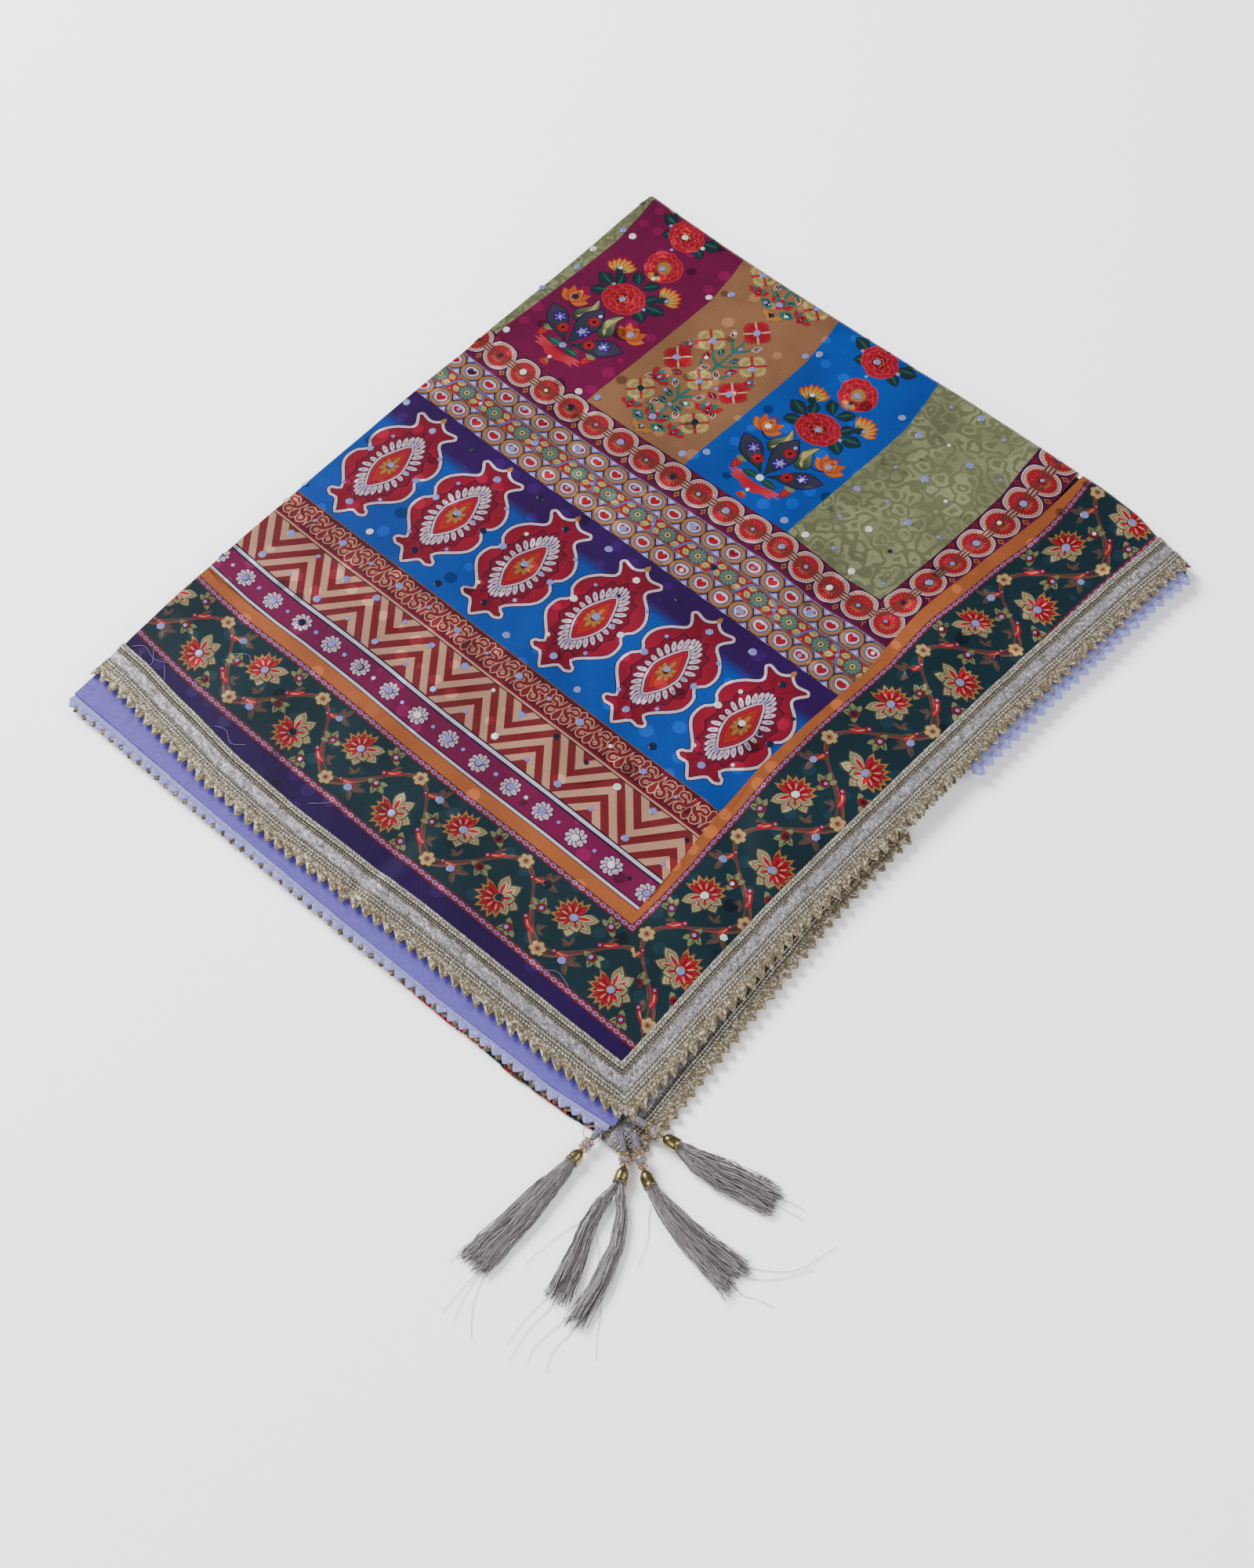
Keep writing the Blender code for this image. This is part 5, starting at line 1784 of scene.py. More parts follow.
def lace_band(name, length, place, finish):
    """The lace's band: place(s, v, out) gives its points."""
    dice = random.Random(name)
    steps = round(length / LACE_STEP)
    count = len(LACE_ROWS)
    points, inks, layout, faces, baked = [], [], [], [], []
    for k in range(steps + 1):
        s = length * k / steps
        for v in LACE_ROWS:
            out, ink = lace_surface(s, v, dice.random())
            points.append(to_frame(*place(s, v, out)))
            inks.append(ink)
            layout.append((s / 1000, v / 1000))
    strips = 8
    per = steps / strips
    for k in range(steps):
        strip = int(k / per)
        for j in range(count - 1):
            a = k * count + j
            faces.append((a, a + 1, a + 1 + count, a + count))
            for column, row in ((k, j), (k, j + 1), (k + 1, j + 1), (k + 1, j)):
                u = (column - strip * per) / (per + 1)
                across = (LACE_ROWS[row] + 0.4) / 27.6
                baked += [u, (strip + 0.04 + 0.92 * across) / strips]
    return add_mesh(name, points, faces, finish, inks, layout, baked=baked)


def lace_points(name, length, place, finish, start=26.0, depth=POINT_DEPTH + 1.0, tones=None, pitch=9.6):
    """The lace's folded points: each a small triangle of ribbon, its two sides folded to its tip."""
    dice = random.Random(name)
    dark, light, glint_ink = tones or (LACE_BROWN, LACE_GOLD, LACE_HIGHLIGHT)
    points, inks, faces = [], [], []
    number = round(length / pitch)
    across, outward = 9, 6
    for n in range(number):
        middle = (n + 0.5) * length / number
        half = pitch * (0.6 + 0.03 * dice.uniform(-1, 1))
        reach = depth * dice.uniform(0.9, 1.06)
        lean = dice.uniform(-0.8, 0.8)
        lift = dice.uniform(-0.15, 0.35)
        fold = dice.choice((-1, 1)) if dice.random() < 0.25 else 1
        base = len(points)
        for layer in (0, 1):
            for j in range(outward + 1):
                b = j / outward
                width = half * (1 - b) ** 0.85 + 0.3
                for i in range(across):
                    a = 2 * i / (across - 1) - 1
                    s = middle + a * width + lean * b
                    v = start + reach * b
                    body = 0.75 * math.sqrt(max(0.0, 1 - a * a)) * (1 - 0.45 * b) + lift * b
                    step = 0.35 * smooth(fold * a * 6 + 0.5) * (1 - b)
                    out = 0.55 + body + step if layer == 0 else 0.25 + lift * b
                    points.append(to_frame(*place(s, v, out)))
                    # The upper face gets bands of painted light and shade and random painted glints; the
                    # underside a plain darker tone.
                    shade = 0.5 + 0.5 * math.sin(2 * math.pi * (a * 1.6 + b * 1.2 + 0.3 * n))
                    ink = ink_mix(dark, light, shade if layer == 0 else 0.1)
                    if layer == 0 and dice.random() < 0.18:
                        ink = glint_ink
                    inks.append(ink)
        size = across * (outward + 1)
        for j in range(outward):
            for i in range(across - 1):
                a = base + j * across + i
                faces.append((a, a + across, a + across + 1, a + 1))
                faces.append((a + size, a + size + 1, a + size + across + 1, a + size + across))
        rim = [base + i for i in range(across)]
        rim += [base + j * across + across - 1 for j in range(1, outward + 1)]
        rim += [base + outward * across + i for i in range(across - 2, -1, -1)]
        rim += [base + j * across for j in range(outward - 1, 0, -1)]
        for a, b in zip(rim, rim[1:] + rim[:1]):
            faces.append((a, b, b + size, a + size))
    return add_mesh(name, points, faces, finish, inks)


def lace_material(name, metallic, rough, sparkle):
    """Metallic thread: the ink attribute with sparkling grains, each painted lighter or darker at random as
    painted sparkle.
    """
    made, tree, shader = new_material(name, Metallic=metallic, Specular_IOR_Level=0.3)
    place = node(tree, "ShaderNodeTexCoord").outputs["Object"]
    grains = node(tree, "ShaderNodeTexVoronoi", Vector=place, Scale=900.0)
    chance = split_colour(tree, grains.outputs["Color"])
    show_colour(tree, shader, range_node(tree, chance[0], 0.0, 1.0, 1 - sparkle, 1 + sparkle))
    uneven = range_node(tree, chance[1], 0.0, 1.0, rough - 0.12, rough + 0.16)
    tree.links.new(uneven, shader.inputs["Roughness"])
    show_bump(tree, shader, chance[2], 0.5, 0.0003)
    return made


gota = lace_material("gota_thread", 0.35, 0.4, 0.35)
reverse = lace_material("lace_back", 0.05, 0.6, 0.12)
CORNER_X, CORNER_Y = side_lace_x(-282.0), end_lace_y(231.0)


def on_end_lace(s, v, out):
    """A point of the end lace: s from the mitre towards the -X fold, v outwards."""
    corner = CORNER_X + v
    share = s / 520.0
    x = corner - s - v * share
    return drape_top(x, end_lace_y(x) - v, out)


def on_side_lace(s, v, out):
    """A point of the side lace: s from the mitre towards the +Y fold, v outwards."""
    share = s / 640.0
    y = CORNER_Y - v + s + v * share
    return drape_top(side_lace_x(min(y, LAST_Y)) + v, y, out)


def moved_lace(place, along, out_by=0.0):
    """The same lace from a little further along it, and higher or lower."""
    return lambda s, v, out: place(s + along, v, out + out_by)


END_LENGTH = CORNER_X - fold_x(-300.0) + FOLD_ARC_X + 4.0
SIDE_LENGTH = fold_y(245.0) - CORNER_Y + 16.0
lace_pieces = [
    (lace_band("lace_end_top", END_LENGTH, on_end_lace, gota), "gota_end_top"),
    (lace_points("lace_end_points", END_LENGTH - 6, moved_lace(on_end_lace, 3), gota), None),
    (lace_band("lace_side_top", SIDE_LENGTH, on_side_lace, gota), "gota_side_top"),
    (lace_points("lace_side_points", SIDE_LENGTH - 6, moved_lace(on_side_lace, 3), gota), None),
]


def lining_height(x, y):
    """Upper face of the second layer, whose lilac reverse shows past the top layer's lace."""
    hem = end_lace_y(x) - LACE_BAND - POINT_DEPTH
    fall = 1.5 * smooth((hem + 4.0 - y) / 20.0)
    return smooth_height(x, y) - CLOTH_WALL - LAYER_GAP - LACE_WALL - fall


def build_lining(finish):
    """The lilac reverse of the second layer with its rolled hem."""
    flat = bmesh.new()
    low_x, high_x = fold_x(-320.0) + 0.8, side_lace_x(-320.0) + 24.0
    columns, rows, top_y, depth = 190, 26, -300.0, 28.0
    roll, turned_under = 0.45, 9.0
    grid = []
    for k in range(columns + 1):
        x = low_x + (high_x - low_x) * k / columns
        grid.append([flat.verts.new((x, top_y - depth * j / rows, 0.0)) for j in range(rows + 1)])
    for a, b in zip(grid, grid[1:]):
        for j in range(rows):
            flat.faces.new((a[j], a[j + 1], b[j + 1], b[j]))

    def drape(x, y):
        hem = read_table(LINING_EDGE, x, 1)
        start = end_lace_y(x) - LACE_BAND + 4.0
        run = start - hem
        share = (top_y - y) / depth
        along = (run + turned_under) * share
        puckers = 0.35 * noise.noise(Vector((x / 5.5, y / 26.0, 1.0)))
        puckers += 0.25 * noise.noise(Vector((x / 14.0, 0.0, 6.0)))
        if along < run:
            lay, near_hem = start - along, run - along
            groove = -0.5 * math.exp(-(((near_hem - 2.6) / 0.7) ** 2))
            z = lining_height(x, lay) + groove + puckers * smooth(along / 6) - 0.15
            z -= 0.5 * smooth(1 - near_hem / 0.8)
            return Vector((x, lay, z))
        past = along - run
        angle = min(math.pi, past / roll)
        leg = max(0.0, past - math.pi * roll)
        z = lining_height(x, hem) - 0.65 - roll * (1 - math.cos(angle)) + puckers * 0.6
        return Vector((x, hem - roll * math.sin(angle) + leg, z))

    return drape_mesh("lilac_hem", flat, drape, [finish], with_normals=False)


def lilac_material():
    """Slubbed lilac silk."""
    made, tree, shader = new_material("lilac_silk", Roughness=0.5, Specular_IOR_Level=0.2)
    flat = node(tree, "ShaderNodeUVMap", uv_map="flat").outputs["UV"]
    lengthwise = vector_node(tree, "MULTIPLY", flat, (2600.0, 260.0, 1.0))
    slubs = node(tree, "ShaderNodeTexNoise", Vector=lengthwise, Scale=1.0, Detail=3.0)
    crosswise = vector_node(tree, "MULTIPLY", flat, (160.0, 1900.0, 1.0))
    wefts = node(tree, "ShaderNodeTexNoise", Vector=crosswise, Scale=1.0, Detail=2.0)
    threads = math_node(tree, "ADD", slubs.outputs[0], wefts.outputs[0])
    tone = range_node(tree, threads, 0.7, 1.3, 0.8, 1.22)
    show_colour(tree, shader, tone, display(114, 102, 198))
    show_bump(tree, shader, threads, 0.4, 0.0002)
    return made


lilac = lilac_material()
hem = build_lining(lilac)
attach(hem, "root")
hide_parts("lining_second")

# The second layer's lace seen from its back, and the gold fold of each point behind it
PALE = (display(146, 146, 216), display(169, 169, 243), display(190, 190, 243))
GILT = (LACE_DARK, LACE_BROWN, LACE_GOLD)
SECOND_LENGTH = 505.0
LOW_X = fold_x(-320.0) + 1.0
HIGH_X = side_lace_x(-320.0) + 22.0


def on_second_end(s, v, out):
    """A point of the second layer's end lace: s from the -X fold, v outwards."""
    x = LOW_X + s * (HIGH_X - LOW_X) / SECOND_LENGTH
    hem_y, tip = read_table(LINING_EDGE, x, 1), read_table(LINING_EDGE, x, 2)
    y = hem_y + 8.0 + (tip - hem_y - 8.0) * v / 18.5
    return Vector((x, y, lining_height(x, y) - 2.9 + out))


def pale_band(name, length, width, place, finish):
    """The plain back of the lace's band."""
    steps, rows = round(length / 2.5), 6
    points, inks, faces, layout = [], [], [], []
    for k in range(steps + 1):
        for j in range(rows + 1):
            s, v = length * k / steps, width * j / rows
            points.append(to_frame(*place(s, v, 0.75 + 0.15 * (j % 2))))
            inks.append(ink_mix(PALE[0], PALE[2], 0.5 + 0.4 * noise.noise(Vector((s / 3.0, v / 2.0, 0.0)))))
            layout.append((s / 1000, v / 1000))
    for k in range(steps):
        for j in range(rows):
            a = k * (rows + 1) + j
            faces.append((a, a + 1, a + rows + 2, a + rows + 1))
    return add_mesh(name, points, faces, finish, inks, layout)


gilt_place = moved_lace(on_second_end, 5.0, -0.75)
lace_pieces += [
    (pale_band("lace_second_end", SECOND_LENGTH, 13.0, on_second_end, reverse), "gota_end_second"),
    (lace_points("lace_second_points", SECOND_LENGTH, on_second_end, reverse, 12.0, 6.5, PALE), None),
    (lace_points("lace_second_gold", SECOND_LENGTH - 10, gilt_place, gota, 12.6, 6.0, GILT), None),
]


def on_second_side(s, v, out):
    """The second layer's lace on the +X side: s from y = 45, v from the top lace's edge."""
    y = 45.0 + s
    x = side_lace_x(y) + 12.0 + v
    return Vector((x, y, smooth_height(x, y) - CLOTH_WALL - LAYER_GAP - LACE_WALL - 1.1 + out))


THIRD_EDGE = (
    # y, point_x, z
    (-328.0, 283.0, 3.6),
    (-300.0, 283.5, 4.2),
    (-250.0, 279.5, 5.6),
    (-200.0, 275.5, 6.2),
    (-150.0, 271.5, 6.4),
    (-100.0, 267.5, 6.4),
    (-20.0, 267.0, 6.4),
)


def on_third_side(s, v, out):
    """The third layer's lace on the +X side: s from the tassels, v outwards."""
    y = -328.0 + s
    tip = read_table(THIRD_EDGE, y, 1)
    inner = side_lace_x(y) + 14.0
    x = max(inner, tip - 33.5 + v) if v < 27.2 else tip - 33.5 + v
    roof = smooth_height(x, y) - CLOTH_WALL - 1.1 - 1.05 - 1.3
    if y < end_lace_y(x) + 4.0:
        roof = lining_height(x, y) - 1.0 - 1.1 - 1.75
    return Vector((x, y, min(roof, read_table(THIRD_EDGE, y, 2)) - 1.1 + out))


lace_pieces += [
    (pale_band("lace_second_side", 240.0, 23.5, on_second_side, reverse), "gota_side_second"),
    (lace_points("lace_second_side_points", 240.0, on_second_side, reverse, 22.6, 7.0, PALE), None),
    (lace_band("lace_third_side", 306.0, on_third_side, gota), "gota_side_third"),
    (lace_points("lace_third_points", 306.0, on_third_side, gota), None),
]
for made, stood_for in lace_pieces:
    pale = made.data.materials[0] == reverse
    if stood_for:
        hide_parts(stood_for)


MIRROR_RINGS = ((1.0, 0.1), (1.0, 0.3), (0.86, 0.5))  # share of the radius, height over the cloth
MIRROR_TOP = 0.535


def facet_disc(points, faces, inks, spot, normal, radius, sides, ink, dice):
    """A small flat mirror with a bevelled rim, laid on the cloth with a slight tilt."""
    tilt = Vector((dice.uniform(-0.12, 0.12), dice.uniform(-0.12, 0.12), 0.0))
    up = (normal + tilt).normalized()
    side = up.cross(Vector((0, 1, 0))).normalized()
    other = up.cross(side)
    base = len(points)
    spin = dice.uniform(0, math.pi)
    for share, lift in MIRROR_RINGS:
        for k in range(sides):
            angle = spin + 2 * math.pi * k / sides
            offset = (side * math.cos(angle) + other * math.sin(angle)) * radius * share
            points.append(to_frame(*(spot + offset + up * lift)))
    points.append(to_frame(*(spot + up * MIRROR_TOP)))
    inks += [ink] * (len(points) - base)
    top = len(points) - 1
    for ring in (0, 1):
        for k in range(sides):
            a, b = base + ring * sides + k, base + ring * sides + (k + 1) % sides
            faces.append((a, b, b + sides, a + sides))
    for k in range(sides):
        faces.append((base + 2 * sides + k, base + 2 * sides + (k + 1) % sides, top))


def mirror_spots():
    """Flat print places of the mirrors: (place function, x, y, 1 for a large one)."""
    spots = []

    def put(x, y, big=1, place=place_rows):
        spots.append((place, x, y, big))

    for middle in (-210.0, -11.0):
        for dx, dy, big in (
            (0, 207, 1), (1, 252, 1), (-4, 271, 0), (-3, 289, 1), (-30, 184, 1), (30, 184, 1),
            (1, 161, 1), (0, 181, 0), (-1, 140, 1), (-22, 160, 0), (23, 158, 0), (-25, 230, 0),
            (26, 228, 0), (-17, 213, 0), (19, 210, 0), (2, 239, 0), (-19, 290, 0), (16, 289, 0),
            (-23, 306, 0), (-1, 304, 0), (17, 304, 0), (0, 125, 0),
        ):  # fmt: skip
            put(middle + dx, dy, big, place_field)
    for foot in (0.0, 150.0):
        for dx, dy, big in (
            (-27, 149, 1), (27, 150, 1), (-28, 190, 1), (27, 188, 1), (1, 184, 1), (-20, 221, 1),
            (22, 218, 1), (1, 249, 1), (-1, 134, 1), (0, 152, 0), (2, 228, 0), (-12, 238, 0),
            (14, 238, 0), (-31, 207, 0), (31, 207, 0), (-24, 168, 0), (21, 170, 0),
            (-11, 204, 0), (12, 204, 0), (-11, 129, 0), (10, 128, 0), (0, 121, 0),
            (-12, 160, 0), (9, 160, 0), (-14, 172, 0), (16, 186, 0),
        ):  # fmt: skip
            put(-110.0 + dx, dy + foot, big, place_field)
    for x, y in (
        (-254, 122), (-249, 261), (-169, 115), (-162, 254), (-154, 122), (-149, 267), (-69, 121), (-64, 256),
        (-57, 134), (-57, 265), (28, 121), (30, 258), (-264, 294), (-266, 172), (-260, 261), (-265, 231),
        (-262, 208),
    ):  # fmt: skip
        put(x, y, 1, place_field)
    for row, y in enumerate((123, 154, 184, 219, 256, 294, 330)):
        for k in range(4):
            x = 44.0 + 23.5 * k + (11.0 if row % 2 else 4.0)
            if x < 124:
                put(x, y + (3 if k % 2 else -2), (k + row) % 2 == 0, place_field)
    for k in range(-1, 15):
        put(-240.0 + 25.64 * k, 99.5, k % 2 == 1, place_field)
    for k in range(8):
        put(141.0, 122.0 + 26.2 * k, k % 2 == 1, place_field)
    put(143.0, 101.0, 0, place_field)
    for k in range(-2, 22):
        if k % 3 == 0:
            put(-244.9 + 18.9 * k, 73.0, k % 2 == 0)
        if k % 3 == 1:
            put(-244.9 + 18.9 * k, 37.8, k % 2 == 0)
    for k in range(-1, 14):
        if k % 2:
            put(-247.1 + 29.3 * k, 54.5, k % 3 == 0)
    for k in range(-1, 6):
        middle = -226.0 + 69.4 * k
        for dx, dy, big in (
            (0, 9, 1), (-23, -34, 1), (24, -34, 1), (0, -35, 1), (1, -80, 1), (24, -7, 0),
            (-19, -14, 0), (0, -9, 0), (14, -33, 0), (0, -63, 0), (-14, -70, 0), (17, -64, 0),
            (35, 17, 1), (34, -90, 1),
        ):  # fmt: skip
            put(middle + dx, dy, big)
    for k in range(-1, 15):
        x = -262.0 + 29.6 * k
        put(x + 2, -110.0, k % 2 == 0)
        put(x + 27.0, -129.5 - (k % 3), k % 3 != 1)
        put(x + 25.0, -158.0 + (k % 2), k % 2 == 0)
        put(-259.6 + 29.6 * k, -180.3, 1)
        put(-245.0 + 29.6 * k, -180.0, 0)
    for k in range(-1, 6):
        for x, y, big in (
            (5, -11.5, 1), (50, 11, 1), (21, 18, 1), (-33, -17, 1), (-25, 22, 0), (-20, -2.5, 0),
            (24, -23, 0), (30, 2.5, 0),
        ):  # fmt: skip
            put(x + VINE_PITCH * k, y - 43.5, big, place_end_border)
            put(x - VINE_PITCH * k, y - 43.5, big, place_side_border)
    return spots


def build_mirrors(finish):
    """All mirrors as one piece. Those past the edge of their own print are left out."""
    dice = random.Random(7)
    points, faces, inks = [], [], []
    for place, x, y, big in mirror_spots():
        lay_x, lay_y = place(x, y)
        lay_x += dice.uniform(-0.8, 0.8)
        lay_y += dice.uniform(-0.8, 0.8)
        if place is place_end_border and join_line(lay_x, lay_y) > -2 and lay_x > 160:
            continue
        if place is place_side_border and join_line(lay_x, lay_y) < 2:
            continue
        if place is place_rows and lay_x > between(SIDE_PRINT, lay_y) - 3:
            continue
        if lay_y < end_lace_y(lay_x) + 4 or lay_x > side_lace_x(lay_y) - 4 or lay_x < turn_x(lay_y) - 3:
            continue
        spot = drape_top(lay_x, lay_y)
        normal = drape_normal(drape_top, lay_x, lay_y, spot)
        # Painted reflections: each mirror's colour stands for what it reflects, mostly pale blue, some dark
        # and some white.
        chance = dice.random()
        ink = display(138, 142, 208)
        if chance < 0.12:
            ink = display(30, 30, 60)
        elif chance < 0.24:
            ink = display(243, 243, 243)
        radius = dice.uniform(2.8, 3.2) if big else dice.uniform(1.5, 1.9)
        sides = dice.choice((6, 8, 8)) if big else 7
        facet_disc(points, faces, inks, spot, normal, radius, sides, ink, dice)
    return add_mesh("mirrors", points, faces, finish, inks, smooth=False)


def ink_material(name, **sockets):
    """The ink attribute alone on a shader with fixed values."""
    made, tree, shader = new_material(name, **sockets)
    show_colour(tree, shader)
    return made


mirrors = build_mirrors(ink_material("mirror_glass", Metallic=0.2, Roughness=0.22))

# The tassels, as in the solids: chains of a cone, a bead and a cap, and the sections of their threads
TASSELS = (
    # name, cone start (x, y, z), cone end, cap start, cap end
    ("tassel_1", (251.5, -327.0, 6.0), (251.8, -333.5, 5.8), (251.9, -343.0, 5.4), (252.2, -352.5, 5.2)),
    ("tassel_2", (264.5, -320.0, 8.6), (274.0, -326.0, 7.6), (279.8, -333.0, 6.0), (284.6, -343.0, 5.3)),
    ("tassel_3", (271.5, -314.5, 8.0), (280.0, -319.5, 8.6), (290.6, -326.8, 6.3), (301.0, -331.4, 5.4)),
    ("tassel_4", (266.5, -305.0, 9.6), (273.0, -304.0, 9.4), (285.0, -301.6, 7.2), (295.4, -299.4, 5.6)),
)
THREAD_RUNS = (
    # node, threads, sections of (x, y, width, z, height)
    ("tassel_1", 240, (
        (252.2, -351.5, 7.6, 5.2, 5.6), (252.4, -358.0, 8.4, 5.0, 5.8), (252.6, -375.0, 13.6, 4.4, 5.8),
        (253.2, -400.0, 18.0, 3.7, 5.4), (252.8, -425.0, 21.5, 3.3, 5.0), (252.6, -446.0, 24.0, 3.0, 4.6),
    )),
    ("tassel_2_left", 130, (
        (283.6, -342.4, 4.6, 5.3, 5.4), (284.4, -348.6, 4.8, 5.0, 5.4), (284.6, -359.0, 7.4, 4.4, 5.6),
        (288.4, -377.0, 10.0, 3.8, 5.2), (298.0, -400.0, 14.0, 3.4, 5.0), (307.5, -428.0, 17.5, 3.0, 4.6),
    )),
    ("tassel_2_right", 130, (
        (285.6, -341.6, 4.6, 5.3, 5.4), (289.0, -347.0, 4.8, 5.0, 5.4), (299.5, -357.5, 7.0, 4.4, 5.6),
        (311.0, -375.0, 9.0, 3.8, 5.2), (319.5, -399.0, 11.5, 3.4, 5.0), (326.0, -432.0, 14.0, 3.0, 4.6),
    )),
    ("tassel_3", 240, (
        (300.4, -331.2, 7.6, 5.4, 5.6), (306.0, -333.0, 8.2, 5.1, 5.6), (318.0, -335.6, 12.0, 4.4, 5.8),
        (340.0, -339.2, 17.5, 3.7, 5.4), (362.0, -339.8, 23.5, 3.3, 5.0), (384.0, -340.0, 29.0, 3.0, 4.6),
    )),
    ("tassel_4", 240, (
        (294.6, -299.6, 7.6, 5.6, 5.6), (300.0, -298.8, 9.0, 5.2, 5.8), (311.0, -298.0, 16.0, 4.4, 5.8),
        (330.0, -294.0, 20.0, 3.7, 5.4), (350.0, -288.6, 21.0, 3.3, 5.0), (368.0, -285.0, 20.5, 3.0, 4.6),
    )),
)  # fmt: skip
STRAYS = (
    # node, paths of (x, y) that leave the bundle's end
    ("tassel_1", ((257, -440), (258, -460), (259, -476)), ((258, -438), (262, -458), (268, -475))),
    ("tassel_1", ((261, -440), (270, -460), (284, -476)), ((246, -430), (242, -442), (240, -450))),
    ("tassel_2_left", ((300, -425), (300, -445), (302, -464)), ((306, -428), (306, -450), (310, -470))),
    ("tassel_2_right", ((318, -428), (316, -450), (319, -464)), ((326, -430), (326, -448), (332, -461))),
    ("tassel_2_right", ((330, -410), (340, -424), (349, -435)), ((288, -372), (278, -396), (276, -420))),
    ("tassel_3", ((378, -330), (396, -318), (405, -305), (411, -282))),
    ("tassel_3", ((384, -334), (398, -322), (410, -303))),
    ("tassel_3", ((386, -345), (396, -341), (408, -338)), ((310, -337), (322, -358), (328, -374))),
    ("tassel_4", ((366, -281), (376, -278), (382, -277)), ((368, -286), (378, -284), (386, -283))),
)
THREAD_RADIUS = 0.36
THREAD_TONES = (display(166, 158, 164), display(214, 208, 212), display(104, 98, 104), display(146, 138, 138))


def tube(points, faces, inks, path, radius, ink, sides=3, taper=0.7):
    """A thin thread along a path of (x, y, z)."""
    base = len(points)
    last = len(path) - 1
    for k, spot in enumerate(path):
        run = (path[min(last, k + 1)] - path[max(0, k - 1)]).normalized()
        side = run.cross(Vector((0, 0, 1)))
        side = side.normalized() if side.length > 1e-6 else Vector((1, 0, 0))
        other = side.cross(run)
        width = radius * (1 + (taper - 1) * k / last)
        for n in range(sides):
            angle = 2 * math.pi * n / sides + 0.5
            points.append(to_frame(*(spot + (side * math.cos(angle) + other * math.sin(angle)) * width)))
            inks.append(ink)
    for k in range(last):
        for n in range(sides):
            a, b = base + k * sides + n, base + k * sides + (n + 1) % sides
            faces.append((a, b, b + sides, a + sides))
    faces.append(tuple(base + n for n in range(sides)))
    faces.append(tuple(base + last * sides + n for n in reversed(range(sides))))


def build_threads(count, name, sections, finish):
    """A bundle of fine threads that spread from the cap, cross each other and end unevenly."""
    dice = random.Random(name)
    points, faces, inks = [], [], []
    last = len(sections) - 1
    centre = [Vector((x, y, z)) for x, y, _, z, _ in sections]
    runs = [(centre[min(k + 1, last)] - centre[max(k - 1, 0)]).normalized() for k in range(last + 1)]
    sides = [Vector((-run.y, run.x, 0.0)).normalized() for run in runs]
    fine, thickest = 5, 1.08
    for _ in range(count):
        angle, reach = dice.uniform(0, 2 * math.pi), math.sqrt(dice.random())
        u, v = reach * math.cos(angle), reach * math.sin(angle)
        drift = [dice.gauss(0, 0.16) for _ in range(last + 1)]
        finish_at = dice.uniform(0.9, 1.0) + (dice.uniform(0, 0.07) if dice.random() < 0.12 else 0.0)
        lock = int((u + 1) * 2.5)
        finish_at -= 0.05 * ((lock * 37) % 5) / 5
        ink = ink_mix(dice.choice(THREAD_TONES), dice.choice(THREAD_TONES), dice.random())
        phase, curl = dice.uniform(0, 6.28), dice.uniform(0.7, 1.25)
        path = []
        for step in range(last * fine + 1):
            t = min(last, step / fine * finish_at)
            low = min(last - 1, int(t))
            s = t - low
            spot = centre[low].lerp(centre[low + 1], s)
            side = sides[low].lerp(sides[low + 1], s)
            width = sections[low][2] + (sections[low + 1][2] - sections[low][2]) * s
            height = sections[low][4] + (sections[low + 1][4] - sections[low][4]) * s
            sway = drift[low] + (drift[low + 1] - drift[low]) * s
            loose = smooth(t / 1.5)
            across = max(-thickest, min(thickest, u + sway * loose))
            crinkle = 0.42 * loose * math.sin(phase + curl * 4.4 * t) + 0.2 * loose * dice.uniform(-1, 1)
            rise = v * height / 2 * math.sqrt(max(0.1, 1 - 0.6 * across**2))
            place = spot + side * (across * width / 2 + crinkle) + Vector((0, 0, rise))
            place.z = max(0.45, place.z + 0.3 * dice.uniform(-1, 1) * loose)
            path.append(place)
        tube(points, faces, inks, path, THREAD_RADIUS, ink)
    for row in STRAYS:
        if row[0] != name:
            continue
        for stray in row[1:]:
            start = sections[-2]
            path = [Vector((start[0], start[1], 3.0))] + [Vector((x, y, 0.6)) for x, y in stray]
            curve = [Vector(p) for p in rounded([tuple(p) for p in path], 5, closed=False)]
            for spot in curve:
                spot.z = max(0.3, spot.z)
            tube(points, faces, inks, curve, 0.22, THREAD_TONES[0])
    return add_mesh(name + "_threads", points, faces, finish, inks)


silk = ink_material("silk_thread", Roughness=0.45, Specular_IOR_Level=0.3)
for name, count, sections in THREAD_RUNS:
    made = build_threads(count, name, sections, silk)
    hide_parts(name + "_locks")


def turned(name, profile, start, end, finish, inks, steps=28, ripple=None):
    """A turned piece from (distance along, radius) pairs, laid from start towards end."""
    start, end = Vector(start), Vector(end)
    axis = (end - start).normalized()
    side = axis.cross(Vector((0, 0, 1))).normalized()
    other = side.cross(axis)
    points, faces, colours = [], [], []
    for row, (along, radius) in enumerate(profile):
        for k in range(steps):
            angle = 2 * math.pi * k / steps
            wide = radius * (1 + (ripple(angle, along) if ripple else 0.0))
            offset = (side * math.cos(angle) + other * math.sin(angle)) * wide
            points.append(to_frame(*(start + axis * along + offset)))
            colours.append(inks(row, angle))
    for row in range(len(profile) - 1):
        for k in range(steps):
            a, b = row * steps + k, row * steps + (k + 1) % steps
            faces.append((a, b, b + steps, a + steps))
    faces.append(tuple(reversed(range(steps))))
    first = (len(profile) - 1) * steps
    faces.append(tuple(first + k for k in range(steps)))
    return add_mesh(name, points, faces, finish, colours)


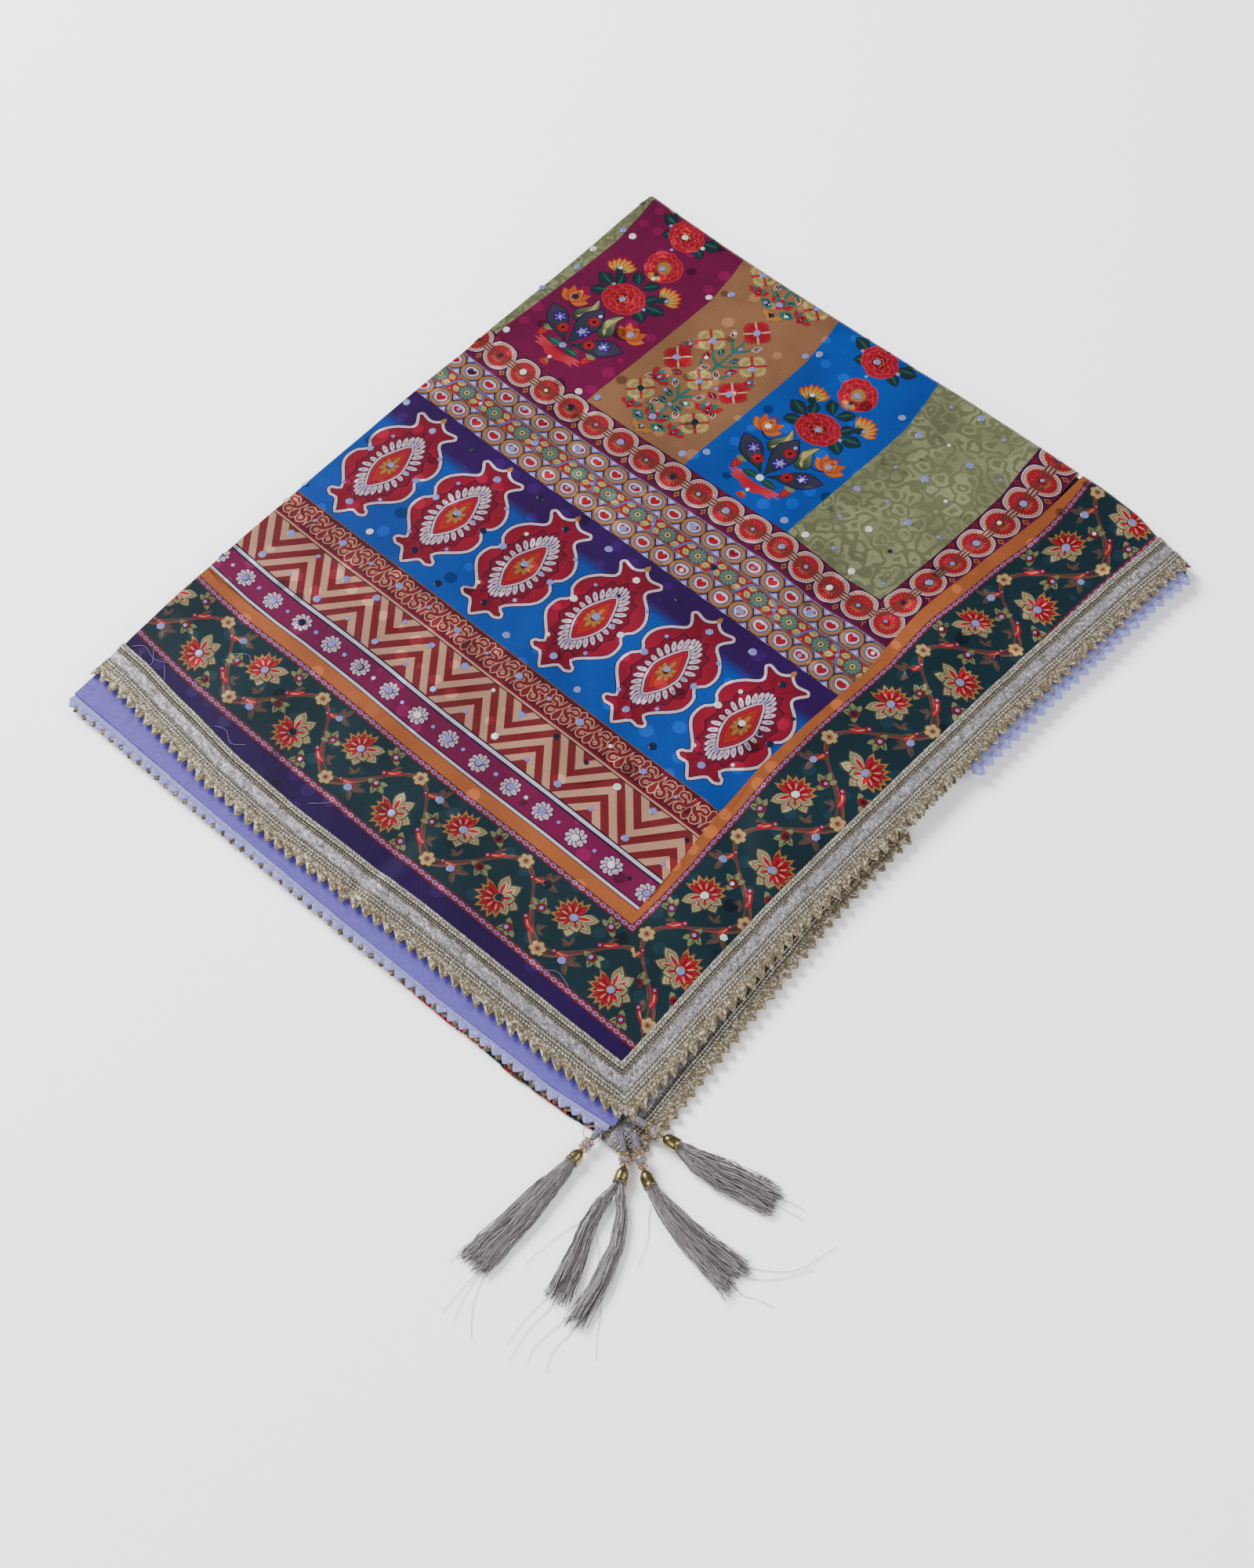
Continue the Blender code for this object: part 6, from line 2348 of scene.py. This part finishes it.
def small_ball(points, faces, inks, centre, radius, ink):
    """A small eight-sided ball."""
    base = len(points)
    rings, sides = 4, 7
    for r in range(1, rings):
        lift, wide = math.cos(math.pi * r / rings), math.sin(math.pi * r / rings)
        for k in range(sides):
            angle = 2 * math.pi * k / sides
            offset = Vector((wide * math.cos(angle), wide * math.sin(angle), lift)) * radius
            points.append(to_frame(*(centre + offset)))
            inks.append(ink)
    points.append(to_frame(*(centre + Vector((0, 0, radius)))))
    points.append(to_frame(*(centre - Vector((0, 0, radius)))))
    inks += [ink, ink]
    top, bottom = len(points) - 2, len(points) - 1
    for r in range(rings - 2):
        for k in range(sides):
            a, b = base + r * sides + k, base + r * sides + (k + 1) % sides
            faces.append((a, a + sides, b + sides, b))
    for k in range(sides):
        faces.append((base + k, base + (k + 1) % sides, top))
        low = base + (rings - 2) * sides
        faces.append((low + (k + 1) % sides, low + k, bottom))


def worn_material(name, rough, metallic):
    """The ink attribute under uneven wear."""
    made, tree, shader = new_material(name, Roughness=rough, Metallic=metallic)
    place = node(tree, "ShaderNodeTexCoord").outputs["Object"]
    wear = node(tree, "ShaderNodeTexNoise", Vector=place, Scale=420.0, Detail=3.0)
    show_colour(tree, shader, range_node(tree, wear.outputs[0], 0.35, 0.65, 0.7, 1.15))
    return made


brass = worn_material("antique_brass", 0.26, 1.0)
pearl = worn_material("pearl_gloss", 0.22, 0.25)
grey = worn_material("grey_satin", 0.42, 0.1)
CAP_INK, CAP_SHADED = display(150, 138, 96), display(52, 46, 30)
GOLD_BEAD, PEARL_INK = display(204, 160, 84), display(176, 160, 156)
GREY_DARK, GREY_LIGHT = display(104, 96, 110), display(170, 162, 180)


def build_tip(name, start, end):
    """The gathered tip: (distance along, radius) pairs with small pleats, painted lighter on their ridges and
    darker in their hollows as painted shade.
    """
    length = (Vector(end) - Vector(start)).length
    taper = ((0.3, 2.3), (0.6, 1.9), (0.85, 1.3), (1.0, 0.9))
    profile = [(-2.5, 2.9), (0.0, 2.5)] + [(share * length, radius) for share, radius in taper]
    made = turned(
        name + "_tip",
        profile,
        start,
        end,
        grey,
        lambda row, angle: ink_mix(GREY_DARK, GREY_LIGHT, 0.5 + 0.5 * math.sin(7 * angle)),
        ripple=lambda angle, along: 0.12 * math.sin(7 * angle),
    )
    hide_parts(name + "_cone")


def build_bead(name, start, end):
    """The pearl on its thread, and the rings of gilt balls at its ends."""
    run = Vector(end) - Vector(start)
    whole = run.length
    axis = run.normalized()
    ball = min(4.1, 0.46 * whole)
    profile = [(0.04 * whole, 0.9), (0.14 * whole, 0.9)]
    for k in range(1, 12):
        angle = math.pi * k / 12
        along = 0.45 * whole - 0.27 * whole * math.cos(angle)
        profile.append((along, ball * (0.25 + 0.75 * math.sin(angle))))
    profile += [(0.8 * whole, 0.9), (whole, 0.9)]
    made = turned(name + "_pearl", profile, start, end, pearl, lambda row, angle: PEARL_INK)
    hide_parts(name + "_bead")
    side = axis.cross(Vector((0, 0, 1))).normalized()
    other = side.cross(axis)
    points, faces, inks = [], [], []
    rings = ((0.12, 0.8, 13, 0.66), (0.78, 0.8, 13, 0.66), (0.9, 0.5, 9, 0.56), (0.02, 0.5, 9, 0.56))
    for along, ring, count, size in rings:
        for k in range(count):
            angle = 2 * math.pi * k / count
            offset = (side * math.cos(angle) + other * math.sin(angle)) * ring * ball
            spot = Vector(start) + axis * along * whole + offset
            # Every fourth ball is painted white: a painted glint on the gilt.
            small_ball(points, faces, inks, spot, size, GOLD_BEAD if k % 4 else GLINT_WHITE)
    add_mesh(name + "_gilt", points, faces, brass, inks)


BELL = (
    # share of the length, radius: outside from the neck to the rim, then inside
    (0.0, 1.4), (0.02, 2.1), (0.08, 2.6), (0.16, 3.4), (0.26, 4.0), (0.38, 4.35), (0.55, 4.55), (0.75, 4.65),
    (0.86, 4.72), (0.88, 4.98), (0.94, 5.02), (0.97, 4.85), (1.0, 4.8), (1.0, 4.4), (0.7, 4.1), (0.5, 3.9),
)  # fmt: skip


def build_cap(name, start, end):
    length = (Vector(end) - Vector(start)).length
    profile = [(share * length, radius) for share, radius in BELL]
    # The inside of the bell and its neck are painted dark: painted shade.
    inks = [CAP_SHADED if row > 12 or row < 2 else CAP_INK for row in range(len(BELL))]
    made = turned(name + "_bell", profile, start, end, brass, lambda row, angle: inks[row])
    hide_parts(name + "_cap")


for name, cone_start, cone_end, cap_start, cap_end in TASSELS:
    build_tip(name, cone_start, cone_end)
    build_bead(name, cone_end, cap_start)
    build_cap(name, cap_start, cap_end)

# A loop of silver thread at the corner, and loose threads on the purple edge
points, faces, inks = [], [], []
circle = []
for k in range(22):
    angle = 0.35 * k
    circle.append(Vector((250.0 + 6.2 * math.cos(angle), -330.5 + 5.0 * math.sin(angle), 7.6 - 0.05 * k)))
tube(points, faces, inks, circle, 0.42, LACE_SILVER)
for row in (
    ((-232, -268), (-224, -277), (-231, -285), (-236, -276)),
    ((-216, -272), (-207, -281), (-214, -288), (-222, -284)),
    ((-246, -276), (-238, -270), (-226, -273), (-214, -268)),
    ((-152, -283), (-143, -280), (-133, -285), (-124, -279)),
    ((-58, -283), (-50, -276), (-44, -268)),
    ((52, -286), (60, -289), (70, -288)),
    ((150, -268), (158, -263), (170, -266)),
    ((-186, -232), (-178, -226), (-172, -229)),
):
    line = rounded([(float(x), float(y)) for x, y in row], 5, closed=False)
    path = [drape_top(x, y, 0.45 + 0.3 * math.sin(0.6 * k)) for k, (x, y) in enumerate(line)]
    tube(points, faces, inks, path, 0.17, display(176, 166, 214))
add_mesh("loose_threads", points, faces, silk, inks)

# The hidden layers: folds and edges at the sides, the rounded folds under the lilac points, and the underside
EDGE_BANDS = (
    # from y, ink
    (-345.0, "purple"),
    (-271.0, "brick"),
    (-266.0, "bottle"),
    (-209.0, "brick"),
    (-204.0, "apricot"),
    (-194.0, "magenta_band"),
    (-165.0, "cream"),
    (-125.0, "maroon"),
    (-98.5, "blue"),
    (-3.0, "deep_purple"),
    (29.0, "grey_lilac"),
    (47.0, "red"),
    (63.0, "grey_lilac"),
    (83.0, "magenta"),
    (87.0, "plum"),
    (113.0, "olive"),
)
EDGE_SPECKS = {
    "bottle": ("leaf_light", "red", "cream"),
    "cream": ("brick", "brick", "brick"),
    "maroon": ("brick", "cream", "brick"),
    "blue": ("crimson", "white", "crimson"),
    "grey_lilac": ("ochre", "paper", "red"),
    "red": ("rosette", "pale_yellow", "rosette"),
    "plum": ("red", "cream", "red"),
    "magenta_band": ("paper", "navy", "paper"),
    "olive": ("leaf_light", "olive", "leaf_light"),
}


def edge_art(left, right, shift):
    """The print's bands where they turn over the edge, with small motifs cut by the fold."""
    art = Art()
    dice = random.Random(shift)
    ends = [low for low, _ in EDGE_BANDS[1:]] + [345.0]
    for (low, ink), high in zip(EDGE_BANDS, ends):
        art.add(box(left, low, right, high), ink)
        if ink not in EDGE_SPECKS:
            continue
        y = low + 3.0
        while y < high - 2.5:
            tone = dice.choice(EDGE_SPECKS[ink])
            x = dice.uniform(left + 2, right - 2)
            length, width, turn = dice.uniform(4.5, 8.5), dice.uniform(2.2, 4.0), dice.uniform(-50, 50)
            art.add(leaf(x - 3, y, length, width, turn, n=4), tone)
            y += dice.uniform(3.6, 7.0)
    return art


def stack_top(x, y):
    """Upper face of the hidden layers, under the top layer and the laces over it."""
    under_end = 1 - smooth((y - end_lace_y(x) - 4.0) / 26.0)
    under_side = 1 - smooth((side_lace_x(y) - 4.0 - x) / 26.0)
    cover = max(1.75, 7.2 * under_end, 8.3 * under_side)
    return smooth_height(x, y) - cover - 2.0


def fold_drape(number, count, side):
    """Lays a strip round one of the stacked folds: u from 0 to 20 round it, v along the cloth."""

    def drape(u, v):
        if side < 0:
            edge = fold_x(v) + (0.9, 0.35, 1.3)[number]
            roof = smooth_height(fold_x(v) + 2.0, v) - 2 * PAIR_FOLD_RADIUS - 0.4
        else:
            edge = side_lace_x(v) + (23.5, 21.5, 24.0)[number]
            roof = min(5.0, max(2.4, stack_top(side_lace_x(v) + 20.0, v)))
        roof -= 0.35
        radius = roof / (2 * count) - 0.04
        middle = 0.35 + roof * (count - number - 0.5) / count
        length = math.pi * radius
        leg = (20.0 - length) / 2
        sway = 0.3 * noise.noise(Vector((v / 17.0, number * 5.0, side)))
        if u < leg:
            out, lift = leg - u, radius
        elif u > leg + length:
            out, lift = u - leg - length, -radius
        else:
            angle = (u - leg) / radius
            out, lift = -radius * math.sin(angle), radius * math.cos(angle)
        return Vector((edge + sway - side * (radius + out), v, middle + lift))

    return drape


def straight(x, y):
    return x, y


hidden = []


def hide(name, tiles, cuts, drape, cell, finishes=(satin,)):
    """A printed piece of the hidden layers: its tiles, cut where the cuts fall below 0, and laid."""
    flat = FlatPrint()
    for ground, art, area in tiles:
        flat.tile(ground, art, area, straight, weave=int(len(finishes) > 1 and ground == "olive"), cell=cell)
    for keep in cuts:
        trim(flat.mesh, keep)
    hidden.append(drape_mesh(name, flat.mesh, drape, finishes, False))


for name, number, count, side, seed, low_y, high_y in (
    ("side_fold_1", 0, 3, -1, 0, -318.0, fold_y(-250.0) - 9.0),
    ("side_fold_2", 1, 3, -1, 1, -317.0, fold_y(-250.0) - 9.0),
    ("side_fold_3", 2, 3, -1, 2, -316.0, fold_y(-250.0) - 9.0),
    ("side_edge_1", 0, 2, 1, 7, -316.0, fold_y(240.0) - 9.0),
    ("side_edge_2", 1, 2, 1, 8, -316.0, fold_y(240.0) - 9.0),
):
    strip = ("purple", edge_art(0.0, 20.0, seed), (0.0, -345.0, 20.0, 345.0))
    cuts = (lambda x, y: y - low_y, lambda x, y: high_y - y)
    hide(name, [strip], cuts, fold_drape(number, count, side), 4.0)


def nose_art():
    """The print that shows on the folds under the lilac points: field, scallops, orange strip and vine."""
    art = Art()
    for left, right, ink in (
        (-270, -120, "deep_purple"),
        (-120, -60, "blue"),
        (-60, -8, "brown"),
        (-8, 20, "bottle"),
        (20, 95, "magenta"),
        (95, 131, "plum"),
        (131, 140, "crimson"),
        (140, 151, "apricot"),
        (151, 156, "brick"),
        (156, 280, "bottle"),
    ):
        art.add(box(left, -2, right, 44), ink)
    dice = random.Random(3)
    small = (daisy, small_six, red_rosette, bud_spray, violet_flower)
    for x in (28.0, 43.0, 57.0, 72.0, 87.0):
        art.put(small[int(x) % 5](), x, 16 + 5 * dice.random(), 40 * x, 0.8)
    for x in (-110.0, -92.0, -74.0, -48.0, -28.0):
        art.put(green_spray(), x, 18.0, x, 1.0)
    for x in (101.0, 122.0):
        art.put(scallop_disc(), x, 18.0, 20, 0.8)
    for k in range(7):
        x = 166.0 + 15.5 * k
        art.put(vine_flower() if k % 2 else bud_spray(), x, 14.0 + 6 * (k % 3), 50 * k, 0.62)
        art.put(curled_leaf(), x + 7, 22.0 - 4 * (k % 2), 120 * k, 0.7)
    for x in range(-250, 262, 21):
        art.add(disc(x, 7 + (x % 5), 1.3, 6), "paper")
    return art


NOSE = (
    # x, y
    (-262.0, -322.0),
    (-120.0, -326.0),
    (0.0, -331.5),
    (100.0, -334.5),
    (180.0, -333.5),
    (225.0, -330.0),
    (262.0, -324.0),
)
STRIP_DEPTH = 40.0


def nose_drape(u, v):
    """Round the folds of the -Y side: v from 0 on top, over the rounded edge, to 40 underneath."""
    edge = read_table(NOSE, u, 1)
    roof = max(1.6, min(4.2, stack_top(u, edge + 22.0)))
    floor_gap = 0.32
    radius = (roof - floor_gap) / 2
    length = math.pi * radius
    leg = (STRIP_DEPTH - length) / 2
    wave = 0.35 * noise.noise(Vector((u / 9.0, 3.0, 0.0)))
    if v < leg:
        return Vector((u, edge + radius + leg - v, roof + wave * smooth((leg - v) / 3)))
    if v > leg + length:
        return Vector((u, edge + radius + v - leg - length, floor_gap))
    angle = (v - leg) / radius
    height = floor_gap + radius + radius * math.cos(angle)
    return Vector((u, edge + radius - (radius + wave) * math.sin(angle), height))


cuts = (lambda x, y: x - fold_x(-320.0) - 2.0, lambda x, y: 255.0 - x)
hide("nose_fold", [("purple", nose_art(), (-262.0, 0.0, 262.0, STRIP_DEPTH))], cuts, nose_drape, 3.5)


def inner_drape(u, v):
    """The inner layers' round fold, inside the top layer's: v from 0 to 40 round it."""
    radius = top_height(u, fold_y(u) - 8.0) / 2
    inner = radius - 3.6
    length = math.pi * inner
    leg = (STRIP_DEPTH - length) / 2
    turn = fold_y(u) - radius
    if v < leg:
        return Vector((u, turn - leg + v, radius + inner))
    if v > leg + length:
        return Vector((u, turn - (v - leg - length), radius - inner))
    angle = (v - leg) / inner
    return Vector((u, turn + inner * math.sin(angle), radius + inner * math.cos(angle)))


blocks = Art()
for left, right, ink in (
    (-262, -159, "magenta"),
    (-159, -61, "brown"),
    (-61, 37, "blue"),
    (37, 127, "olive"),
    (127, 262, "bottle"),
):
    blocks.add(box(left, -2, right, 44), ink)
cuts = (lambda x, y: x - fold_x(300.0) - 3.0, lambda x, y: side_lace_x(300.0) + 20.0 - x)
hide("inner_fold", [("olive", blocks, (-262.0, 0.0, 262.0, STRIP_DEPTH))], cuts, inner_drape, 5.0)


def under_drape(x, y):
    return Vector((x, y, 0.3 + 0.12 * noise.noise(Vector((x / 30.0, y / 45.0, 4.0)))))


tiles = []
for k, ground in enumerate(("blue", "olive", "magenta", "brown", "blue")):
    left = -270.0 + 108.0 * k
    art = Art()
    if ground != "olive":
        for y in range(-280, 280, 80):
            art.put(vine_flower(), left + 54.0 + 14 * math.sin(y), y, y, 1.6)
            art.put(small_six(), left + 30.0, y + 38.0)
            art.put(curled_leaf(), left + 74.0, y + 30.0, 2 * y, 1.6)
    tiles.append((ground, art, (left, -345.0, left + 108.0, 345.0)))
cuts = (
    lambda x, y: x - fold_x(min(y, LAST_Y)) - 3.0,
    lambda x, y: side_lace_x(min(y, LAST_Y)) + 23.0 - x,
    lambda x, y: y - read_table(NOSE, x, 1) - 3.0,
    lambda x, y: turn_y(x) - 14.5 - y,
)
hide("underside", tiles, cuts, under_drape, 12.0, (satin, olive_satin))
for made in hidden:
    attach(made, "root")
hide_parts("folded_stack")


def on_lower_side(shift, level):
    """The edge of a lower layer's lace on the +X side."""

    def place(s, v, out):
        y = -318.0 + s
        return Vector((side_lace_x(y) - 1.5 - shift + v, y, level + 0.4 * out))

    return place


for number, (shift, level) in enumerate(((0.6, 0.3), (2.2, 1.9))):
    made = lace_points(f"lace_lower_points_{number + 1}", 600.0, on_lower_side(shift, level), gota, 24.0)


def flat_area(made):
    """The area of a piece's flat layout, in square metres, and its extents."""
    uv = made.data.uv_layers["flat"].data
    area, us, vs = 0.0, [], []
    for face in made.data.polygons:
        spots = [uv[k].uv for k in face.loop_indices]
        us += [spot[0] for spot in spots]
        vs += [spot[1] for spot in spots]
        area += abs(sum(a[0] * b[1] - b[0] * a[1] for a, b in zip(spots, spots[1:] + spots[:1]))) / 2
    return area, max(us) - min(us), max(vs) - min(vs)


sheets = printed + hidden + [hem] + [made for made, _ in lace_pieces if "flat" in made.data.uv_layers]
for made in sheets:
    area, width, length = flat_area(made)
    min(area, width * length)


# Camera
TARGET = Vector((0.034845, -0.054702, 0.009))
TURN, TILT, AWAY = math.radians(42.09), math.radians(58.18), 1.6241
back = Vector((math.sin(TURN) * math.cos(TILT), -math.cos(TURN) * math.cos(TILT), math.sin(TILT)))
view = bpy.data.cameras.new("view")
view.lens = 54.0
view.sensor_width = 36.0
camera = new_object("view", view)
camera.location = TARGET + back * AWAY
camera.rotation_euler = (-back).to_track_quat("-Z", "Y").to_euler()
bpy.context.scene.camera = camera

# Floor and light
FLOOR_HALF = 6.0
floor_mesh = bpy.data.meshes.new("floor")
corners = [(x * FLOOR_HALF, y * FLOOR_HALF, 0) for x, y in ((-1, -1), (1, -1), (1, 1), (-1, 1))]
floor_mesh.from_pydata(corners, [], [(0, 1, 2, 3)])
pale, _, shader = new_material("floor", Roughness=0.9, Specular_IOR_Level=0.1)
shader.inputs["Base Color"].default_value = (*display(247, 247, 248), 1.0)
floor_mesh.materials.append(pale)
floor = new_object("floor", floor_mesh)
floor.location.z = -0.0002


def softbox(name, place, size, power):
    """A square area light at the place, aimed at the frame's origin."""
    light = bpy.data.lights.new(name, "AREA")
    light.shape = "RECTANGLE"
    light.size, light.size_y = size, size
    light.energy = power
    made = new_object(name, light)
    made.location = place
    made.rotation_euler = (-Vector(place)).to_track_quat("-Z", "Y").to_euler()
    return made


# Each softbox has a partner that lights the floor alone, so that the floor is pale and the print stays deep
floor_only = bpy.data.collections.new("floor_only")
floor_only.objects.link(floor)
for name, place, size, power, floor_power in (
    ("key", (-2.6, -0.2, 2.3), 1.8, 105.0, 300.0),
    ("fill", (2.2, 1.6, 2.6), 2.4, 45.0, 84.0),
    ("front", (1.0, -2.8, 2.4), 2.4, 45.0, 84.0),
):
    softbox(name, place, size, power)
    backdrop = softbox(name + "_floor", place, size, floor_power)
    backdrop.light_linking.receiver_collection = floor_only
world = bpy.data.worlds.new("studio")
world.use_nodes = True
world.node_tree.nodes["Background"].inputs["Color"].default_value = (0.96, 0.97, 1.0, 1.0)
world.node_tree.nodes["Background"].inputs["Strength"].default_value = 0.3
bpy.context.scene.world = world
